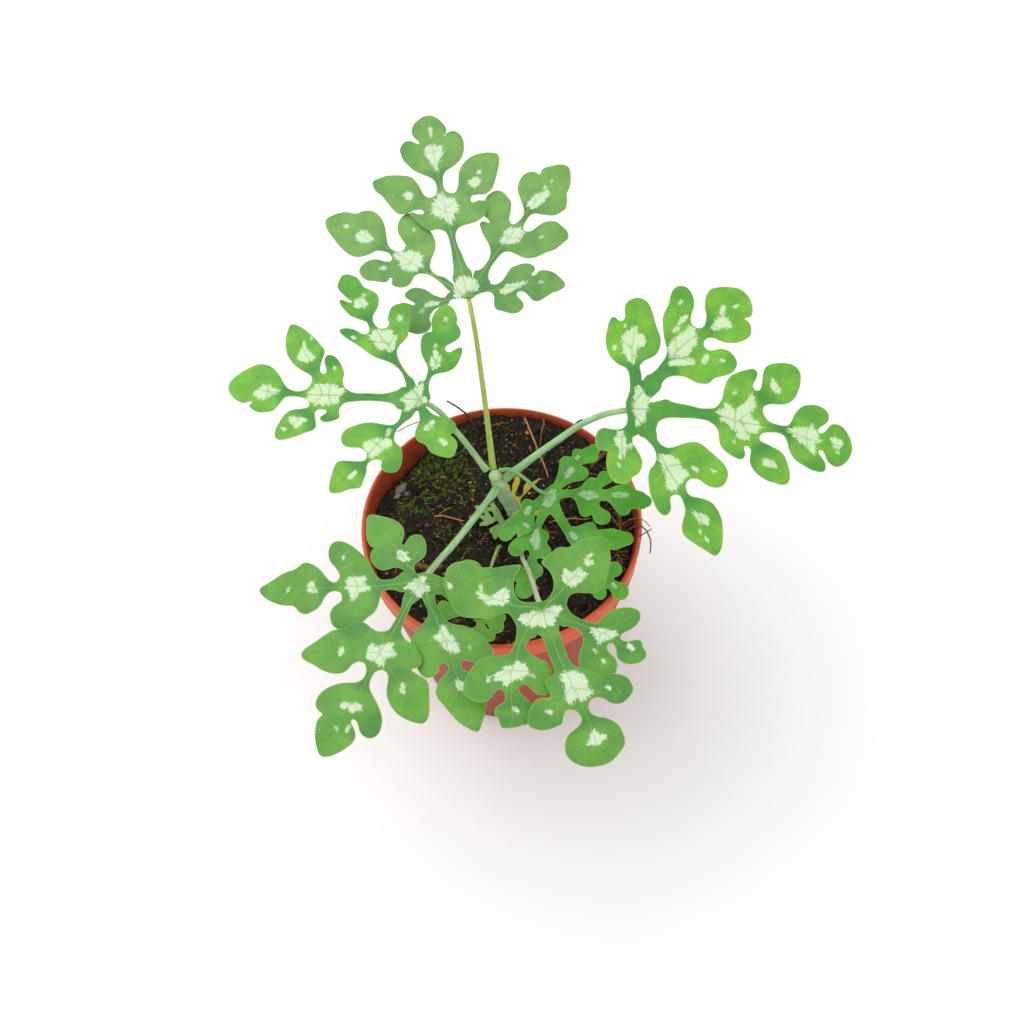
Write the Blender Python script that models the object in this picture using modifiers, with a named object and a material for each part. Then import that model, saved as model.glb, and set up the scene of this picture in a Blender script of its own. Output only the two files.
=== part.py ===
"""Young potted adenia in a nine centimetre plastic grower's pot.

The origin is the middle of the pot's underside, +Z is up and -Y is the side that faces the viewer.
Leaves are drawn flat in millimetres, as ribs with a half width at each point: the first number runs
along the middle lobe from the leaf base, the second to its left, the third is the half width there.
"""

import math
from collections import defaultdict

import bmesh
import bpy
import numpy as np
from mathutils import Vector, noise
from mathutils.geometry import delaunay_2d_cdt

MM = 0.001

# Pot, in metres
POT_HEIGHT = 0.080
POT_RIM_RADIUS = 0.045
POT_BAND_RADIUS = 0.0444
POT_BAND_HEIGHT = 0.0115
POT_NECK_RADIUS = 0.0426
POT_BASE_RADIUS = 0.0318
POT_MOUTH_RADIUS = 0.0434
POT_FLOOR_RADIUS = 0.0302
POT_FLOOR = 0.0016
POT_SIDES = 64
DRAIN_HOLES = 8
DRAIN_RADIUS = 0.00275
DRAIN_CIRCLE = 0.0210

# Soil, in metres
SOIL_LEVEL = 0.0735
SOIL_GAP = 0.00035
SOIL_LUMP = 0.0011
SOIL_HOLLOW = (-0.031, 0.030)
SOIL_HOLLOW_REACH = 0.012
SOIL_HOLLOW_DEPTH = 0.0065
SOIL_RINGS = 9
SOIL_SIDES = 44

# Leaf sheets, in millimetres and degrees
BLADE_THICKNESS = 0.62
OUTLINE_GRID = 0.42
OUTLINE_TURN = 27.0
OUTLINE_LONGEST = 4.2
INNER_SPACING = 4.3
RIPPLE = 0.55

# Stem: middle line in millimetres with its radius
STEM_LINE = [
    (5.2, 3.6, 60.0, 2.6),
    (5.2, 3.6, 72.0, 2.6),
    (4.4, 3.9, 80.0, 2.4),
    (1.9, 4.6, 88.0, 2.1),
    (0.0, 5.2, 95.0, 2.1),
    (-0.9, 5.6, 99.5, 1.7),
]

# Large leaf at the back
BACK_LEAF = {
    "base": (-4.7, 55.8, 126.0),
    "heading": 100.0,
    "tilt": (12.0, 270.0),
    "droop": 0.0008,
    "blend": 2.2,
    "petiole": [(-1.2, 8.0, 98.6, 0.95), (-2.3, 31.0, 111.5, 0.8), (-4.1, 52.0, 124.3, 0.75)],
    "lobes": {
        "middle": (0.0, 0.8, [
            [(3, 0, 3.5), (9, 0, 1.7), (22, 0, 1.3), (27, 0, 3.5), (32, -0.5, 6.3), (37, -0.5, 3.4),
             (41, -0.5, 1.3), (46, -1, 2.5), (51, -1.2, 6.5), (58, -2.4, 4.4), (65, -3.2, 3.3)],
            [(50, 0, 5), (56.4, 4.4, 4.8)],
            [(50, -2, 5), (56.6, -7.4, 4.9)],
            [(33, 1, 3), (37.5, 7, 3), (41, 11.5, 6.2), (45.5, 15.5, 4.6), (48, 18.5, 2)],
            [(33, -2, 3), (37.5, -8, 3), (41, -12.5, 6), (45.5, -16.5, 4.4), (48.2, -19.8, 1.8)],
            [(31, 2, 5), (30, 7.5, 3.6)],
            [(30.5, -3, 5), (29, -9.6, 3.5)],
        ]),
        "left": (13.0, -0.8, [
            [(3, 0, 3.5), (7.5, 6, 1.6), (11.5, 10.5, 1.8), (16.5, 15, 5)],
            [(16, 14, 4), (22.5, 10.8, 5), (29.5, 11, 4.4)],
            [(17, 16, 4), (20, 18, 1.8), (23, 20.5, 1.3), (25.5, 24, 3.5), (29.5, 27.5, 6.5),
             (36, 33.5, 5), (38.5, 35.8, 2.5)],
            [(31, 25, 4.5), (35.3, 23.5, 3.8)],
            [(16.5, 17, 4), (16, 23, 3.2), (17, 27, 4)],
            [(15, 16, 3.5), (11.2, 19.3, 2.6)],
        ]),
        "left_low": (14.0, -1.0, [
            [(2.5, 0, 3.2), (0.9, 5.5, 1.5), (0.8, 11, 2.2)],
            [(1, 10.5, 2), (3.5, 13.5, 2.3), (4.9, 16.4, 2.5)],
            [(0.5, 12, 2.2), (-1.5, 17, 3.8), (-1, 22.5, 3.3)],
            [(-1, 15, 3), (-4.5, 16.5, 2.6)],
        ]),
        "right": (-13.0, -0.8, [
            [(3, -0.5, 3.5), (8, -7, 1.6), (12.5, -11.5, 1.8), (17, -17.5, 5)],
            [(17, -16.5, 4.5), (24, -15.5, 4.2), (30, -16.8, 3.9), (33, -17.3, 2.2)],
            [(17, -14, 3.5), (22.8, -12, 2.3)],
            [(16, -19, 4.5), (13.2, -23.5, 4.9), (14.3, -30.5, 5.2), (14.3, -32, 4.2)],
            [(17, -18.5, 4), (21, -22, 1.4), (24, -25.5, 2), (26.5, -28.5, 4.2), (29.5, -31.5, 7),
             (34, -36.8, 5), (37.3, -40.5, 2.6)],
            [(30, -29, 4.5), (35, -28.8, 3.9)],
        ]),
        "right_low": (-14.0, -1.0, [
            [(2.5, -0.5, 3.2), (0.5, -6, 1.6), (0, -11, 2.6)],
            [(-0.5, -11, 2.6), (-5.3, -11.6, 4.1)],
            [(-0.6, -13, 2.5), (-1.5, -22, 4.8), (-3.2, -28, 2.6)],
            [(1, -12, 2.6), (4.2, -16.5, 3), (5, -19.8, 2.6)],
        ]),
    },
}

# Large leaf on the left
LEFT_LEAF = {
    "base": (-21.1, 15.8, 128.0),
    "heading": 168.0,
    "tilt": (8.0, 235.0),
    "droop": 0.0010,
    "blend": 2.0,
    "petiole": [(-3.3, 7.3, 99.6, 0.95), (-11.6, 14.6, 111.5, 0.9), (-19.0, 16.2, 124.8, 0.85)],
    "lobes": {
        "middle": (0.0, 0.0, [
            [(1.5, 0, 3.6), (6, 0, 2.2), (10, 0, 1.3), (20, 0.3, 1.3), (24, 0.3, 2.2),
             (28.5, 0.3, 4.5), (33, 0, 4), (37, -0.5, 1.1), (41.5, -0.5, 1.4), (48, -0.5, 5.5),
             (54, -3, 5.4), (59, -2.5, 2.9)],
            [(48, 0, 5), (49.8, 2.3, 4.4)],
            [(50, -3, 5), (52.5, -5.5, 4.6)],
            [(28, 2, 4), (27, 6, 2.8), (28.4, 7, 2.2)],
            [(31, 1.5, 3.2), (33.5, 5.5, 2.4), (36, 9, 4.4), (40.5, 11, 4.1), (42, 12.5, 2.6)],
            [(28, -2, 4), (27.7, -7.5, 2.9), (29.6, -11.7, 2.3)],
            [(32, -2, 3), (34, -6.5, 2.6), (37.5, -12.5, 5), (41, -17, 4.6), (44, -22.5, 2.3)],
        ]),
        "back": (0.0, 0.0, [
            [(2, -0.5, 3.5), (6, -6.5, 1.6), (10.5, -12.5, 1.5), (14.5, -18.5, 4)],
            [(13, -16, 2.8), (19, -18.5, 3.2), (24, -21.3, 2.1), (28.3, -23.3, 1)],
            [(13, -18.5, 3.5), (10.5, -22.5, 3.3), (10.8, -28, 3.6)],
            [(15.5, -20.5, 3.5), (18.5, -24, 1.5), (21, -27.8, 2.6), (23, -32, 4.4),
             (27.5, -38.5, 4), (31, -42.2, 2.9)],
            [(23.5, -31, 3.5), (28.8, -32.9, 2.2)],
        ]),
        "inner": (0.0, 0.0, [
            [(1, -1, 3.2), (-1.2, -7, 1.7), (-3.3, -13.5, 2.6), (-4.3, -21, 3.2), (-3.9, -27, 3.6),
             (-3.8, -31, 2.7)],
            [(-3.5, -12.5, 2.6), (-6.8, -13.8, 3), (-8.3, -16.6, 1.9)],
            [(-2.5, -13.5, 2.8), (-0.3, -17.5, 2.9), (0.7, -21.3, 2.2)],
            [(-5, -22, 2.5), (-7, -23.8, 1.7)],
        ]),
        "front": (0.0, 0.0, [
            [(2, 0.5, 3.5), (5.5, 7, 1.6), (8, 12, 2.2), (11, 16, 4)],
            [(9.5, 15, 3.2), (6, 19.5, 3.1), (6, 22.5, 2.6)],
            [(11, 14.5, 3.6), (15, 12.7, 3.9), (19.2, 13.9, 3.1)],
            [(11.5, 17, 3), (13, 20, 1.3), (15, 23.5, 2.2), (18, 26.5, 4.5), (20.5, 28.8, 3.3),
             (22.3, 30.8, 1.4)],
        ]),
        "front_inner": (0.0, 0.0, [
            [(1, 0.5, 3.2), (-1.8, 5.5, 1.9), (-4.5, 9.8, 2.9)],
            [(-4.5, 8.5, 2.6), (-9.4, 8, 2.6)],
            [(-4, 10, 3), (-2.3, 11.9, 2.3)],
            [(-4.8, 10.5, 2.8), (-7.3, 14.6, 2.7), (-9.8, 15.6, 2.7)],
        ]),
    },
}

# Large leaf on the right
RIGHT_LEAF = {
    "base": (40.8, 4.9, 130.0),
    "heading": 352.1,
    "tilt": (8.0, 300.0),
    "droop": 0.0010,
    "blend": 2.0,
    "petiole": [(2.6, 5.2, 97.6, 1.25), (18.5, 7.6, 112.0, 1.05), (30.0, 8.0, 122.0, 0.95),
                (38.6, 6.0, 127.8, 0.9)],
    "lobes": {
        "middle": (0.0, 0.0, [
            [(2.5, 0.5, 4), (7, 1, 2.6), (12, 0.8, 1.9), (22, 0.3, 1.9), (27, 0, 3), (33, -0.5, 6),
             (38, -1, 3.8), (41.5, -1.5, 1.4), (46, -2, 1.4), (49, -3, 3), (52, -3.9, 4),
             (58, -4.2, 2.9), (62.4, -2.6, 4.4)],
            [(60, -4.4, 3.4), (63, -6.8, 4.3)],
            [(32, 3, 5), (32, 10, 4.2), (35, 14.8, 3.2)],
            [(35.5, 4, 3.5), (40, 8.5, 2.6), (44.5, 13, 5), (46.5, 16.7, 4.7)],
            [(50.5, -3, 3.8), (53.5, 2, 4.5), (57.2, 5, 3.4)],
            [(50.5, -4, 3.8), (53.2, -8.3, 4), (56.3, -11.7, 2.8)],
            [(34.5, -4, 3.5), (38.2, -9.2, 2.2), (42.2, -13.4, 5), (45.4, -17, 2.8)],
            [(31.5, -4, 5), (30.4, -8, 3.5), (32.6, -11.2, 2.1)],
        ]),
        "back": (0.0, 0.0, [
            [(3, 1, 4), (6.5, 9, 2.6), (10.5, 14.5, 2.8), (15, 21, 5.2)],
            [(15, 23, 5), (13.2, 30, 4.3), (14.8, 38, 3.9), (14.6, 42, 3.6)],
            [(16.5, 24, 4.5), (20.5, 29, 1.9), (24, 32.3, 3.2), (26.5, 38, 5), (29, 42, 4.8),
             (32.5, 41.3, 3.9)],
            [(26, 33, 4), (31, 30.3, 4), (32.7, 31.4, 3.2)],
            [(15, 20, 5), (21, 16.5, 5), (27.2, 19.7, 4.3)],
        ]),
        "inner": (0.0, 0.0, [
            [(2, 1.5, 4), (0.8, 9, 2.3), (0, 14.5, 3.4), (0.3, 22, 7), (1.2, 31, 5), (0.8, 36, 3.8)],
            [(-1, 20, 5), (-4.6, 25, 3.6), (-6, 29.6, 2.1)],
        ]),
        "front": (0.0, 0.0, [
            [(3, 0, 4), (7, -7, 2), (9.5, -13, 2.2), (12.5, -18.5, 4.5)],
            [(13, -17.5, 4.5), (18.5, -14, 4.9), (24.8, -18, 4.9)],
            [(11.5, -19.5, 4), (10.2, -25, 3.4), (11.3, -30.8, 2.4)],
            [(14, -21, 3.8), (16.8, -26.5, 1.8), (19.5, -30.5, 3.2), (22.7, -35, 5.5),
             (24, -41, 4.2), (24.8, -43.6, 2.5)],
        ]),
        "front_inner": (0.0, 0.0, [
            [(2, 0, 4), (-0.6, -6.5, 2), (-1, -12, 3.2), (-0.8, -19, 5), (-0.9, -20.5, 4.4)],
            [(-1.2, -10.5, 3), (-5.8, -10.3, 3.5), (-6.4, -11.4, 3.2)],
        ]),
    },
}

# Large leaf at the front left
FRONT_LEFT_LEAF = {
    "base": (-24.1, -44.7, 124.0),
    "heading": 238.0,
    "tilt": (12.0, 235.0),
    "droop": 0.0010,
    "blend": 2.2,
    "petiole": [(-0.95, 2.5, 94.8, 1.3), (-4.6, -4.5, 98.5, 1.05), (-14.0, -24.3, 110.5, 1.0),
                (-22.6, -41.8, 122.0, 0.95)],
    "lobes": {
        "middle": (0.0, 0.8, [
            [(1.5, 0, 3.5), (6, 0, 2), (12, -0.2, 1.3), (17, -0.2, 1.8), (23, -0.3, 5),
             (28, -0.3, 3.2), (31, -0.5, 1.4), (34.5, -0.5, 2.4), (39, -1, 5), (47, -2, 5.2),
             (52.5, -2.5, 3), (54.6, -2.7, 1.3)],
            [(38.5, 1, 4.5), (42.7, 5.3, 3.4)],
            [(38.5, -3, 4.5), (42.2, -7.6, 3.1)],
            [(23.5, 2, 3.5), (26.5, 6.5, 2.6), (30.5, 11.3, 5), (33.5, 15, 3.9)],
            [(23.5, -2, 3.5), (26.5, -7.5, 3.4), (29.5, -12.3, 5.6), (32.5, -18.5, 2.8)],
            [(22.5, -2, 4), (21.5, -8.5, 3.6)],
            [(22, 2, 4), (21.5, 7.5, 3.4)],
        ]),
        "front": (13.0, -0.8, [
            [(1.5, 0.5, 3.5), (5, 5.5, 1.8), (8.5, 9.8, 2), (12, 14, 4.5)],
            [(12, 12.5, 4), (16, 9.3, 4.3), (20.7, 11.2, 4.1)],
            [(11, 15, 4), (9.5, 20, 3.8), (11, 24.5, 4)],
            [(13.5, 15.5, 3.5), (18.1, 19.6, 2.2), (22, 23, 4.5), (27, 26, 6), (30.5, 30.5, 2.5)],
        ]),
        "front_inner": (15.0, -1.1, [
            [(0.5, 1, 3.5), (-1.5, 6, 2.2), (-2.5, 9.5, 3.5)],
            [(-2.5, 9, 3.5), (-5.5, 12.5, 4.5), (-8, 11, 4)],
            [(-2.5, 9.5, 3.5), (-0.5, 15, 4.5), (0, 19, 3.2)],
        ]),
        "back": (-13.0, -0.8, [
            [(1.5, -0.5, 3.5), (4, -6.5, 1.8), (6.3, -11.5, 2.3), (8.5, -16, 4.5)],
            [(9, -15, 4), (13.5, -12.7, 4.4), (18.6, -15.9, 3.8)],
            [(7, -15.5, 4), (3.6, -20, 4.2), (2.2, -26.3, 4.1)],
            [(9.5, -17.5, 3.5), (11.3, -22, 1.6), (13, -26, 3), (15.5, -30, 6.2), (19, -37, 4),
             (20.6, -41, 2.4)],
            [(15, -29, 4.5), (19.4, -27.6, 3.4)],
            [(14, -31, 4.5), (10.9, -33.3, 2.8)],
        ]),
        "inner": (-19.0, -0.9, [
            [(0.5, -1, 3.5), (-2.5, -5, 2.2), (-4, -8, 3), (-6, -14.5, 5), (-10, -19.5, 4.6),
             (-12, -22.8, 2.6)],
            [(-4, -7.5, 3), (-9.4, -7.2, 3.6)],
            [(-4, -11, 3.4), (-2.2, -14.6, 3)],
        ]),
    },
}

# Large leaf at the front right, the highest one
FRONT_RIGHT_LEAF = {
    "base": (9.5, -59.4, 128.0),
    "heading": 288.0,
    "tilt": (12.0, 280.0),
    "droop": 0.0010,
    "blend": 2.2,
    "petiole": [(5.35, 1.0, 79.6, 1.0), (5.5, -10.0, 83.8, 0.8), (5.6, -18.5, 88.6, 0.7),
                (5.8, -22.2, 92.6, 0.7), (6.4, -26.5, 97.0, 0.7), (7.8, -42.0, 113.0, 0.68),
                (8.8, -56.0, 126.4, 0.75)],
    "lobes": {
        "middle": (0.0, 0.8, [
            [(0.5, 0, 4), (5, -0.3, 2.2), (10, -0.5, 1.6), (15.5, -0.5, 2), (19.5, -0.5, 4.5),
             (22.5, -0.5, 5.6), (26.6, -0.5, 3.5), (30.7, 0, 1.5), (33, 0, 3), (37, -0.5, 7.8),
             (38.2, -0.5, 7.6)],
            [(23.5, 2, 3.5), (25.9, 6.6, 2.4), (28.1, 10.2, 4), (28.7, 10.8, 3.4)],
            [(20.5, 3, 4), (21, 6.6, 3)],
            [(23.5, -2, 3.5), (26, -6, 3.3), (27.5, -10.4, 4.4)],
            [(20.5, -3, 4), (20, -6.2, 3)],
        ]),
        "right": (20.0, -0.8, [
            [(1, 0.5, 4), (5, 5.5, 1.9), (8.2, 9.2, 2.4), (12.2, 12.7, 4)],
            [(11.8, 13.8, 3.4), (10.2, 17.8, 3), (10.6, 21.5, 3.4)],
            [(12.8, 13.3, 3), (16.1, 15.9, 1.6), (19.6, 18.4, 3.8), (20.3, 18.7, 3.4)],
            [(12.2, 11.2, 3.6), (15.8, 8.2, 4.3), (20.5, 8.7, 4.4)],
        ]),
        "back": (15.0, -1.0, [
            [(0.5, 1, 4), (-2.3, 5.5, 2.2), (-5, 10, 4.4), (-8.2, 15.3, 7), (-11.8, 20, 5)],
            [(-6, 10, 4.5), (-11.2, 9.6, 5)],
            [(-4, 11.2, 4), (-3.6, 15.3, 4.2)],
        ]),
        "left": (-19.0, -0.8, [
            [(1, -1, 4), (4, -6.5, 2.2), (8.2, -10.8, 2.6), (12.8, -14.2, 4.5)],
            [(12.3, -12.3, 4), (15.4, -8.2, 4), (18.7, -7.7, 3.5)],
            [(14.2, -14.8, 3.5), (18.3, -15.8, 2.3), (23, -17.2, 4.3), (24.4, -17.6, 4)],
            [(12.3, -15.3, 4.5), (11.6, -20.5, 5), (12.3, -23.3, 4.7)],
        ]),
        "inner": (-16.0, -1.1, [
            [(0, -1, 4), (-3.5, -5, 2.4), (-7.7, -9.2, 4.4), (-11.8, -14.3, 7), (-16.3, -18, 5.5),
             (-19.4, -17.2, 4)],
            [(-8.2, -9.7, 4.4), (-13.3, -8, 4)],
            [(-6.7, -12.3, 4.4), (-7.2, -17, 4)],
        ]),
    },
}

# Small dark leaf, low over the soil
LOW_LEAF = {
    "base": (14.9, -0.1, 94.0),
    "heading": 355.8,
    "tilt": (8.0, 300.0),
    "droop": 0.0012,
    "blend": 1.1,
    "petiole": [(0.9, 6.2, 100.7, 0.65), (4.6, 4.2, 103.2, 0.6), (8.6, 1.9, 101.0, 0.55),
                (13.4, 0.5, 94.9, 0.55)],
    "lobes": {
        "middle": (0.0, 0.0, [
            [(0.8, -1, 2.5), (4, 0.5, 1.4), (7.5, 0.7, 1.1), (10, 0.5, 2), (13.5, 0.3, 3),
             (17, 0.5, 1.6), (19.5, 0.5, 1.8), (23, 0.2, 3.3), (29, -0.8, 3.1), (31, -0.8, 2)],
            [(12.5, 1, 2.5), (14, 4.6, 1.8)],
            [(14.5, 2, 2), (16.4, 4.2, 1.3), (18.6, 6.7, 2.2)],
            [(11.5, -1, 2.4), (11.9, -5.4, 1.7)],
            [(14, -1.5, 2), (15.2, -4.3, 1.5), (17, -7, 2.7)],
            [(22.5, 0.5, 3), (25.3, 2.9, 1.9)],
            [(22.5, -0.5, 3), (23.9, -3.9, 2.3)],
        ]),
        "back": (7.0, 0.8, [
            [(0.8, -0.5, 2.4), (3.5, 3.2, 1.3), (5.5, 6, 2.2), (6.8, 7.8, 2.6)],
            [(6.3, 8, 2.2), (6.3, 11.4, 2)],
            [(7, 7, 2.4), (10.9, 7.3, 2.2)],
            [(7.6, 9, 1.8), (9.6, 11.6, 1.5), (13.5, 14, 2.8), (15.3, 16.4, 1.8)],
            [(9.8, 12, 1.5), (9.7, 14.7, 1.3)],
        ]),
        "front": (0.0, 0.0, [
            [(1, -2, 2.4), (3.5, -7, 1.4), (6, -11, 1.3), (8.5, -13.8, 1.9), (14, -14.5, 2.2),
             (20.5, -14.5, 3.4), (24.5, -14, 2.2)],
            [(8, -13, 1.8), (13.2, -11.2, 1.9)],
            [(8, -14, 1.7), (10.5, -20, 1.2), (14.5, -26.5, 2.2), (20, -29.6, 1.5), (22, -31.3, 2.8)],
            [(14.5, -26, 2), (20.6, -24.6, 2.2)],
            [(14, -27, 2), (15.8, -32.4, 2)],
        ]),
        "front_inner": (0.0, -0.3, [
            [(0.5, -2, 2.4), (-2, -8, 1.2), (-3.5, -12, 1), (-3.9, -15.5, 2.2), (-4.4, -20, 0.9),
             (-5.6, -25.8, 2.1), (-7.2, -31.5, 2.7)],
            [(-5, -15.5, 2), (-8.5, -16.5, 2.4), (-9.9, -18.3, 2.1)],
            [(-3.4, -14.2, 1.6), (-1.3, -14, 1.7)],
            [(-3, -16, 2), (-1.3, -19, 2.3)],
            [(-5.8, -24.4, 1.8), (-3.7, -25.2, 2.1)],
            [(-6.2, -26.4, 1.6), (-9.4, -27, 1.6)],
        ]),
        "inner": (-9.0, 1.1, [
            [(-0.3, -1.5, 2), (-4, -4, 1), (-6, -6, 2), (-6.5, -10.6, 2.5), (-6.8, -12.4, 2.1)],
            [(-6, -4.8, 1.8), (-6.2, -3.2, 1.6)],
            [(-6.6, -7, 2), (-10.8, -11, 2.6), (-13, -14, 2)],
        ]),
    },
}

# Withered leaf lying behind the stem
WITHERED_LEAF = {
    "base": (7.6, 6.6, 77.4),
    "heading": 82.0,
    "tilt": (14.0, 250.0),
    "droop": -0.010,
    "blend": 1.0,
    "petiole": [],
    "lobes": {
        "middle": (0.0, 0.0, [
            [(-1.5, -1.5, 0.9), (1, 0, 1.5), (4, 0.8, 1.2), (8, 1.2, 0.9), (10.5, 1.4, 0.8)],
        ]),
        "left": (0.0, 0.0, [
            [(1, 0, 1.5), (3.5, 3.2, 1.3), (6.3, 5.4, 1)],
        ]),
        "right": (0.0, 0.0, [
            [(1.5, -0.3, 1.3), (4.5, -2.4, 1), (9.4, -6.8, 0.7)],
        ]),
        "tail": (0.0, 0.0, [
            [(0.5, -0.6, 1.2), (-1.8, -3.4, 1), (-2.2, -5.2, 0.8)],
        ]),
    },
}

# Pale young leaf unfolding beside the stem
YOUNG_LEAF = {
    "base": (0.2, -0.8, 78.8),
    "heading": 112.0,
    "tilt": (18.0, 200.0),
    "droop": 0.004,
    "blend": 0.8,
    "petiole": [(0.9, -2.2, 70.0, 0.6), (0.9, -2.2, 75.0, 0.6), (0.6, -1.5, 78.2, 0.55)],
    "lobes": {
        "middle": (0.0, 0.0, [
            [(0, 0, 0.9), (3.5, 0, 0.8), (7.5, 0.6, 0.8), (9.3, 3.4, 1), (9.8, 5.6, 0.8)],
            [(9, 2.8, 0.9), (7.8, 4.8, 0.8)],
        ]),
        "left": (0.0, 0.0, [
            [(4.5, 0, 0.8), (4.6, 3, 1), (5.2, 5.6, 1.3), (4.3, 7.2, 1)],
            [(4.8, 4.2, 1), (2.9, 5.4, 0.9)],
            [(5, 5, 1), (6.6, 6.4, 0.8)],
        ]),
        "left_low": (0.0, 0.0, [
            [(0.5, 0, 0.9), (-0.6, 2, 1.1), (-1.6, 3.6, 1.4)],
            [(-1.2, 3, 1.2), (-3.2, 2.8, 0.9)],
        ]),
    },
}

# Small leaf on a thin stalk near the front of the rim
FRONT_SPROUT = {
    "base": (-8.6, -36.2, 87.6),
    "heading": 262.0,
    "tilt": (6.0, 270.0),
    "droop": 0.004,
    "blend": 1.0,
    "petiole": [(-0.9, -5.6, 69.0, 0.6), (-0.9, -5.6, 72.5, 0.6), (-1.1, -6.3, 75.5, 0.58),
                (-4.2, -16.4, 80.8, 0.55),
                (-8.1, -33.8, 86.8, 0.55)],
    "lobes": {
        "middle": (0.0, 0.0, [
            [(0.5, 0, 1.8), (4, 0.4, 1.1), (7, 0.6, 2), (9.6, 0.4, 1.7)],
            [(6.6, 1, 1.6), (7.6, 3.4, 1.5)],
            [(6.6, 0, 1.6), (7, -2.6, 1.4)],
        ]),
        "left": (0.0, 0.0, [
            [(0.8, 0.5, 1.7), (2.4, 3.2, 1.2), (4.2, 5.2, 2.1)],
            [(3, 4.2, 1.6), (1.2, 6.2, 1.5)],
        ]),
        "right": (0.0, 0.0, [
            [(0.5, -0.5, 1.6), (0.2, -5, 1), (0, -9.2, 2), (-1.6, -11.6, 1.5)],
            [(0, -8.6, 1.6), (1.8, -11, 1.4)],
        ]),
    },
}

LEAVES = {
    "leaf_back": (BACK_LEAF, (0.16, 0.42, 0.12)),
    "leaf_left": (LEFT_LEAF, (0.19, 0.50, 0.08)),
    "leaf_right": (RIGHT_LEAF, (0.19, 0.50, 0.08)),
    "leaf_front_left": (FRONT_LEFT_LEAF, (0.14, 0.40, 0.12)),
    "leaf_front_right": (FRONT_RIGHT_LEAF, (0.14, 0.40, 0.12)),
    "leaf_low": (LOW_LEAF, (0.09, 0.36, 0.07)),
    "leaf_withered": (WITHERED_LEAF, (0.80, 0.62, 0.10)),
    "leaf_young": (YOUNG_LEAF, (0.34, 0.55, 0.20)),
    "leaf_sprout": (FRONT_SPROUT, (0.30, 0.55, 0.14)),
}


def clear_scene():
    for obj in list(bpy.data.objects):
        bpy.data.objects.remove(obj)


def paint(obj, name, colour, roughness):
    material = bpy.data.materials.new(name)
    material.use_nodes = True
    shader = material.node_tree.nodes["Principled BSDF"]
    shader.inputs["Base Color"].default_value = (*colour, 1.0)
    shader.inputs["Roughness"].default_value = roughness
    obj.data.materials.clear()
    obj.data.materials.append(material)


def place(name, mesh, collection=None):
    obj = bpy.data.objects.new(name, mesh)
    (collection or bpy.context.scene.collection).objects.link(obj)
    return obj


def applied(obj):
    """Bakes the object's modifiers, or its curve, into a mesh object of the same name."""
    bpy.context.view_layer.update()
    graph = bpy.context.evaluated_depsgraph_get()
    mesh = bpy.data.meshes.new_from_object(obj.evaluated_get(graph))
    name = obj.name
    bpy.data.objects.remove(obj)
    return place(name, mesh)


def smooth(obj, degrees=40.0):
    obj.data.shade_smooth()
    obj.data.set_sharp_from_angle(angle=math.radians(degrees))


def turned(points, steps, name):
    """Turns a profile of (radius, height) points round the Z axis."""
    mesh = bpy.data.meshes.new(name)
    edges = [(i, i + 1) for i in range(len(points) - 1)]
    mesh.from_pydata([(r, 0.0, z) for r, z in points], edges, [])
    obj = place(name, mesh)
    screw = obj.modifiers.new("turn", "SCREW")
    screw.axis = "Z"
    screw.angle = math.tau
    screw.steps = steps
    screw.render_steps = steps
    screw.use_merge_vertices = True
    screw.merge_threshold = 0.00001
    screw.use_normal_calculate = True
    obj = applied(obj)
    shape = bmesh.new()
    shape.from_mesh(obj.data)
    bmesh.ops.recalc_face_normals(shape, faces=shape.faces)
    shape.to_mesh(obj.data)
    shape.free()
    return obj


def tube(name, line, steps=3, sides=2):
    """A round stalk through (x, y, z, radius) points in millimetres."""
    curve = bpy.data.curves.new(name, "CURVE")
    curve.dimensions = "3D"
    curve.bevel_depth = MM
    curve.bevel_resolution = sides
    curve.resolution_u = steps
    curve.use_fill_caps = True
    spline = curve.splines.new("BEZIER")
    spline.bezier_points.add(len(line) - 1)
    for point, (x, y, z, radius) in zip(spline.bezier_points, line):
        point.co = (x * MM, y * MM, z * MM)
        point.radius = radius
        point.handle_left_type = "AUTO"
        point.handle_right_type = "AUTO"
    obj = applied(place(name, curve))
    shape = bmesh.new()
    shape.from_mesh(obj.data)
    bmesh.ops.remove_doubles(shape, verts=shape.verts, dist=0.00002)
    bmesh.ops.recalc_face_normals(shape, faces=shape.faces)
    shape.to_mesh(obj.data)
    shape.free()
    return obj


def cutters_collection():
    found = bpy.data.collections.get("cutters")
    if not found:
        found = bpy.data.collections.new("cutters")
        bpy.context.scene.collection.children.link(found)
        found.hide_render = True
    return found


def cylinders(name, spots):
    """Upright cylinders (x, y, radius, bottom, top) in one cutter mesh."""
    shape = bmesh.new()
    for x, y, radius, low, high in spots:
        made = bmesh.ops.create_cone(
            shape, cap_ends=True, segments=14, radius1=radius, radius2=radius, depth=high - low
        )
        bmesh.ops.translate(shape, verts=made["verts"], vec=(x, y, (low + high) / 2))
    mesh = bpy.data.meshes.new(name)
    shape.to_mesh(mesh)
    shape.free()
    obj = place(name, mesh, cutters_collection())
    obj.hide_render = True
    obj.display_type = "WIRE"
    return obj


def combine(obj, other, operation):
    cut = obj.modifiers.new(operation.lower(), "BOOLEAN")
    cut.operation = operation
    cut.object = other
    cut.solver = "MANIFOLD"
    obj = applied(obj)
    bpy.data.objects.remove(other)
    return obj


def inner_radius(z):
    share = (z - POT_FLOOR) / (POT_HEIGHT - 0.0008 - POT_FLOOR)
    return POT_FLOOR_RADIUS + (POT_MOUTH_RADIUS - POT_FLOOR_RADIUS) * share


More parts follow.
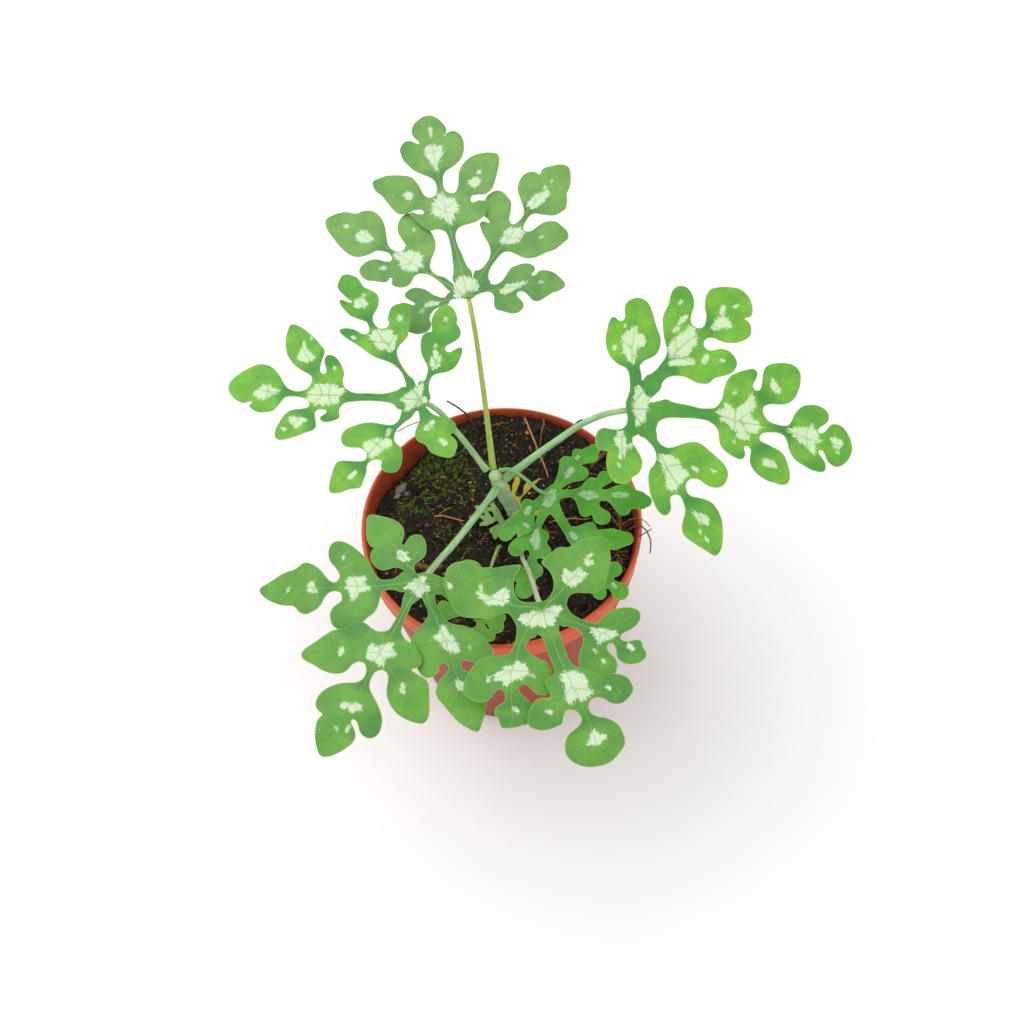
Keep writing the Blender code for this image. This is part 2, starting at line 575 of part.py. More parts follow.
def build_pot():
    band = POT_HEIGHT - POT_BAND_HEIGHT
    profile = [
        (0.0, 0.0),
        (POT_BASE_RADIUS - 0.0008, 0.0),
        (POT_BASE_RADIUS, 0.0008),
        (POT_NECK_RADIUS, band - 0.0010),
        (POT_BAND_RADIUS - 0.0009, band),
        (POT_BAND_RADIUS - 0.0003, band + 0.0006),
        (POT_BAND_RADIUS, POT_HEIGHT - 0.0030),
        (POT_RIM_RADIUS, POT_HEIGHT - 0.0018),
        (POT_RIM_RADIUS, POT_HEIGHT - 0.0006),
        (POT_RIM_RADIUS - 0.0006, POT_HEIGHT),
        (POT_MOUTH_RADIUS + 0.0005, POT_HEIGHT),
        (POT_MOUTH_RADIUS, POT_HEIGHT - 0.0008),
        (inner_radius(0.040), 0.040),
        (POT_FLOOR_RADIUS, POT_FLOOR),
        (0.0, POT_FLOOR),
    ]
    pot = turned(profile, POT_SIDES, "pot")
    spots = []
    for i in range(DRAIN_HOLES):
        angle = math.tau * (i + 0.5) / DRAIN_HOLES
        x = DRAIN_CIRCLE * math.cos(angle)
        y = DRAIN_CIRCLE * math.sin(angle)
        spots.append((x, y, DRAIN_RADIUS, -0.002, POT_FLOOR + 0.002))
    pot = combine(pot, cylinders("drain_cutter", spots), "DIFFERENCE")
    smooth(pot, 35.0)
    paint(pot, "pot", (0.62, 0.20, 0.10), 0.45)


def soil_height(x, y):
    """Lumpy potting soil with a mound round the stem and a hollow against the wall at the back left."""
    lumps = noise.noise(Vector((x * 160, y * 160, 0.3))) + 0.5 * noise.noise(Vector((x * 420, y * 420, 4)))
    mound = 0.0014 * math.exp(-((x - 0.004) ** 2 + (y - 0.004) ** 2) / 0.016**2)
    away = math.hypot(x - SOIL_HOLLOW[0], y - SOIL_HOLLOW[1]) / SOIL_HOLLOW_REACH
    hollow = SOIL_HOLLOW_DEPTH * math.exp(-(away**2))
    return SOIL_LEVEL + SOIL_LUMP * lumps + mound - hollow


def build_soil(stalks):
    floor = POT_FLOOR + SOIL_GAP
    profile = [(0.0, floor), (inner_radius(floor) - SOIL_GAP, floor)]
    profile += [(inner_radius(0.040) - SOIL_GAP, 0.040)]
    top = inner_radius(SOIL_LEVEL) - SOIL_GAP
    profile += [(top * (1 - i / SOIL_RINGS), SOIL_LEVEL) for i in range(SOIL_RINGS + 1)]
    soil = turned(profile, SOIL_SIDES, "soil")
    for vertex in soil.data.vertices:
        x, y, z = vertex.co
        if z < SOIL_LEVEL - 0.001:
            continue
        height = soil_height(x, y)
        radius = math.hypot(x, y)
        scale = 1.0
        if radius > top * 0.99:
            scale = (inner_radius(height) - SOIL_GAP) / radius
        vertex.co = (x * scale, y * scale, height)
    spots = []
    for x, y, z, radius in stalks:
        spots.append((x * MM, y * MM, (radius + 0.55) * MM, (z - 0.6) * MM, 0.085))
    soil = combine(soil, cylinders("stalk_cutter", spots), "DIFFERENCE")
    smooth(soil, 60.0)
    paint(soil, "soil", (0.045, 0.032, 0.024), 0.95)


def stroke_gap(points, stroke):
    """Distance from each point to a rib with its half widths: below nought inside."""
    best = np.full(len(points), 1e3)
    for first, second in zip(stroke, stroke[1:]):
        a = np.array(first, float)
        b = np.array(second, float)
        along = b[:2] - a[:2]
        share = np.clip((points - a[:2]) @ along / max(along @ along, 1e-9), 0, 1)
        off = points - a[:2] - share[:, None] * along
        best = np.minimum(best, np.hypot(off[:, 0], off[:, 1]) - a[2] - (b[2] - a[2]) * share)
    return best


def eased(value, low, high):
    share = np.clip((value - low) / (high - low), 0, 1)
    return share * share * (3 - 2 * share)


def swung_about_base(points, turn):
    """Turns points about the leaf base, by less where they are close to it."""
    turn = turn * eased(np.hypot(points[:, 0], points[:, 1]), 1.5, 7.0)
    u = points[:, 0] * np.cos(turn) - points[:, 1] * np.sin(turn)
    v = points[:, 0] * np.sin(turn) + points[:, 1] * np.cos(turn)
    return np.stack([u, v], axis=1)


def flat_strokes(leaf):
    """Each lobe's ribs in the flat pattern, where the lobes are swung apart about the leaf base."""
    pattern = []
    for swing, lift, strokes in leaf["lobes"].values():
        turn = math.radians(swing)
        swung = []
        for stroke in strokes:
            stroke = np.array(stroke, float)
            stroke[:, :2] = swung_about_base(stroke[:, :2], turn)
            swung.append(stroke)
        pattern.append((turn, lift, swung))
    return pattern


def blade_gap(points, pattern, blend):
    """Distance to the blade's edge, its sinuses rounded, and the distance to each lobe."""
    strokes = []
    lobes = []
    for _, _, swung in pattern:
        gaps = [stroke_gap(points, stroke) for stroke in swung]
        strokes += gaps
        lobes.append(np.min(gaps, axis=0))
    nearest = np.sort(np.array(strokes), axis=0)[:2]
    share = np.clip(0.5 + 0.5 * (nearest[1] - nearest[0]) / blend, 0, 1)
    edge = nearest[0] * share + nearest[1] * (1 - share) - blend * share * (1 - share)
    return edge, np.array(lobes)


def edge_loops(value, xs, ys):
    """Closed lines where a grid of values crosses nought."""
    inside = value < 0
    corners = inside[:-1, :-1] * 1 + inside[1:, :-1] + inside[1:, 1:] + inside[:-1, 1:]
    links = defaultdict(list)
    for i, j in np.argwhere((corners > 0) & (corners < 4)):
        ring = [(i, j), (i + 1, j), (i + 1, j + 1), (i, j + 1)]
        sides = [(i, j, 0), (i + 1, j, 1), (i, j + 1, 0), (i, j, 1)]
        here = [bool(inside[corner]) for corner in ring]
        hit = [sides[k] for k in range(4) if here[k] != here[(k + 1) % 4]]
        if len(hit) == 4:
            middle = sum(value[corner] for corner in ring) < 0
            order = (0, 1, 2, 3) if middle == here[0] else (3, 0, 1, 2)
            pairs = [(hit[order[0]], hit[order[1]]), (hit[order[2]], hit[order[3]])]
        else:
            pairs = [(hit[0], hit[1])]
        for a, b in pairs:
            links[a].append(b)
            links[b].append(a)

    def crossing(side):
        i, j, upright = side
        a = value[i, j]
        b = value[i, j + 1] if upright else value[i + 1, j]
        share = a / (a - b)
        if upright:
            return xs[i], ys[j] + share * (ys[j + 1] - ys[j])
        return xs[i] + share * (xs[i + 1] - xs[i]), ys[j]

    loops = []
    while links:
        start = next(iter(links))
        line = [start]
        before, here = None, start
        while True:
            ahead = [side for side in links.pop(here) if side != before]
            if not ahead or ahead[0] == start or ahead[0] not in links:
                break
            before, here = here, ahead[0]
            line.append(here)
        loops.append(np.array([crossing(side) for side in line]))
    return loops


def thinned(loop, turn_limit, longest):
    """Keeps points more closely where the edge bends."""
    ahead = np.roll(loop, -2, axis=0) - np.roll(loop, 2, axis=0)
    heading = np.unwrap(np.arctan2(ahead[:, 1], ahead[:, 0]))
    bend = np.abs(np.diff(heading, append=heading[-1]))
    step = np.hypot(*(np.roll(loop, -1, axis=0) - loop).T)
    kept = []
    turn = length = 1e3
    for i in range(len(loop)):
        if (turn > math.radians(turn_limit) and length > 0.7) or length > longest:
            kept.append(i)
            turn = length = 0.0
        turn += bend[i]
        length += step[i]
    if length < 0.5 and len(kept) > 3:
        kept.pop()
    return loop[kept]


def blade_sheet(leaf):
    """Flat points, triangles, lobe distances and edge distance of one leaf blade."""
    pattern = flat_strokes(leaf)
    every = np.concatenate([stroke for _, _, swung in pattern for stroke in swung])
    low = every[:, :2].min(axis=0) - 9
    high = every[:, :2].max(axis=0) + 9
    xs = np.arange(low[0], high[0], OUTLINE_GRID)
    ys = np.arange(low[1], high[1], OUTLINE_GRID)
    grid = np.stack(np.meshgrid(xs, ys, indexing="ij"), axis=-1).reshape(-1, 2)
    edge, _ = blade_gap(grid, pattern, leaf["blend"])
    loops = edge_loops(edge.reshape(len(xs), len(ys)), xs, ys)
    loops = [thinned(loop, OUTLINE_TURN, OUTLINE_LONGEST) for loop in loops if len(loop) > 12]
    points = np.concatenate(loops)
    borders = []
    count = 0
    for loop in loops:
        borders += [(count + i, count + (i + 1) % len(loop)) for i in range(len(loop))]
        count += len(loop)
    rows = []
    for k, y in enumerate(np.arange(low[1], high[1], INNER_SPACING * 0.87)):
        xs = np.arange(low[0] + (k % 2) * INNER_SPACING / 2, high[0], INNER_SPACING)
        rows.append(np.stack([xs, np.full(len(xs), y)], axis=1))
    inner = np.concatenate(rows)
    inner = inner[blade_gap(inner, pattern, leaf["blend"])[0] < -0.36 * INNER_SPACING]
    points = np.concatenate([points, inner])
    made = delaunay_2d_cdt([Vector(p) for p in points], borders, [], 0, 1e-4)
    flat = np.array([tuple(p) for p in made[0]])
    faces = np.array(made[2])
    centres = flat[faces].mean(axis=1)
    faces = faces[blade_gap(centres, pattern, leaf["blend"])[0] < 0]
    used = np.unique(faces)
    order = np.full(len(flat), -1)
    order[used] = np.arange(len(used))
    return flat[used], order[faces], pattern


def leaf_axes(leaf):
    """Unit vectors along the middle lobe, to its left and out of the upper face."""
    tilt, toward = (math.radians(angle) for angle in leaf["tilt"])
    out = Vector((math.sin(tilt) * math.cos(toward), math.sin(tilt) * math.sin(toward), math.cos(tilt)))
    heading = math.radians(leaf["heading"])
    level = Vector((math.cos(heading), math.sin(heading), 0.0))
    along = (level - out * level.dot(out)).normalized()
    return along, out.cross(along), out


def shaped(leaf, flat, pattern):
    """Lifts, swings, channels and droops the flat blade, in leaf millimetres."""
    edge, gaps = blade_gap(flat, pattern, leaf["blend"])
    weight = np.exp(-(gaps - gaps.min(axis=0)) / 0.8)
    weight /= weight.sum(axis=0)
    turn = sum(w * -t for w, (t, _, _) in zip(weight, pattern))
    lift = sum(w * l for w, (_, l, _) in zip(weight, pattern))
    reach = np.hypot(flat[:, 0], flat[:, 1])
    u, v = swung_about_base(flat, turn).T
    wave = np.sin(u * 0.33 + 0.7 * np.sin(v * 0.21)) * np.cos(v * 0.29 + 0.4) * eased(reach, 3, 12)
    height = lift * eased(reach, 4.0, 17.0) - leaf["droop"] * (u * u + v * v) + RIPPLE * wave
    return np.stack([u, v, height], axis=1)


def build_leaf(name, leaf, colour):
    flat, faces, pattern = blade_sheet(leaf)
    local = shaped(leaf, flat, pattern)
    along, left, out = leaf_axes(leaf)
    base = Vector(leaf["base"])
    points = [(base + along * u + left * v + out * h) * MM for u, v, h in local.tolist()]
    mesh = bpy.data.meshes.new(name)
    mesh.from_pydata(points, [], faces.tolist())
    blade = place(name, mesh)
    sheet = blade.modifiers.new("thickness", "SOLIDIFY")
    sheet.thickness = BLADE_THICKNESS * MM
    sheet.offset = 0.0
    blade = applied(blade)
    shape = bmesh.new()
    shape.from_mesh(blade.data)
    bmesh.ops.triangulate(shape, faces=shape.faces)
    bmesh.ops.recalc_face_normals(shape, faces=shape.faces)
    shape.to_mesh(blade.data)
    shape.free()
    if leaf["petiole"]:
        radius = leaf["petiole"][-1][3]
        seat = base + along * 2.6 - out * (radius * 0.75 + 0.05)
        line = leaf["petiole"] + [(*seat, radius * 0.9)]
        blade = combine(blade, tube(name + "_stalk", line), "UNION")
    smooth(blade, 50.0)
    paint(blade, name, colour, 0.5)


def build_stem():
    stem = tube("stem", STEM_LINE, steps=4, sides=4)
    smooth(stem, 50.0)
    paint(stem, "stem", (0.30, 0.42, 0.28), 0.7)


clear_scene()
build_pot()
build_stem()
in_soil = [STEM_LINE[0]]
for title, (shape_of, tint) in LEAVES.items():
    build_leaf(title, shape_of, tint)
    if shape_of["petiole"] and shape_of["petiole"][0][2] < 72.0:
        in_soil.append(shape_of["petiole"][0])
build_soil(in_soil)
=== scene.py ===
"""Looks of the potted adenia: leaves, stalks and stem, potting soil with its litter, and the pot's finish.

Leaves are drawn flat: the first number runs along the middle lobe from the leaf base, the second to its
left. A lobe is either an outline with its veins, or ribs with the half width at each point as a third
number. The pale patches are drawn as such ribs too.
Lengths are in millimetres and angles in degrees unless a line says otherwise.
"""

import math
from collections import defaultdict, namedtuple

import bmesh
import bpy
import numpy as np
from mathutils import Matrix, Vector, noise
from mathutils.geometry import delaunay_2d_cdt


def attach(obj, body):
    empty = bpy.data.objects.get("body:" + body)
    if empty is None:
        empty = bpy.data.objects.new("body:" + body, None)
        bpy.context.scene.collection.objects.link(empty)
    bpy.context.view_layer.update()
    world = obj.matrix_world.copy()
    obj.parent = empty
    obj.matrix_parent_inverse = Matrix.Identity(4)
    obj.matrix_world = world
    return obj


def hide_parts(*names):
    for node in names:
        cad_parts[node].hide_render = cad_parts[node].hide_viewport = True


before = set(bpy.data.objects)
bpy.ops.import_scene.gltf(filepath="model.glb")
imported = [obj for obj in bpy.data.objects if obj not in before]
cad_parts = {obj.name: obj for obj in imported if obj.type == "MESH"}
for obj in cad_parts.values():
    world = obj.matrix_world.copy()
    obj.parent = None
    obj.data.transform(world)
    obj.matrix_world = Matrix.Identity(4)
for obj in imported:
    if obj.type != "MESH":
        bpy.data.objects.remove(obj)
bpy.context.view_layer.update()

MM = 0.001

# Blades: their form
BLADE_THICKNESS = 0.38
RIPPLE = 0.55
RIB_GROOVE = 0.10
UNDER_RIB = 0.22
SIDE_VEIN_RIPPLE = 0.05
RIB_SWELL = 0.18
SIDE_VEIN_STRENGTH = 0.62
VEIN_SPACING = 0.8
SHARP_ANGLE = 60.0

# Blades: values that their finishes read
NO_PATCH = 6.0
NOISE_APART = 37.0
SIDE_VEIN_GAP = 4.2

# Blades: how finely they are meshed
OUTLINE_GRID = 0.3
OUTLINE_LONGEST = 0.6
INNER_SPACING = 0.85
ROW_SHARE = 0.87
VEIN_CLEARANCE = 0.42
EDGE_CLEARANCE = 0.4
SHEET_MARGIN = 9
SMALLEST_LOOP = 12
FAR_OFF = 4.0
FARTHEST = 1e3

# Stalks
STALK_SIDES = 14
STALK_STEPS = 14
STALK_FOOT_SWELL = 0.22
CURVE_EASE = 2.5614
CAP_SHARE = 0.45
SEAT_REACH = 2.6
SEAT_SHARE = 0.75

# Pot and soil, as in the solid model
POT_HEIGHT = 80.0
POT_MOUTH_RADIUS = 43.4
POT_FLOOR_RADIUS = 30.2
POT_FLOOR = 1.6
POT_LIP = 0.8
POT_WALL_SLOPE = (POT_MOUTH_RADIUS - POT_FLOOR_RADIUS) / (POT_HEIGHT - POT_LIP - POT_FLOOR)
SOIL_LEVEL = 73.5
SOIL_FOOT = 1.95
SOIL_GAP = 0.35
SOIL_LUMP = 1.1
SOIL_HOLLOW = (-31.0, 30.0)
SOIL_HOLLOW_REACH = 12.0
SOIL_HOLLOW_DEPTH = 6.5
SOIL_MOUND = (4.0, 4.0)
SOIL_MOUND_REACH = 16.0
SOIL_MOUND_RISE = 1.4

# Banks of soil against the wall: azimuth, spread, rise
SOIL_BANKS = ((85.0, 40.0, 4.4), (45.0, 25.0, 1.8), (8.0, 28.0, 1.5))
BANK_RADII = (28.0, 41.0)

# The soil's finer mesh and crumbs
SOIL_ROUGHNESS = 0.55
SOIL_RINGS = 78
SOIL_SIDES = 460
SOIL_TONE = 0.4
SOIL_SEED = 11
CRUMBS = 3600
CRUMB_REACH = 41.2
LUMPS = 420
LUMP_REACH = 40.6

# Litter: fibres turn back and moss ends at its radius
LITTER_SEED = 23
LITTER_RADIUS = 40.5
SCATTER_REACH = 39
FIBRES = 300
FIBRE_STEP = 2.2
RIM_FIBRES = 46
RIM_FIBRE_START = 38.5
GRAINS = 85
LARGE_GRAINS = 6
SPIKES_PER_TUFT = 6
SPIKE_HALF_WIDTH = 0.16

# Twigs and shreds that stand out in the photo: places, radius, tone. No height means on the soil
TWIGS = (
    ([(-5.5, 38.0, None), (-9.1, 43.3, 80.6), (-14.7, 46.2, 84.0)], 0.35, 0.05),
    ([(-14.0, 38.0, None), (-19.0, 40.4, 80.5), (-23.8, 40.4, 82.0), (-31.8, 35.4, 84.0)], 0.18, 0.1),
    ([(25.0, 33.5, None), (27.5, 35.4, 80.6), (29.5, 36.2, 81.2)], 0.45, 0.0),
    ([(31.0, 21.0, None), (36.1, 24.2, 78.4), (38.0, 22.8, 80.7)], 0.9, 0.35),
    ([(40.0, -4.0, None), (44.2, -6.0, 80.6), (46.6, -11.0, 80.2), (46.2, -14.5, 77.4)], 0.28, 0.6),
    ([(39.5, -9.0, None), (43.8, -9.6, 80.6), (47.4, -8.0, 81.4)], 0.22, 0.45),
    ([(38.5, -1.5, None), (44.0, -3.0, 80.7), (47.0, -6.5, 80.4)], 0.2, 0.8),
    ([(-28.5, -9.6, None), (-24.6, -10.9, None), (-20.0, -11.4, None)], 1.25, 0.4),
    ([(-26.5, -13.2, None), (-22.8, -13.6, None)], 0.8, 0.3),
)

# Straight fibres that stand out in the photo: start, end, radius, tone
LONG_FIBRES = (
    ((10.6, 41), (15.5, 19), 0.42, 0.9),
    ((16.4, 40.6), (18.3, 30), 0.34, 0.55),
    ((16.4, 2.2), (28.9, 1.3), 0.3, 0.95),
    ((-21.3, 8.1), (-11.4, 4.8), 0.32, 0.9),
    ((-20, 8.7), (-14.9, 11.3), 0.24, 0.75),
    ((-3, 38), (5, 40.5), 0.26, 0.6),
)

# The grey lump at the left: place, size, tone of each bit
GREY_BITS = (((-32.4, 20.6), 2.3, 0.5), ((-30.4, 18.8), 1.3, 0.3), ((-33.4, 17.8), 1.0, 0.7))

# Beds of moss: centre, radius, number of tufts
MOSS_BEDS = (
    ((-21.8, 32), 8, 480), ((-16, 26), 8, 360), ((-13, 18), 6, 200), ((-27, 27), 6, 220),
    ((-25, 14), 5, 110), ((-19, 1), 3, 40), ((-13, 38), 4, 110), ((-31, 13), 4, 60),
    ((2, 30), 12, 70), ((-10, -6), 12, 60),
)

# The stem: places and radii of its trunk and of the cut side shoot, and its knots
STEM_LINE = [
    (5.2, 3.6, 66.0, 2.6),
    (5.2, 3.6, 72.0, 2.6),
    (4.4, 3.9, 80.0, 2.4),
    (1.9, 4.6, 88.0, 2.1),
    (0.0, 5.2, 95.0, 2.1),
    (-0.9, 5.6, 99.5, 1.7),
]
SHOOT_LINE = [(4.2, 3.6, 80.5, 1.5), (5.0, 1.6, 81.6, 1.35), (5.6, -0.2, 82.6, 1.15)]
STEM_STEPS = 9
STEM_SIDES = 22
KNOTS = (((-0.7, 5.4, 99.0), 2.2), ((0.6, 4.9, 95.2), 2.4), ((3.6, 4.1, 83), 2.5))

# Camera: how the photograph looks down on the pot. The distance is in metres
CAMERA_ELEVATION = 58.526
CAMERA_DISTANCE = 0.5462
CAMERA_PAN = -0.384
CAMERA_PITCH = 0.304
CAMERA_ROLL = 4.67
CAMERA_LENS = 60.0
CAMERA_SENSOR = 36.0

# Studio, in metres and watts: lamps as name, place, size, power
FLOOR_REACH = 4.0
WORLD_STRENGTH = 0.84
LAMPS = (("key", (-0.55, 0.30, 1.15), 1.3, 8.0), ("fill", (0.9, -0.5, 0.9), 1.2, 2.5))
LAMP_AIM = (0, 0, 0.1)

# Leaf finishes: colours as seen on a screen, 0 to 255
BLADE_LOOKS = {
    "leaf_mid": {"light": (142, 192, 98), "dark": (92, 156, 86), "vein": (182, 210, 124),
                 "net": (112, 172, 86), "pale": (228, 244, 216)},
    "leaf_front": {"light": (122, 186, 72), "dark": (82, 150, 68), "vein": (168, 204, 100),
                   "net": (98, 164, 66), "pale": (228, 244, 216)},
    "leaf_bright": {"light": (142, 208, 66), "dark": (70, 156, 68), "vein": (112, 170, 92),
                    "net": (92, 174, 54), "pale": (224, 244, 204), "gloss": 0.4},
    "leaf_deep": {"light": (112, 196, 58), "dark": (52, 142, 48), "vein": (116, 186, 92),
                  "net": (70, 158, 46), "pale": (186, 222, 172), "gloss": 0.38, "wide": (0.8, 2.7)},
    "leaf_yellow": {"light": (250, 220, 84), "dark": (236, 196, 60), "vein": (214, 176, 72),
                    "net": (216, 178, 60), "pale": (250, 238, 160), "gloss": 0.55, "wide": (0.3, 1.2)},
    "leaf_young": {"light": (146, 196, 96), "dark": (112, 168, 84), "vein": (176, 210, 124),
                   "net": (106, 162, 74), "pale": (196, 224, 168), "gloss": 0.5, "wide": (0.3, 1.2)},
    "leaf_sprout_tint": {"light": (118, 190, 62), "dark": (92, 164, 60), "vein": (150, 200, 90),
                         "net": (84, 156, 54), "pale": (190, 224, 150), "gloss": 0.45, "wide": (0.4, 1.6)},
}
MARGIN_COLOUR = (160, 192, 78)
UNDERSIDE_COLOUR = (150, 190, 135)

# Stalk and stem finishes
STALK_LOOKS = {
    "stalk_blue_green": {"base": (122, 172, 116), "stripe": (172, 208, 156), "warm": (150, 186, 92)},
    "stalk_olive": {"base": (146, 172, 62), "stripe": (176, 194, 96), "warm": (124, 168, 66)},
    "stalk_grey": {"base": (166, 170, 136), "stripe": (204, 206, 176), "warm": (156, 134, 100)},
    "stalk_thin": {"base": (104, 166, 92), "stripe": (140, 192, 128), "warm": (120, 168, 84)},
    "stalk_fresh": {"base": (142, 182, 78), "stripe": (174, 204, 116), "warm": (128, 168, 66)},
    "stem_bark_finish": {"base": (156, 196, 132), "stripe": (196, 218, 180), "warm": (164, 198, 124),
                         "speckle": 0.5},
    "stub_finish": {"base": (184, 204, 196), "stripe": (208, 222, 216), "warm": (194, 208, 192)},
}
SPECKLE_COLOUR = (206, 212, 190)

# Finishes of loose matter: colours by tone, roughness, noise scale per metre, height of its bumps
GRAIN_LOOKS = {
    "peat_finish": ({0.0: (22, 20, 17), 0.45: (42, 37, 31), 0.75: (80, 62, 46), 0.9: (136, 100, 68),
                     1.0: (180, 142, 100)}, 0.9, 900, 0.3),
    "fibre_finish": ({0.0: (64, 42, 28), 0.5: (128, 84, 48), 1.0: (206, 150, 96)}, 0.75, 700, 0.05),
    "perlite_finish": ({0.0: (196, 194, 184), 1.0: (244, 244, 240)}, 0.8, 1500, 0.1),
    "moss_finish": ({0.0: (58, 74, 22), 0.5: (104, 134, 34), 1.0: (160, 192, 70)}, 0.7, 800, 0.05),
    "lump_finish": ({0.0: (92, 88, 84), 1.0: (158, 154, 148)}, 0.85, 600, 0.2),
}

# Pot finish: colours, heights between which it changes, and mould rings in radians per metre
POT_RED = (206, 84, 46)
POT_ORANGE = (220, 100, 56)
POT_STREAK = (176, 82, 58)
POT_DUST = (226, 168, 140)
# painted shade: the wall below the rim band is coloured darker, as if shaded
POT_WALL_PAINTED_SHADE = (142, 46, 30)
# painted shade: the inner wall is coloured darker, as if in the pot's shade
POT_INSIDE_PAINTED_SHADE = (140, 50, 36)
POT_SMEAR = (58, 34, 24)
RIM_BAND_FOOT = (69.5, 71.2)
SMEAR_HEIGHTS = (71.5, 77.5)
INNER_WALL_EDGE = (0.3, 0.6)
MOULD_RINGS = 5200.0

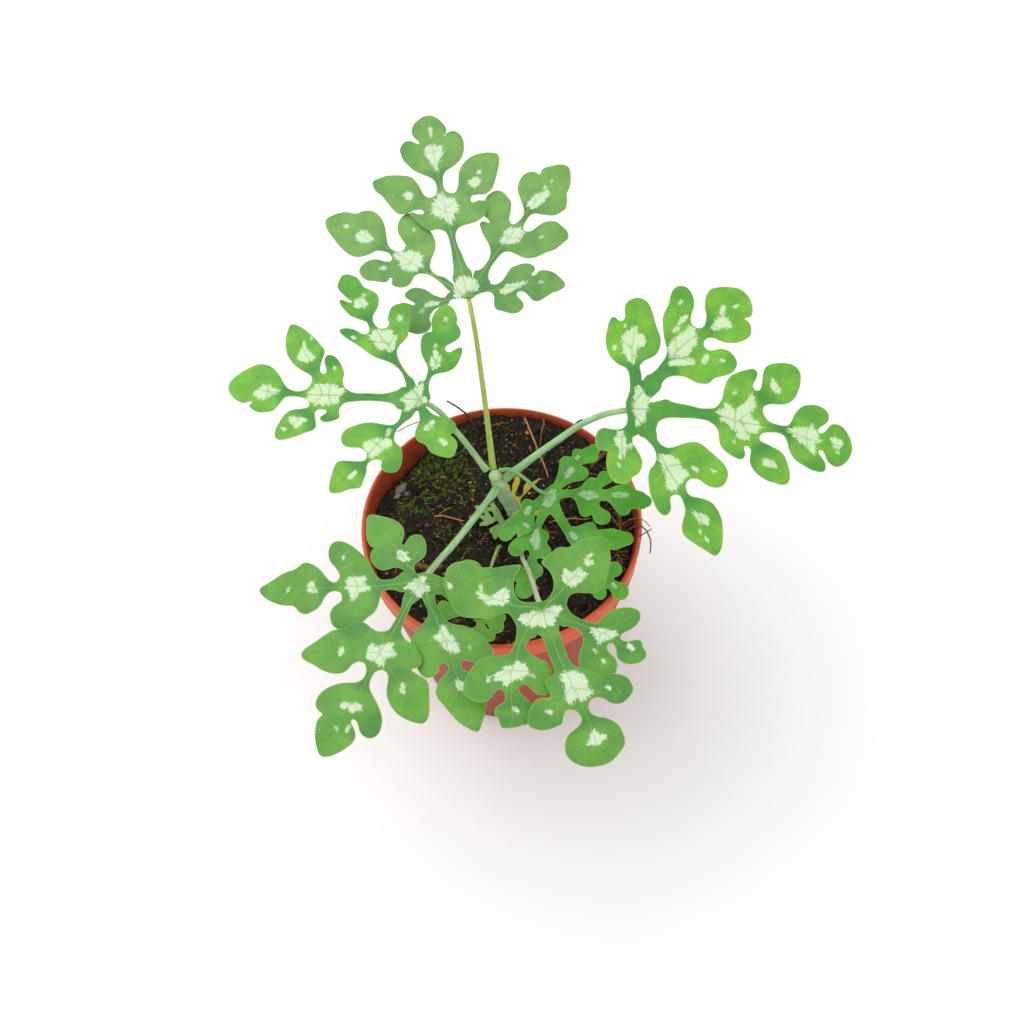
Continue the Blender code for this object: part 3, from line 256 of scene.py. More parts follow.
BACK_LEAF = {
    "base": (-4.7, 55.8, 126.0),
    "heading": 100.0,
    "tilt": (12.0, 270.0),
    "droop": 0.0008,
    "blend": 0.5,
    "petiole": [(-1.2, 8.0, 98.6, 0.95), (-2.3, 31.0, 111.5, 0.8), (-4.1, 52.0, 124.3, 0.75)],
    "lobes": {
        "middle": (0.0, 0.8, [
            (8.6, -3), (9.8, -2.4), (11.7, -2.1), (14.9, -1.8), (17.8, -1.3), (20.6, -1.3), (22.4, -1.8),
            (23.8, -3), (24.4, -4.5), (24.7, -6.7), (25, -8.8), (25.8, -10.7), (26.5, -12), (27.4, -13),
            (29.5, -13.8), (31.3, -13.8), (31.8, -12.8), (32.2, -11.3), (31.9, -9.9), (32.4, -9.3),
            (33.5, -9.3), (34.4, -10.2), (34.3, -11.9), (33.9, -14.2), (35.1, -16.5), (36.9, -18),
            (39.2, -19.3), (42.6, -21), (45.7, -22.1), (48, -22.2), (49, -21.2), (49.6, -18.9),
            (49.6, -16.1), (49.1, -13.2), (47.8, -10.7), (45.9, -9), (43.9, -8), (41.3, -7.3), (38.8, -6.4),
            (37.4, -5.1), (37.6, -3.7), (38.8, -2.4), (40.7, -2.1), (42.7, -2.5), (44.5, -3.2), (46, -4.5),
            (47.1, -6.7), (48.6, -9.2), (50.2, -10.8), (52, -11.8), (54.4, -12.4), (57.6, -12.5),
            (60, -11.6), (61.1, -10.1), (60.5, -8), (60, -7.1), (61.2, -8.1), (62.7, -8.4), (64.8, -7.8),
            (67.5, -6.3), (69.1, -4.5), (69.4, -2.4), (68.5, -0.3), (66.9, 1.7), (64.2, 2.9), (63, 3),
            (61.3, 2.5), (59.7, 1.6), (58.8, 1.6), (58.9, 2.3), (60.4, 3.6), (61.3, 5.4), (60.6, 6.9),
            (59.1, 8), (57.5, 8.3), (54, 8.1), (51.5, 7.1), (49, 5.6), (47.4, 3.8), (45.8, 2.1),
            (43.9, 0.6), (42.2, 0.1), (39.8, 0.2), (38.3, 1), (37.5, 2.2), (37.8, 3.7), (39.3, 4.7),
            (41.4, 5.1), (44.1, 5.7), (46.8, 7.1), (47.9, 9.3), (49, 12.2), (49.7, 15), (49.4, 17.8),
            (49, 19.2), (47.4, 19.8), (44.8, 19.4), (42.5, 17.9), (38.7, 16.4), (35.5, 15), (34.3, 13.9),
            (33.7, 12.3), (33.8, 10.7), (34.1, 9.8), (34.2, 8), (33.6, 6.6), (32.7, 6.2), (31.9, 6.8),
            (32.4, 8.4), (33.7, 9.9), (33.5, 10.6), (32.7, 10.6), (30.8, 9.9), (28.2, 8.4), (26.6, 7),
            (25.5, 5.6), (25.6, 4.2), (25.1, 2.9), (24.2, 1.8), (23.1, 1.2), (20.8, 0.9), (18.5, 1),
            (15.6, 1.3), (10.8, 2), (8.7, 2.6), (7, 3.3), (3, 3), (-0.5, 1.2), (-0.8, -1), (3, -3),
            (7, -3.4),
        ], [
            [(0, 0), (15, -0.3), (25, -0.3), (31, -0.8), (40, -1.2), (47, -1.3), (54, -2.2), (62, -3),
             (68, -3.6)],
            [(31, -0.8), (36, 4.5), (39.5, 9), (44, 15), (48, 19)],
            [(32, -0.8), (36, -7), (39, -12), (43, -16), (47.5, -21)], [(54, -2.2), (57, 3.5), (59, 6.5)],
            [(54, -2.2), (57, -8), (59.5, -11)], [(31, -0.8), (29.5, 5), (30.5, 9)],
            [(31, -0.8), (28.5, -7), (29, -12)],
        ]),
        "left": (13.0, -0.8, [
            (4.4, 5.8), (6.4, 6.6), (8.4, 7.9), (10.7, 9.8), (11.6, 11.2), (12.1, 12.3), (12.2, 13.6),
            (11.6, 14.8), (10.4, 15.7), (9.5, 16.7), (8.9, 18.1), (9.1, 19.6), (9.8, 21), (10.8, 21.9),
            (11.6, 22.1), (12.3, 21.6), (13.5, 21.5), (13.9, 21.8), (13.6, 22.3), (12.7, 23), (12.6, 23.7),
            (13.1, 25.2), (14.1, 27.5), (14.6, 29.1), (15.4, 29.9), (16.5, 30.6), (18.3, 30.9),
            (19.5, 30.6), (20.2, 30.1), (21.1, 28.9), (21.6, 27.2), (21.6, 25.7), (21, 23.9), (20.1, 22.6),
            (19.8, 21.8), (19.5, 20.9), (19.7, 20.1), (20.3, 19.8), (21.4, 19.9), (22.5, 20.5),
            (23.2, 21.6), (23.8, 22.7), (24.3, 23.8), (24.1, 25.1), (23.9, 27.1), (24, 28.6), (24.3, 30.2),
            (25.2, 31.8), (26.5, 33.1), (27.8, 34), (30, 35.1), (32.7, 36), (35.7, 37), (37.8, 37.4),
            (39.6, 37.3), (40.5, 36.9), (41.3, 35.7), (41.8, 33.7), (42, 31.8), (41.7, 30.3), (41, 28.9),
            (40.3, 28.1), (39.9, 27.4), (39.6, 26.6), (39.9, 25.6), (39.9, 24), (39.5, 22.5), (38.6, 21.1),
            (37, 20), (35.3, 19.4), (33.7, 19.2), (31.4, 19.2), (29.7, 19.4), (27.3, 19.7), (25.4, 19.8),
            (24, 19.5), (22.6, 18.5), (22, 17.5), (21.7, 16.6), (22.1, 15.5), (22.9, 14.8), (23.7, 14.5),
            (24.6, 14.6), (25.6, 15), (27.3, 15.4), (28.7, 15.7), (30.1, 15.6), (31.4, 15.2), (32.9, 14.3),
            (34, 13.1), (34.6, 11.6), (34.4, 10.4), (33.7, 9), (32.6, 7.7), (31.1, 6.8), (29.5, 6.2),
            (27.9, 5.8), (26.4, 5.6), (24.9, 5.2), (23, 5), (21.3, 5.2), (20, 5.6), (18.4, 6.4),
            (16.8, 7.5), (15, 8.4), (13.4, 8.9), (11.9, 8.7), (10.6, 8), (9.3, 6.7), (8.6, 5.4), (6, 3.5),
            (3, 1.5), (-0.5, 0.3), (0.5, 2.5), (2.5, 4.3),
        ], [
            [(0, 0), (8, 7), (13, 11.5), (17, 14.5), (22, 18.5), (26.5, 22.5), (30, 26.5), (36, 31.5),
             (40.5, 36)],
            [(16.5, 14.5), (22, 11), (28, 10.5), (33, 10.5)],
            [(16.5, 15), (17, 20), (17.6, 25), (18, 29.5)], [(16, 15), (12.5, 18), (10, 20)],
            [(30, 26.5), (34, 24.5), (38.5, 23.5)],
        ]),
        "left_low": (14.0, -1.0, [
            (2.7, 6), (2, 6.5), (1.7, 7.3), (2.1, 8.2), (3, 9.2), (4, 10.3), (5.2, 11.2), (6.4, 12.2),
            (7.3, 13.4), (7.9, 14.9), (8, 16.4), (7.4, 17.7), (6.8, 18.7), (6, 19), (5.1, 18.9),
            (4.3, 18.2), (3.6, 17.5), (2.8, 16.7), (2.3, 16.6), (2, 17), (2.3, 17.6), (2.8, 18.3),
            (3.5, 19.4), (3.9, 20.5), (3.6, 22.1), (3.1, 23.5), (2.1, 24.8), (0.8, 25.8), (-0.3, 26.1),
            (-1.4, 26), (-3.5, 25), (-5, 22.5), (-6.5, 20.5), (-7.8, 18.5), (-8, 16), (-7.2, 14.2),
            (-6, 13.5), (-3.8, 13.4), (-2.5, 12.6), (-1.7, 11.7), (-1, 9.9), (-1, 6.7), (-0.1, 6),
            (0.3, 4.6), (-0.1, 2.2), (-0.5, 0.3), (2, 1.5), (3, 4),
        ], [
            [(0, 0), (0.5, 6), (1, 12), (-1, 18), (0, 24)], [(1, 12), (4.5, 15), (6.5, 17.5)],
            [(0, 14), (-4, 16), (-7.5, 16.5)],
        ]),
        "right": (-13.0, -0.8, [
            (8.2, -4.1), (8.1, -5.3), (8.8, -7), (10.3, -8.6), (11.5, -9.7), (13.1, -10.6), (14.2, -10.8),
            (15.9, -10.9), (17.8, -10.6), (19.9, -10.2), (21.7, -9.9), (24, -9.9), (25, -10), (25.4, -10.4),
            (25.6, -11.3), (25.2, -12.1), (24.5, -12.8), (24.6, -13.2), (25.3, -13.2), (26.3, -12.8),
            (27.2, -12.2), (28, -11.9), (29.4, -12.1), (30.8, -12.5), (32.1, -13.3), (33.9, -14.7),
            (34.8, -15.9), (35.4, -17.3), (35.4, -18.6), (34.6, -20), (32.7, -21), (31.2, -21.6),
            (29.9, -21.7), (28.6, -21.3), (26.5, -20.6), (24.9, -19.9), (23.9, -19.5), (22.9, -19.5),
            (21.8, -19.8), (21.6, -20.5), (22, -21.7), (23.1, -23.3), (24.1, -24.2), (25.3, -24.7),
            (26.8, -24.9), (29, -25), (31, -24.9), (32.9, -24.8), (34.3, -24.9), (35.9, -25.5),
            (37.5, -26.4), (39, -27.8), (39.7, -29.3), (39.8, -30.9), (39.3, -32), (38.6, -32.6),
            (37.9, -33), (37.9, -33.5), (38.7, -33.8), (39.6, -34.5), (40.2, -35.6), (40.3, -37.4),
            (40.4, -39.1), (40.3, -40.6), (39.8, -42), (39, -42.9), (37.7, -43.3), (35.6, -43),
            (33.6, -42.5), (31.7, -41.7), (30.1, -40.8), (29.2, -40), (28.2, -39.7), (26.2, -39.3),
            (24.6, -38.7), (23.4, -38), (22.8, -36.5), (22.1, -34.7), (22.3, -32.9), (23, -31.1),
            (23.6, -29.4), (24.1, -28.3), (24, -27.3), (23.5, -26.2), (22, -24.7), (20.5, -23.5),
            (19.6, -23), (18.7, -23.1), (18.1, -23.9), (18, -25.1), (18.6, -26.5), (19.4, -28),
            (20.1, -29.7), (20.2, -31.3), (20, -32.5), (19.2, -33.9), (17.1, -35.2), (15.5, -36.2),
            (14, -36.4), (12.6, -36), (11.9, -35), (10.9, -33.2), (9.8, -31), (9.5, -29.4), (9.3, -27.5),
            (8.8, -25.8), (8.5, -24.1), (8.6, -22.6), (9.1, -21.1), (9.9, -19.8), (11.1, -18.5),
            (12.1, -17.2), (12.5, -16.1), (12.5, -14.8), (11.8, -13.4), (10.6, -11.9), (9.2, -10.2),
            (7.5, -8.9), (5.5, -8), (4.2, -7.8), (2.8, -8), (1.5, -5), (-0.5, -0.5), (3, -1), (6.5, -3),
        ], [
            [(0, 0), (8, -7.3), (12.5, -12), (17.5, -18.5), (22, -22.5), (26, -27), (31, -33), (36, -39),
             (39.5, -42.3)],
            [(17, -18), (22, -16.5), (28, -16.8), (34, -18)],
            [(17, -18.5), (15.5, -24), (14.8, -29), (14.5, -35)], [(28, -29.5), (33, -29.5), (38, -30.5)],
            [(17, -18), (21, -13), (24, -11.5)],
        ]),
        "right_low": (-14.0, -1.0, [
            (2.1, -8.7), (1.9, -9.6), (2.4, -11), (3.7, -12.6), (5.5, -14.2), (6.9, -15.8), (7.1, -17.5),
            (7.3, -19.4), (6.9, -21.2), (5.9, -22.5), (4.6, -23), (3.6, -22.6), (3.1, -21.7), (2.5, -21.3),
            (2, -21.8), (2.2, -22.6), (3, -23.5), (3.3, -24.5), (3.1, -26.1), (2.4, -27.7), (1.2, -29),
            (-0.7, -30.1), (-2.1, -30.7), (-3.2, -30.8), (-4.1, -30.2), (-4.7, -28.3), (-4.8, -26.1),
            (-5.7, -23.7), (-6.4, -21.7), (-6.4, -20.5), (-5.7, -19.4), (-4, -18.6), (-2.8, -17.8),
            (-2.1, -16.9), (-2.1, -15.8), (-2.9, -15.1), (-3.9, -15.1), (-5.1, -15.9), (-6.2, -16.3),
            (-7.4, -16.2), (-8.2, -15.6), (-9, -14.1), (-8.9, -12.3), (-8.2, -10.6), (-7.3, -9),
            (-6.7, -7.7), (-5.1, -7.2), (-3.2, -7.7), (-1.9, -7.9), (-0.7, -7.5), (0, -6.5), (0, -5),
            (-0.2, -3.2), (-0.8, -1.8), (-1.3, -0.9), (-1.4, 0.2), (1.5, 0.5), (3, -3), (2.8, -7),
        ], [
            [(0, 0), (0, -6), (-0.3, -12), (-0.3, -18), (-1, -24), (-3, -30)],
            [(-0.2, -11), (-4, -11.3), (-8, -12)], [(0, -13), (3.5, -17), (5, -21.5)],
        ]),
    },
    "patches": {
        "": [[(1, 3, 1.2), (3, 2, 2.4), (4.5, 0, 2.6), (3, -2.5, 2.2), (2.5, -4, 1)]],
        "middle": [
            [(27.5, -1, 1.2), (32.6, -0.6, 4.4), (37, -0.6, 1.2)],
            [(46.2, -1.3, 0.4), (50, -1.6, 1), (54, -2.2, 3.4)], [(60.3, -2.8, 0.4), (63.5, -3.2, 0.7)],
            [(40.3, 9.5, 1.6), (40.8, 10, 1.2)], [(39, -12, 1.9), (39.8, -12.8, 1.5)],
            [(43, -14.6, 0.8), (43.4, -15, 0.5)],
        ],
        "left": [
            [(15, 12.5, 1.4), (17.5, 14.3, 3.8), (20.5, 17.5, 1.6)], [(29, 25.4, 1.4), (30.6, 27, 2.2)],
            [(35.7, 31.4, 0.9), (36, 31.8, 0.5)], [(17.6, 23.2, 0.9), (17.6, 24.4, 0.5)],
            [(27.9, 10.7, 0.5), (28.6, 10.7, 0.4)],
        ],
        "left_low": [[(0.6, 10, 0.7), (1, 12, 1), (0.6, 13.4, 0.6)], [(-0.7, 15.1, 0.7), (-0.9, 16, 0.4)]],
        "right": [
            [(16.4, -16.6, 1.6), (17.7, -19, 3), (18.4, -21.4, 1.4)],
            [(27.3, -28, 1.6), (29, -31, 1.8), (30.5, -34, 1)], [(32.3, -33.7, 0.5), (32.7, -34, 0.4)],
            [(33.9, -36.3, 0.5), (34.3, -36.7, 0.4)], [(14.8, -27.6, 0.5), (14.8, -28.3, 0.4)],
        ],
        "right_low": [
            [(-1.2, -11.2, 1.2), (-0.2, -13.5, 1.5), (0.2, -17, 0.7), (0.6, -19.5, 0.3)],
            [(-0.7, -23.3, 0.5), (-0.8, -24, 0.4)],
        ],
    },
}

LEFT_LEAF = {
    "base": (-21.1, 15.8, 128.0),
    "heading": 168.0,
    "tilt": (8.0, 235.0),
    "droop": 0.001,
    "blend": 0.5,
    "petiole": [(-3.3, 7.3, 99.6, 0.95), (-11.6, 14.6, 111.5, 0.9), (-19.0, 16.2, 124.8, 0.85)],
    "lobes": {
        "middle": (0.0, 0.0, [
            (6.4, 3.6), (8, 2.2), (10.6, 1.3), (15.2, 1.05), (20.2, 1.8), (23.4, 2.6), (24.2, 3.4),
            (24.7, 4.6), (24.6, 5.6), (24.2, 6.8), (24.5, 7.5), (25.7, 8.4), (27.3, 9.1), (28.6, 9.3),
            (29.7, 8.8), (30.1, 7.9), (29.5, 7.2), (28.8, 6.5), (28.4, 5.8), (28.9, 5.1), (30.3, 4.9),
            (31.5, 5.2), (32, 6.1), (31.8, 7.3), (31.2, 9.1), (30.8, 10.6), (30.9, 11.5), (32, 12.4),
            (34, 13.1), (36.1, 14), (38.1, 14.8), (40.2, 15.5), (42.1, 15.6), (43.2, 14.9), (43.6, 13.4),
            (43.6, 11.6), (43, 9.8), (42.3, 7.9), (41.2, 6.4), (40, 5.5), (38, 5.1), (36.1, 4.9),
            (34.8, 4.5), (34.4, 3.7), (34.8, 2.5), (36, 1.4), (37.6, 1), (39.3, 0.9), (41, 1), (42.4, 1.3),
            (43.2, 2.2), (43.9, 3.4), (44.6, 4.6), (45.4, 5.6), (46.6, 6.3), (48.2, 6.6), (49.9, 6.7),
            (51.5, 6.1), (52.8, 5.2), (53.6, 4.6), (53.6, 4.2), (53, 3.5), (53, 2.9), (53.6, 2.7),
            (54.4, 2.9), (55.5, 3.4), (57, 3.1), (58.6, 2.3), (59.9, 1.2), (61, -0.2), (61.6, -1.8),
            (61.5, -3.4), (60.8, -5), (59.4, -6.6), (57.5, -8.1), (55.7, -9), (53.9, -9.9), (52.3, -10.1),
            (50.2, -9.9), (48.4, -9), (46.7, -7.4), (45.2, -5.6), (44.2, -4.1), (43.3, -2.9), (42.2, -1.8),
            (40.9, -1.2), (39.1, -0.9), (37.5, -1.4), (36.2, -2.3), (35.4, -3.7), (35.1, -5.1),
            (35.5, -6.3), (36.5, -7.1), (38.2, -7.9), (40, -9), (41.6, -10.2), (43.4, -12), (45, -14.2),
            (45.9, -16.7), (46.4, -19.2), (46.5, -21.8), (46.3, -23.7), (45.9, -24.9), (44.1, -24.7),
            (42.5, -23.9), (40.6, -22.7), (38.6, -21.3), (36.5, -19.5), (34.6, -17.6), (33.1, -15.8),
            (32.7, -14.3), (33, -12.5), (33.2, -11), (33.2, -9.3), (33.1, -8.4), (32.3, -7.4), (31.4, -7.3),
            (31.1, -8.1), (31.4, -9.4), (32, -10.7), (32.3, -12), (32.2, -13), (31.7, -13.8), (30.7, -14),
            (29.2, -13.5), (27.9, -12.3), (26.7, -10.7), (25.7, -8.8), (25.3, -7.2), (25.4, -5.9),
            (25.2, -5), (24.7, -3.5), (23.6, -2.2), (22, -1.3), (19.7, -1), (16.9, -1.5), (14.1, -1.5),
            (11.3, -1.6), (9.1, -2.1), (7.5, -2.8), (6.2, -4), (3, -3), (-0.8, -1), (-0.5, 1.2), (3, 3),
        ], [
            [(0, 0), (10, 0.1), (20, 0.2), (29, 0), (34, -0.2), (41, -0.2), (48, -0.5), (55, -2.5),
             (60.5, -2.5)],
            [(31, -0.5), (33.5, -5.5), (36.5, -11), (40, -16), (44.5, -23.5)],
            [(29, -0.5), (28.6, -6), (30.5, -12.5)], [(28.5, 0.5), (27.3, 5), (28.6, 8)],
            [(31.5, 0.5), (34, 5), (37.5, 9), (42, 14)], [(48, -0.5), (50, -5), (52.5, -9)],
            [(48, -0.4), (49.5, 3), (50.5, 5.8)],
        ]),
        "back": (0.0, 0.0, [
            (5.5, -5), (6.3, -7), (7.7, -9.4), (9.5, -11.1), (11.8, -12.3), (14.1, -12.9), (16.2, -13.6),
            (18.1, -14.7), (19.6, -15.8), (21.8, -17.3), (24, -18.6), (26.2, -19.9), (28.2, -21.4),
            (29.7, -22.9), (29.8, -23.7), (28.6, -24.1), (26.9, -24), (25.1, -23.5), (23.5, -22.7),
            (22.3, -21.9), (21.1, -21.7), (20.2, -22.3), (20, -23.6), (20.6, -24.9), (21.6, -26.4),
            (23.5, -27.2), (25.2, -27.8), (27, -28.6), (28.6, -30), (30.4, -31.7), (31.6, -33.5),
            (31.6, -34.4), (30.8, -34.5), (29.5, -34), (28.3, -33.8), (27.5, -33.8), (28.2, -34.6),
            (29.7, -35.5), (31, -36.6), (32.4, -37.9), (33.4, -39.4), (33.6, -41), (33.4, -42.7),
            (32.9, -44.2), (31.6, -44.7), (29.8, -44.2), (27.8, -43.1), (26.1, -41.3), (25, -39.8),
            (23.3, -38.9), (21.3, -38), (20, -36.9), (19.1, -35.2), (18.9, -33.2), (19.1, -31.6),
            (19.7, -30), (19.9, -28.6), (19.5, -26.9), (18.5, -25.4), (17.4, -24.5), (16, -24.4),
            (14.8, -25.1), (14.3, -26.4), (14.8, -28), (15, -30), (14.5, -31.9), (13.3, -33.2),
            (11.3, -33.8), (9.9, -33.6), (8.8, -32.2), (8, -30), (7.9, -27), (7.8, -24.6), (7.7, -22.3),
            (8.6, -20.4), (9.6, -18.9), (10.1, -17.4), (10, -15.8), (9.3, -13.9), (7.9, -11.7), (6.4, -9.8),
            (4.8, -7.9), (3.2, -6.6), (1, -2), (-0.5, 0.5), (2, 0.8), (4.5, -2),
        ], [
            [(0, 0), (4.5, -5), (8.5, -11.5), (13, -18), (17, -22.5), (20, -26.5), (23, -31), (27, -37.5),
             (31.5, -43)],
            [(14, -19.5), (19, -19), (24, -21.3), (29, -23.4)], [(13, -18.5), (11.3, -24), (11.3, -31.5)],
            [(22.5, -30.5), (27, -31.8), (31, -34)],
        ]),
        "inner": (0.0, 0.0, [
            (1.6, -6.2), (-0.1, -6.8), (-0.4, -8.6), (-0.6, -10.1), (0, -12), (0.9, -13.4), (2, -15.2),
            (2.8, -17.2), (3.2, -19.7), (3.1, -21.6), (2.5, -22.9), (1.5, -23.6), (0.5, -23.7),
            (0.4, -24.8), (1.1, -27.3), (1.1, -29.6), (0.5, -31.6), (-0.8, -33.1), (-2.3, -33.9),
            (-3.8, -33.7), (-5, -32.7), (-6.2, -31), (-6.8, -28.9), (-6.8, -27.6), (-8, -26.1),
            (-8.5, -24.4), (-8.2, -22.9), (-7.3, -21.8), (-6.1, -20.7), (-4.9, -19.8), (-4.6, -18.4),
            (-5.2, -17.3), (-6.3, -17.1), (-7.3, -17.9), (-8.4, -18.9), (-9.4, -19.3), (-10, -18.2),
            (-9.9, -16.2), (-9.5, -14.1), (-8.6, -12.1), (-7.3, -10.7), (-5.6, -9.8), (-3.8, -9.3),
            (-2.4, -8.5), (-1.8, -7.3), (-1.6, -5.6), (-1.9, -3.5), (-2.6, -1.8), (-2.6, 0), (0, 1.5),
            (2, 0), (1.8, -3.5),
        ], [
            [(0, 0), (-0.8, -6), (-2.8, -12), (-3.3, -18), (-3.2, -25), (-3.2, -32)],
            [(-2.8, -12), (-6.5, -14.5), (-9.3, -18.3)], [(-2.5, -13), (0.3, -17.5), (1.3, -22)],
            [(-3.3, -22), (-6.8, -24.5)],
        ]),
        "front": (0.0, 0.0, [
            (5.6, 6.7), (6.4, 8.1), (7.6, 9), (9.6, 9.2), (11.6, 9), (13.8, 8.8), (15.9, 8.9), (17.6, 9.3),
            (19.4, 9.9), (21, 10.7), (22, 11.7), (22.5, 13.1), (22.4, 14.6), (21.8, 15.9), (20.8, 16.8),
            (19.3, 17.1), (17.7, 17), (16.2, 17), (14.8, 17.7), (13.8, 18.8), (13.6, 20.2), (14.4, 21.1),
            (16.1, 21.3), (18.1, 21.4), (20.2, 21.5), (21.8, 21.9), (22.6, 22.9), (23, 24.3), (23.3, 26.3),
            (23.6, 28.3), (23.6, 30.2), (23.2, 31.5), (22, 31.9), (20.4, 31.8), (18.9, 31.4), (17.5, 30.8),
            (15.8, 30.5), (14.3, 30.3), (13.5, 29.4), (13.3, 27.8), (13, 26), (12.9, 24.3), (13.1, 22.8),
            (12.5, 21.4), (11.2, 20.7), (9.7, 20.7), (8.6, 21.4), (8.7, 22.6), (8.2, 23.8), (6.9, 24.5),
            (5.2, 24.6), (3.6, 24), (2.8, 22.5), (2.6, 20.4), (2.8, 18.4), (3.4, 16.6), (4.4, 15.6),
            (5.6, 14.6), (6.3, 13), (6.2, 11.3), (5.5, 9.6), (4.4, 8.2), (3.3, 7), (2.3, 6.3), (0.5, 3),
            (-0.8, 0.3), (2, 0), (5, 3.4),
        ], [
            [(0, 0), (4, 5.5), (8, 11), (11.5, 16.5), (13.8, 20), (16.5, 24), (19, 27.5), (22.5, 31)],
            [(11, 15.5), (15.5, 13.3), (20.5, 13.2)], [(10.5, 16), (6.5, 19.5), (5, 23)],
        ]),
        "front_inner": (0.0, 0.0, [
            (-0.1, 4.6), (-0.4, 5.7), (-0.6, 7.2), (-0.2, 8.7), (0.1, 10.2), (0.1, 11.7), (-0.5, 13),
            (-1.7, 14.1), (-3.1, 14.5), (-4, 15.2), (-4.8, 16.4), (-6.2, 17.3), (-7.9, 17.9), (-9.7, 18.4),
            (-11.6, 18.5), (-12.7, 17.7), (-13, 16.2), (-13.2, 14.4), (-12.8, 12.9), (-11.6, 11.6),
            (-10.6, 11.1), (-11.1, 10.3), (-12, 9.4), (-11.9, 7.9), (-11.1, 6.6), (-9.7, 5.6), (-8, 5.2),
            (-6.1, 5.1), (-4.4, 4.5), (-3, 3.4), (-1.8, 2.1), (-1.5, 0.5), (0, -1.5), (1.5, 0), (0.8, 3),
        ], [
            [(0, 0), (-2, 5), (-4, 9), (-8, 13.8), (-12, 16.8)], [(-3.6, 8.4), (-8, 7.8), (-11, 8)],
            [(-3.8, 8.8), (-2.5, 12.5)],
        ]),
    },
    "patches": {
        "": [
            [(-0.8, 0.2, 1.2), (2.2, -0.2, 2.8), (6, 0.2, 0.6)],
            [(0.6, -5.2, 0.6), (1.4, -3, 1.6), (1.5, 0, 2)], [(3, 2, 1.6), (4, 3.8, 0.6)],
        ],
        "middle": [
            [(25.2, -1, 1.4), (28, 0, 3.4), (31.5, -0.2, 3.8), (34, 0, 2)],
            [(45.2, -0.5, 0.5), (47, -0.6, 1.2), (49.5, -0.6, 2.6), (51.5, -0.4, 1.4)],
            [(37.3, -12.6, 1.6), (39.3, -13.6, 2.2), (40, -16, 1)], [(39.7, -17, 0.4), (40.2, -18.5, 0.4)],
            [(38, -19.5, 0.4), (38.3, -20.5, 0.4)], [(28.7, -9, 0.5), (28.7, -10, 0.4)],
            [(34.5, 9, 0.6), (37, 9.6, 1.8), (39, 8.4, 1)], [(40.6, 12, 0.8), (41.4, 11.6, 0.5)],
        ],
        "back": [
            [(12.2, -17.2, 1.4), (14.5, -20.2, 3.6), (17, -21.5, 2.4), (19, -21, 1)],
            [(13.6, -23.4, 1), (14.6, -22, 1.6)], [(23.6, -33.2, 1.2), (25, -33.6, 2.2)],
            [(24, -36.5, 0.4), (24.6, -37.2, 0.4)], [(24.3, -20.3, 0.7), (25, -20.8, 0.5)],
            [(11.2, -28.4, 1.1), (11.3, -29, 0.6)],
        ],
        "inner": [
            [(-2, -16.8, 0.7), (-2.4, -14.6, 1.6), (-2.6, -12.4, 1.6), (-2.4, -11, 0.7)],
            [(-3.2, -28.8, 0.7), (-3.2, -29.6, 0.5)], [(-1.5, -18.6, 0.5), (-1.6, -19.4, 0.4)],
        ],
        "front": [
            [(8.3, 15.3, 1.6), (10.8, 16.2, 2.6), (13.2, 16.4, 2)], [(11, 17.4, 2), (12, 19, 1.4)],
            [(8, 11, 0.8), (8.4, 12.2, 0.6)], [(16.2, 25.2, 0.7), (17.3, 26.6, 1)],
        ],
        "front_inner": [[(-4.6, 7.6, 0.9), (-3.4, 9.4, 1)], [(-8, 13, 0.7), (-9.3, 13.9, 0.9)]],
    },
}

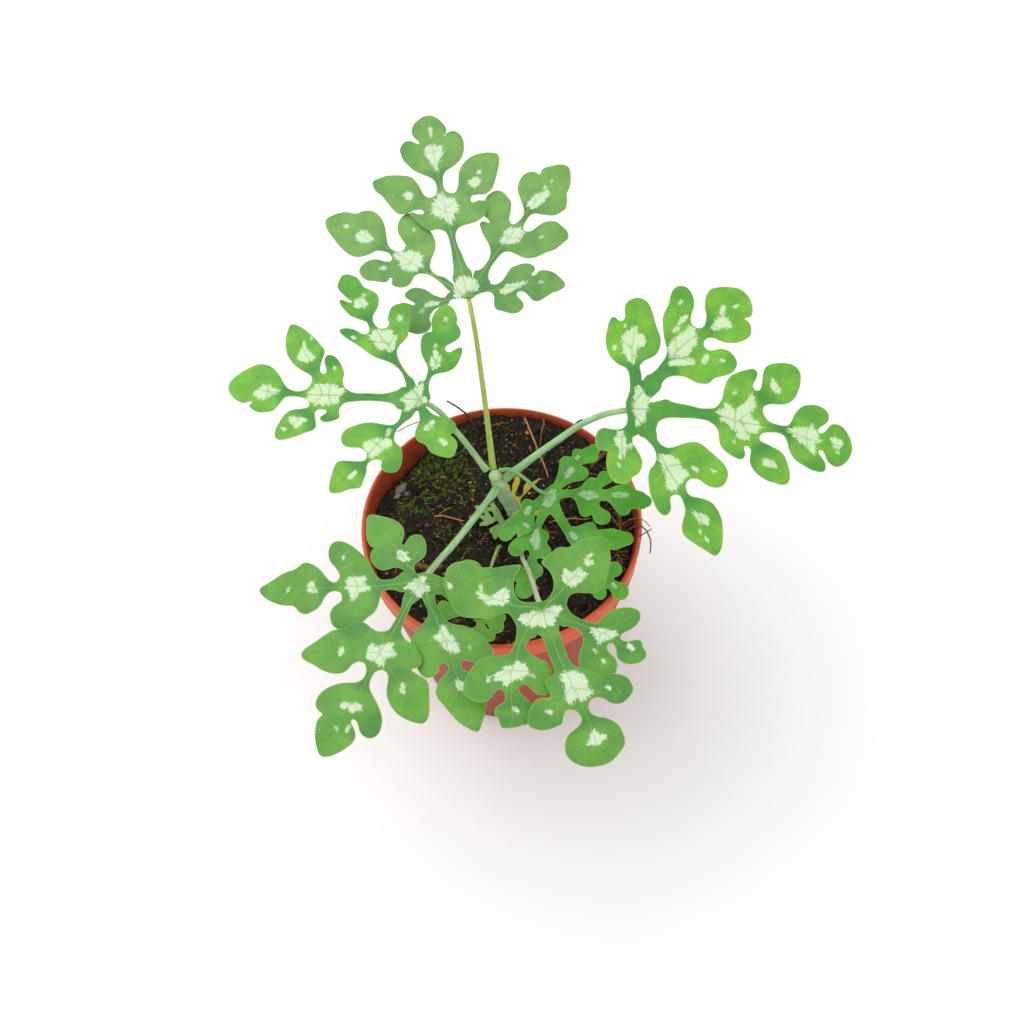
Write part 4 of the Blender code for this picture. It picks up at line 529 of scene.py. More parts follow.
RIGHT_LEAF = {
    "base": (40.8, 4.9, 130.0),
    "heading": 352.1,
    "tilt": (8.0, 300.0),
    "droop": 0.001,
    "blend": 0.5,
    "petiole": [
        (2.6, 5.2, 97.6, 1.25), (18.5, 7.6, 112.0, 1.05), (30.0, 8.0, 122.0, 0.95), (38.6, 6.0, 127.8, 0.9),
    ],
    "lobes": {
        "middle": (0.0, 0.0, [
            (7.9, -6.2), (8.4, -4), (10.2, -2.4), (12.8, -1.5), (17, -1.2), (20.3, -1.4), (23.2, -2),
            (25, -3.1), (26, -4.2), (26.5, -5.4), (26.7, -6.9), (27, -8.7), (27.8, -10.2), (29.3, -11.7),
            (31, -12.9), (32.7, -13.6), (33.9, -13.3), (34.5, -12), (34.2, -10.5), (34.2, -9.4),
            (34.9, -8.9), (35.8, -9.4), (36.2, -10.6), (36, -12.2), (35.9, -14.1), (36.5, -15.5),
            (37.7, -17.1), (39.4, -18.5), (41.5, -19.6), (43.5, -19.9), (44.9, -20.2), (46.1, -20.1),
            (47.3, -19.5), (47.9, -18.2), (48, -16.7), (47.8, -15), (47.4, -13.4), (46.9, -11.5),
            (46.1, -10), (44.9, -9), (43.2, -8.3), (41.5, -7.6), (40, -7.1), (39.1, -6.6), (38.8, -5.7),
            (39.3, -4.5), (40.3, -3.8), (42, -3.6), (44.1, -3.5), (45.8, -3.9), (46.7, -4.8), (47.3, -6.2),
            (47.7, -8), (48.4, -9.7), (49.6, -11.6), (51, -12.7), (52.8, -13.7), (54.5, -14.4),
            (56.3, -14.6), (57.7, -14.5), (58.6, -13.9), (58.9, -12.6), (58.6, -11.2), (57.9, -10.1),
            (57.2, -9.2), (56.7, -8.3), (56.8, -7.5), (57.5, -7.3), (58.2, -7.6), (58.7, -8.7),
            (59.3, -10.2), (60.3, -11.3), (61.8, -11.9), (63.3, -11.6), (64.7, -10.6), (65.9, -9.2),
            (66.8, -7.2), (67.1, -5.4), (66.8, -3.2), (65.9, -1), (65, 0.5), (63.9, 1.5), (62.4, 1.9),
            (61.1, 1.7), (60.1, 0.9), (59.3, -0.4), (58.3, -1.4), (57.3, -1.7), (56.7, -1.1), (57.1, 0),
            (58.3, 1.1), (59.5, 2.1), (60.1, 3.8), (60.1, 5.2), (59.5, 6.4), (58.1, 7.5), (56, 7.8),
            (54, 7.4), (52.2, 6.7), (50.5, 5.1), (49.4, 3.3), (48.6, 1.2), (47.6, -0.3), (46.1, -0.9),
            (44.4, -0.9), (42.6, -0.5), (41.5, 0.1), (40.6, 1.3), (40, 2.6), (39.9, 4), (40.3, 5.2),
            (41.5, 6.1), (43.2, 6.5), (45.3, 6.5), (47.3, 6.9), (48.8, 8), (50, 9.7), (50.8, 11.7),
            (51.4, 14), (51.7, 16.3), (51.6, 18.4), (50.8, 20), (49.5, 20.8), (47.8, 21), (46, 20.9),
            (44.2, 20.5), (42.8, 20.2), (41.3, 19.3), (40.4, 18.1), (40, 16.4), (39.8, 14.2), (39.5, 12.2),
            (39, 10.9), (37.9, 10.4), (37.1, 11), (36.9, 12.4), (37.5, 13.5), (38, 14.8), (38.3, 16.4),
            (37.9, 17.4), (36.9, 18), (35.7, 17.7), (33.6, 16.8), (31.6, 15.6), (30.1, 14.4), (28.9, 12.4),
            (28.4, 10.7), (27.9, 8.8), (27.7, 7.1), (27.3, 5.8), (26.4, 4.1), (25.2, 2.7), (23.2, 2.2),
            (20.8, 2.1), (18, 2.8), (15, 3.2), (12.1, 3.7), (10.6, 4.3), (7, 3), (3, 3), (-0.8, 1.5),
            (-0.8, -1.5), (3, -3), (6.5, -4.4),
        ], [
            [(0, 0), (10, 0.5), (20, 0.5), (27, 0), (33, -0.8), (40, -1.5), (47, -2.2), (54, -4), (61, -5),
             (66.5, -5.5)],
            [(33, 0), (38, 4.5), (42, 9), (46, 14), (49.5, 19)],
            [(31.5, 0.5), (32, 7), (34, 13), (36.5, 17.5)],
            [(33.5, -1.5), (38, -7), (42, -12.5), (46.5, -19)], [(31.5, -1.5), (31, -7), (33, -12.5)],
            [(53, -3.5), (54.5, 2), (58, 5.5)], [(53, -4.2), (54, -9), (57.5, -13.5)],
        ]),
        "back": (0.0, 0.0, [
            (8.9, 7.4), (9.2, 9.1), (9.9, 10.5), (11.1, 11.7), (13.1, 12.5), (15.5, 12.6), (17.8, 12),
            (19.6, 11.2), (21.9, 11.1), (23.7, 11.5), (24.8, 12.9), (26.3, 13.7), (28.3, 14.4),
            (30.4, 15.6), (31.7, 17.6), (32.1, 19.4), (31.5, 21.1), (30.4, 22.5), (28.9, 23.4),
            (27.1, 23.6), (25.3, 22.9), (23.9, 22.5), (22.7, 23), (21.9, 24.1), (21.8, 25.3), (22.4, 26.8),
            (23.5, 27.6), (25, 27.7), (26.5, 27), (28.3, 26.4), (30.1, 26.3), (32.5, 26.8), (34.3, 27.7),
            (35.8, 29), (36.4, 30.7), (36.4, 32.9), (35.8, 34.6), (34.8, 35.4), (34.3, 35.8), (35, 36.4),
            (36.2, 36.8), (36.9, 38.1), (37, 40), (36.7, 42.2), (36, 44.4), (34.6, 46.1), (32.8, 47.1),
            (30.7, 47.3), (28.3, 47.2), (25.9, 46.6), (23.8, 45.4), (22.6, 43.2), (22.1, 40.8),
            (22.1, 38.3), (22.6, 35.6), (22.3, 33.1), (21.7, 31.5), (20.5, 30.7), (19, 30.9), (18, 31.9),
            (17.7, 33.7), (18.1, 35.9), (18.7, 38.3), (18.7, 40.8), (18.1, 43.2), (17.2, 45), (16, 45.9),
            (14.8, 46.1), (13.3, 45.6), (12.1, 44.1), (11.4, 41.9), (11.1, 39.6), (10.4, 37.2), (9.5, 34.8),
            (9.1, 32.3), (9.3, 29.4), (9.6, 26.6), (10.1, 23.8), (10.6, 21.4), (10.2, 19), (9.2, 17),
            (7.7, 14.6), (6, 12.8), (4.5, 12), (3, 9), (0, 2), (0, -1), (3, 0), (6, 4),
        ], [
            [(0, 0), (4, 7), (8.5, 14), (12.5, 20), (16.5, 25), (21, 29), (25, 33.5), (29, 38.5), (33, 44)],
            [(13.5, 21.5), (13, 29), (14, 36), (15, 44)], [(12.5, 20), (19, 18), (25, 18.5), (31, 19.5)],
            [(24, 32), (29, 30.8), (35, 31.5)],
        ]),
        "inner": (0.0, 0.0, [
            (2.5, 14.6), (2.9, 15.8), (4, 17.1), (5.8, 18.1), (7.2, 19.3), (8.1, 21), (8.6, 23.2),
            (8.6, 25.6), (7.9, 28.2), (7.2, 30.4), (6.6, 32.8), (6, 34.9), (5.3, 36.7), (4.4, 38.4),
            (3.2, 39.3), (1.4, 39.7), (-0.1, 39.4), (-1.5, 38.5), (-2.4, 37), (-2.6, 34.8), (-2.4, 32.8),
            (-2.8, 31.1), (-3.6, 30.5), (-4.6, 30.8), (-5.2, 31.5), (-6.1, 31.8), (-7, 30.8), (-7.5, 29),
            (-7.8, 26.8), (-8.1, 24.4), (-7.9, 22), (-7.3, 19.6), (-6.3, 17.7), (-5, 16.2), (-3.5, 15),
            (-2, 14.3), (-1, 13.1), (-0.5, 11.3), (-0.3, 9), (-0.3, 6.4), (-0.9, 3.8), (-1.4, 2), (-1, 0.5),
            (-1, -1), (1.5, 0), (3, 6), (3.2, 11.5),
        ], [
            [(0, 0), (0.3, 7), (0.3, 14), (0, 21), (0.8, 28), (1.2, 38)], [(0, 21), (-4, 25), (-6.3, 31)],
            [(0.2, 18), (4, 22), (7, 27)],
        ]),
        "front": (0.0, 0.0, [
            (8, -6.8), (8.4, -9.3), (9.8, -11.1), (11.8, -12), (13.8, -11.5), (15.8, -10.5), (17.8, -9.7),
            (19.8, -9.3), (21.8, -9.9), (23.8, -11.3), (25.6, -12.7), (27.3, -14.4), (28.8, -16.4),
            (29.5, -18.4), (29.2, -20.5), (28, -22.4), (26.3, -23.3), (24.3, -23.3), (22.6, -22.6),
            (21.2, -21.6), (19.7, -21.2), (18.3, -21.5), (17.3, -22.7), (17.2, -24.2), (17.7, -25.8),
            (18.8, -26.8), (20.8, -27.1), (23.1, -27.5), (25.1, -28.4), (26.8, -30.5), (28, -33.3),
            (28.3, -36.2), (28.3, -39.2), (27.9, -42.2), (27, -44), (25.9, -44.6), (24.2, -43.8),
            (22.2, -42.6), (20.2, -41.3), (18.2, -40), (16.8, -38.8), (16.3, -37), (16.5, -34.9),
            (17, -32.7), (17.1, -30.9), (16.6, -29.1), (15.9, -27.4), (14.9, -26.5), (13.6, -26.7),
            (12.8, -27.6), (12.7, -29.2), (13, -30.9), (12.6, -32.5), (11.7, -33.4), (10.4, -33.2),
            (8.9, -31.6), (7.7, -29.2), (6.8, -26.9), (6.3, -24.2), (6.1, -21.5), (6.6, -19.3),
            (7.7, -17.7), (8.2, -15.8), (8.1, -13.9), (7.3, -11.8), (5.8, -10.1), (4.4, -9), (3, -8.5),
            (0.5, -4), (-0.8, 0), (2, 1), (5, -2.5),
        ], [
            [(0, 0), (4.5, -6), (8.5, -12.5), (11.5, -18.5), (15, -23.5), (18.5, -28.5), (21.5, -33),
             (24, -38.5), (26, -44)],
            [(11.5, -18), (17, -16.5), (22, -16), (28.5, -18.5)], [(11, -19), (9.5, -25), (11.3, -32.5)],
            [(20.5, -31), (25, -32.5)],
        ]),
        "front_inner": (0.0, 0.0, [
            (2.3, -8.6), (1.2, -9.1), (1.1, -11.2), (2.1, -12.7), (3.1, -14.2), (3.9, -16), (4.2, -17.5),
            (3.8, -19.8), (2.8, -21.4), (1.5, -22.4), (0.9, -23.6), (0, -24.6), (-1.7, -24.7),
            (-3.4, -24.3), (-4.7, -23.1), (-5.6, -21.5), (-6.2, -19.7), (-6.4, -17.7), (-6.3, -16),
            (-6.1, -14.7), (-7.3, -14.5), (-8.8, -14), (-9.7, -12.9), (-9.9, -10.8), (-9.6, -8.9),
            (-8.8, -7.6), (-7.3, -6.9), (-5.3, -7.2), (-3.3, -7.2), (-1.7, -6.4), (-0.8, -4.8),
            (-0.7, -2.7), (-0.9, -0.8), (0.5, 1), (2, -2), (2.6, -6),
        ], [
            [(0, 0), (-1, -6), (-2.2, -11), (-1.6, -17), (-1.3, -23.5)],
            [(-2, -9.5), (-6, -10.3), (-9, -10.6)],
        ]),
    },
    "patches": {
        "": [
            [(2.4, 7.5, 0.8), (3, 4.5, 1.8), (3, 1, 2.4), (3, -2.4, 1.8), (2.4, -5, 0.7)],
            [(4.6, 3.4, 1.6), (6.6, 3.4, 0.7)],
        ],
        "middle": [
            [(26.8, 1.5, 1), (29.5, 0.5, 2.8), (33, -1, 3.8), (37, -2, 2.2)],
            [(34, 2, 2.4), (36, 5, 1.8), (36.6, 8, 0.8)], [(28.6, 4.4, 0.6), (30, 2, 2)],
            [(33, -5.6, 1.2), (35, -6, 1)], [(31, 8, 0.5), (31.6, 8.8, 0.4)],
            [(48, -2, 0.6), (50.5, -2.4, 2), (53.5, -3.4, 3.4), (56.5, -4.2, 1.2)],
            [(54.6, -0.2, 0.8), (55, 1, 0.4)], [(54.5, -7, 1.4), (55.4, -9, 0.5)],
            [(61, -3.4, 0.6), (62.6, -4.6, 1.6), (64, -4, 0.5)], [(62.4, -7, 0.5), (62.8, -7.8, 0.4)],
            [(43, 14.6, 0.5), (43.4, 12.8, 1.2), (44.4, 11.4, 1.2)],
            [(41, -13.4, 1.4), (42.6, -13.6, 1.2), (44, -14.6, 0.4)], [(31, -7.6, 0.4), (31.4, -8.4, 0.4)],
        ],
        "back": [
            [(12, 20.5, 1.4), (14.6, 23, 3.4), (17, 26, 3), (18, 29.5, 1.4)],
            [(12, 17, 1), (15, 17.8, 1.4), (18, 18.2, 1.4)], [(22, 18.4, 1), (22.8, 20.6, 0.6)],
            [(12.6, 28.5, 0.6), (13.6, 29.5, 0.8)],
            [(14.2, 31.2, 0.6), (15.4, 33.2, 0.9), (16.6, 34.6, 0.5)], [(14.2, 39, 0.5), (14.8, 40.4, 0.6)],
            [(25.2, 31.6, 1.2), (27.5, 33.6, 2.2), (29.4, 32.4, 1.2)], [(27.4, 37, 0.9), (28, 39.6, 0.8)],
            [(31.6, 40, 0.6), (32.6, 41.2, 0.4)], [(26.8, 19.2, 0.6), (27.8, 19.4, 0.6)],
        ],
        "inner": [
            [(0, 16.5, 0.9), (-0.6, 20, 2), (-0.6, 24, 2.8), (0.6, 28.5, 0.8)],
            [(2.6, 25.5, 1.2), (2.8, 23, 1.2)], [(-5.2, 21.6, 0.7), (-5.4, 20.6, 0.5)],
            [(-2.6, 28.5, 0.4), (-2.2, 29.4, 0.4)],
        ],
        "front": [
            [(10, -15, 1.4), (12.5, -17.4, 2.8), (14, -20.5, 3), (13, -24, 1.6)],
            [(16.5, -19.5, 1), (17.6, -20.6, 0.6)], [(19, -17.6, 0.7), (20.2, -18.4, 0.7)],
            [(24.6, -17.8, 0.5), (25.6, -18.4, 0.5)],
            [(20, -32, 0.7), (22.4, -33.4, 1.8), (23.4, -34.4, 1)], [(21.4, -37, 0.5), (21.8, -38, 0.4)],
            [(23.4, -39.4, 0.6), (24, -40.4, 0.4)],
        ],
        "front_inner": [
            [(-2.4, -8.4, 1), (-2.6, -11, 1.8), (-1.6, -13.6, 1.2), (-2.2, -16, 0.7)],
            [(0.8, -11.6, 0.5), (0.4, -13, 0.5)], [(-2.8, -18.4, 0.5), (-2.2, -19.2, 0.5)],
        ],
    },
}

FRONT_LEFT_LEAF = {
    "base": (-24.1, -44.7, 124.0),
    "heading": 238.0,
    "tilt": (12.0, 235.0),
    "droop": 0.001,
    "blend": 0.5,
    "petiole": [
        (-0.95, 2.5, 94.8, 1.3), (-4.6, -4.5, 98.5, 1.05), (-14.0, -24.3, 110.5, 1.0),
        (-22.6, -41.8, 122.0, 0.95),
    ],
    "lobes": {
        "middle": (0.0, 0.8, [
            (6.1, -2.6), (8.1, -1.9), (10.1, -1.5), (12.4, -1.5), (14.4, -1.6), (16.2, -1.8), (17.3, -2.7),
            (18.1, -4.3), (18.1, -6.2), (17.6, -8.2), (17.7, -10.2), (18.6, -11.8), (20.1, -12.8),
            (21.5, -14.5), (23.1, -16.6), (25.5, -18.2), (28.2, -19.8), (30.3, -21.3), (31.9, -22),
            (33.1, -21.9), (33.9, -20.8), (34.2, -19.2), (34.3, -16.7), (34.7, -13.9), (34.5, -11.5),
            (33.9, -9.5), (32.8, -8), (31.5, -7.2), (29.7, -6.7), (28.4, -5.6), (27.9, -4.3), (28.2, -3.1),
            (29.1, -2.3), (30.5, -1.9), (32, -2.1), (33.5, -3.2), (34.5, -5), (35.5, -6.9), (37, -8.7),
            (38.8, -10.3), (40.5, -11.3), (42.2, -11.6), (43.6, -11.4), (44.8, -10.4), (45.3, -9),
            (45.6, -7.8), (46.4, -8.2), (47.7, -8.5), (49.4, -8.1), (51.6, -7.2), (53.8, -5.8),
            (55.5, -4.2), (56.1, -2.8), (55.5, -1.2), (54.2, 0.3), (52.4, 1.8), (50.4, 3.1), (48.5, 3.8),
            (46.9, 3.5), (45.6, 2.4), (44.6, 1.1), (43.9, 0.6), (43.3, 1), (43.4, 2), (44.3, 3.1),
            (45.5, 4.1), (46.2, 5.6), (46.2, 7.3), (45.3, 8.6), (43.7, 9.2), (41.8, 9), (39.7, 8.2),
            (38.1, 6.9), (36.6, 5.2), (35.4, 3.5), (34.2, 1.7), (32.6, 0.4), (30.7, 0.1), (28.9, 0.4),
            (27.6, 1.7), (27.6, 3.2), (28.5, 4.4), (30.4, 5.3), (32.3, 6), (34.2, 7.3), (35.9, 9.6),
            (36.9, 12.3), (37.1, 15.4), (36.6, 18.2), (35.8, 19.5), (34.3, 19.9), (32.2, 19.4),
            (29.9, 18.3), (27.6, 17.1), (25.9, 16), (24.9, 14.8), (24.6, 12.8), (24.4, 11), (23.9, 9.3),
            (22.8, 10.6), (20.5, 11.2), (18.3, 10.2), (17.3, 8), (17.2, 4.7), (16.4, 2.9), (15.3, 1.7),
            (13.5, 1.2), (11.4, 0.9), (9.1, 0.9), (7.2, 0.8), (5, 2), (2, 3), (-1.2, 1.5), (-1.2, -1.5),
            (2, -3),
        ], [
            [(0, 0), (8, -0.4), (16, -0.3), (24, -0.6), (31, -0.9), (38, -1.2), (44, -2.2), (50, -2.6),
             (55.5, -2.6)],
            [(23.5, -1), (26, -6), (28, -11.5), (30.5, -17), (32.8, -21.3)],
            [(24, 0), (27, 5), (30, 10), (33.5, 15), (36, 18.8)], [(22.5, -1), (20.5, -6), (20, -11)],
            [(22.5, 0.5), (21, 5), (20.5, 10)], [(39, -1.2), (41.5, -6), (43.5, -10.5)],
            [(39, -1), (42.5, 3.5), (45, 7.8)],
        ]),
        "front": (13.0, -0.8, [
            (5.4, 3.9), (6.6, 5.5), (8, 6.3), (9.7, 6.3), (11.5, 5.8), (13.3, 5.1), (15.2, 4.8),
            (16.9, 4.9), (18.5, 5.9), (20.1, 7.5), (21.7, 9), (23.1, 10.7), (24, 12.3), (24.1, 13.9),
            (23.3, 15.3), (22, 16.2), (20.7, 16.4), (20, 15.7), (19, 15.9), (18.3, 16.6), (18.5, 17.8),
            (19.4, 18.4), (20.6, 18.4), (22, 18), (23.7, 17.7), (25.6, 18), (27.2, 18.6), (28.3, 20),
            (29.1, 21.8), (30, 23.8), (30.9, 25.8), (31.7, 28.1), (32, 30.5), (32.1, 32.9), (31.4, 34),
            (29.7, 33.9), (27.3, 33.5), (24.7, 32.9), (22.4, 31.9), (19.8, 29.9), (18, 27.5), (17.4, 25.3),
            (17.7, 23.1), (17.2, 21.5), (16, 20.7), (15.1, 21.7), (14.8, 23.9), (14.6, 25.9), (13.4, 27.6),
            (11.4, 28.3), (9.5, 27.5), (8.3, 25.9), (7.2, 24), (6.6, 21.7), (6.3, 19.1), (6.5, 16.4),
            (7.1, 14.1), (7.2, 12), (6.3, 10.1), (4.9, 8.1), (3.4, 6.4), (2, 5.5), (0, 3), (-1, 0),
            (0.5, -1), (3, 1),
        ], [
            [(0, 0), (4, 4.3), (8, 9), (12, 13.8), (16.5, 18), (21, 22.5), (26, 27.5), (31.5, 33)],
            [(12, 14), (17, 12), (22.5, 13)], [(12, 14.3), (11.5, 20), (11.5, 26.5)],
        ]),
        "front_inner": (15.0, -1.1, [
            [(0.5, 1, 3.5), (-1.5, 6, 2.2), (-2.5, 9.5, 3.5)],
            [(-2.5, 9, 3.5), (-5.5, 12.5, 4.5), (-8, 11, 4)],
            [(-2.5, 9.5, 3.5), (-0.5, 15, 4.5), (0, 19, 3.2)],
        ]),
        "back": (-13.0, -0.8, [
            (5.2, -4.5), (5.3, -6.2), (5.9, -8), (6.8, -9), (8.1, -9.2), (9.8, -8.7), (11.7, -8.3),
            (13.7, -8.5), (15.2, -9.2), (16.8, -9.8), (18.6, -10.4), (20.1, -11.9), (21.3, -14),
            (22, -16.3), (21.7, -17.9), (20.4, -19.3), (18.8, -20.2), (17.1, -20.4), (15.7, -19.8),
            (14.5, -19.1), (13.3, -19.4), (12.3, -20.3), (12.1, -21.6), (12.7, -23.1), (14.1, -24),
            (15.9, -24.2), (17.5, -24), (19.2, -24.3), (20.7, -25.3), (21.9, -26.4), (22.3, -28),
            (22.1, -29.4), (21.5, -30.5), (21.4, -32), (22.1, -33.8), (22.6, -35.8), (22.8, -38.2),
            (22.6, -40.5), (22, -42.4), (21.1, -43.4), (19.8, -43.2), (18.2, -42.1), (16.4, -41),
            (14.5, -39.7), (12.9, -38.2), (11.4, -36.6), (10.1, -36), (9, -35.6), (8.1, -34.6),
            (7.9, -32.5), (8.2, -30.6), (8.8, -28.7), (9.7, -26.9), (10.3, -25.1), (10, -23.6), (8.9, -23),
            (7.8, -23.2), (6.9, -24.1), (6.1, -25.7), (5.5, -27.2), (4.6, -28.5), (3.3, -29.6),
            (1.6, -30.3), (0, -30.2), (-1.2, -29.1), (-1.8, -27), (-1.7, -24.6), (-1.2, -22.5),
            (-0.7, -20.5), (-0.1, -18.4), (1, -16.5), (2.4, -14.7), (3.5, -13), (3.8, -11.2), (3, -8.9),
            (2, -7.5), (0.6, -6.7), (-0.4, -6.5), (-1.5, -4.5), (-1.2, -0.5), (1, 1), (3.5, -1.5),
            (5, -3.2),
        ], [
            [(0, 0), (2.8, -5), (5.5, -10.5), (8.3, -16.5), (11, -22), (13.5, -27.5), (16.5, -34),
             (20.8, -43)],
            [(8, -17), (4.5, -21.5), (1, -27.5)], [(8.8, -16.5), (14, -15.5), (20, -17)],
            [(13.5, -28), (11, -31.5), (9, -34.5)], [(14, -28), (18, -27.5), (21.3, -28)],
        ]),
        "inner": (-19.0, -0.9, [
            (-1.1, -1.9), (-1.9, -3.2), (-3.1, -4.1), (-4.4, -4.2), (-5.5, -3.6), (-6.6, -3), (-7.8, -2.9),
            (-9.2, -3.3), (-10.6, -4.2), (-12, -5.5), (-12.7, -7.1), (-12.4, -8.7), (-11.5, -9.8),
            (-10.3, -10.2), (-9, -10.2), (-7.9, -10.3), (-7.9, -10.9), (-8.8, -11.3), (-10.1, -11.6),
            (-11.5, -12.2), (-12.8, -13.3), (-13.5, -14.8), (-13.8, -16.9), (-13.5, -19.1), (-13.1, -21.3),
            (-12.7, -23.3), (-11.9, -24.4), (-10.6, -24.5), (-8.9, -23.7), (-7, -22.7), (-5.3, -21.4),
            (-4.2, -20), (-3.7, -18.6), (-3.7, -17.8), (-2.6, -18.2), (-1.2, -17.9), (0, -17), (1, -15.6),
            (1.5, -14.1), (1.4, -12.4), (0.6, -10.8), (-0.5, -9.5), (-1.1, -8.2), (-1, -7.1), (-0.5, -5),
            (1.2, -1.5), (1, 0.8), (-0.6, 0.6),
        ], [
            [(0, 0), (-2.5, -4.5), (-4.8, -9), (-7, -13.5), (-9.5, -18.5), (-11.8, -23.3)],
            [(-4.6, -8.8), (-8, -6.5), (-11.5, -6.5)], [(-4.5, -9), (-2, -13), (-0.5, -16.5)],
        ]),
    },
    "patches": {
        "": [
            [(-1, 0, 1), (1.5, -0.3, 2.2), (3.6, 1.6, 0.8)],
            [(3, -3.6, 0.6), (1.5, -1, 1.6), (1.3, 3, 0.7)],
        ],
        "middle": [
            [(19.9, 1.2, 0.6), (22.3, 0.3, 1.8), (24, -0.8, 2.6), (26, 1, 0.9)],
            [(22.6, -4, 0.7), (25, -2.6, 1.6)], [(22, 3.2, 0.7), (22.6, 1.6, 1.4)],
            [(40.9, -3.2, 1.1), (40.6, -2.2, 0.8)], [(40.2, -0.4, 1.5), (39.6, 1.6, 0.7)],
            [(47.2, -2.4, 0.5), (47.8, -1.8, 0.4)], [(45.2, 0.9, 0.4), (46.8, 0.8, 0.5)],
            [(27.2, -11.4, 0.9), (28.2, -11.2, 0.8)], [(28.8, 9.4, 0.5), (30.6, 10.4, 0.8)],
        ],
        "back": [
            [(7.4, -20, 1), (8.6, -17.6, 2.6), (8.2, -14.6, 1), (7.6, -13.4, 0.5)],
            [(11, -16.4, 1.4), (12.4, -15.9, 0.6)], [(5.8, -16.4, 0.9), (7, -17, 1.6)],
            [(13, -29.6, 0.8), (14.6, -29.2, 1.2), (14.6, -27.4, 0.5)], [(17, -35, 0.4), (18, -35.2, 0.5)],
            [(2.4, -24.8, 0.5), (3, -24.4, 0.4)],
        ],
        "inner": [
            [(-5.6, -10.4, 0.6), (-4.6, -8.9, 1.3), (-4.2, -6.6, 0.6)],
            [(-6.2, -8.2, 0.4), (-5, -8.4, 0.8)],
        ],
        "front": [
            [(9.2, 12, 0.8), (11.4, 13.3, 1.8), (12.6, 15.6, 2), (13.2, 18, 1.2)],
            [(12.6, 11.4, 0.7), (12, 13, 1.2)], [(21.4, 22.6, 0.7), (22.2, 24.2, 1.3), (22.6, 25.6, 0.5)],
            [(11, 21.2, 0.4), (11.5, 21.5, 0.4)],
        ],
        "front_inner": [[(-2.3, 6.9, 0.7), (-2.6, 7.8, 1)]],
    },
}

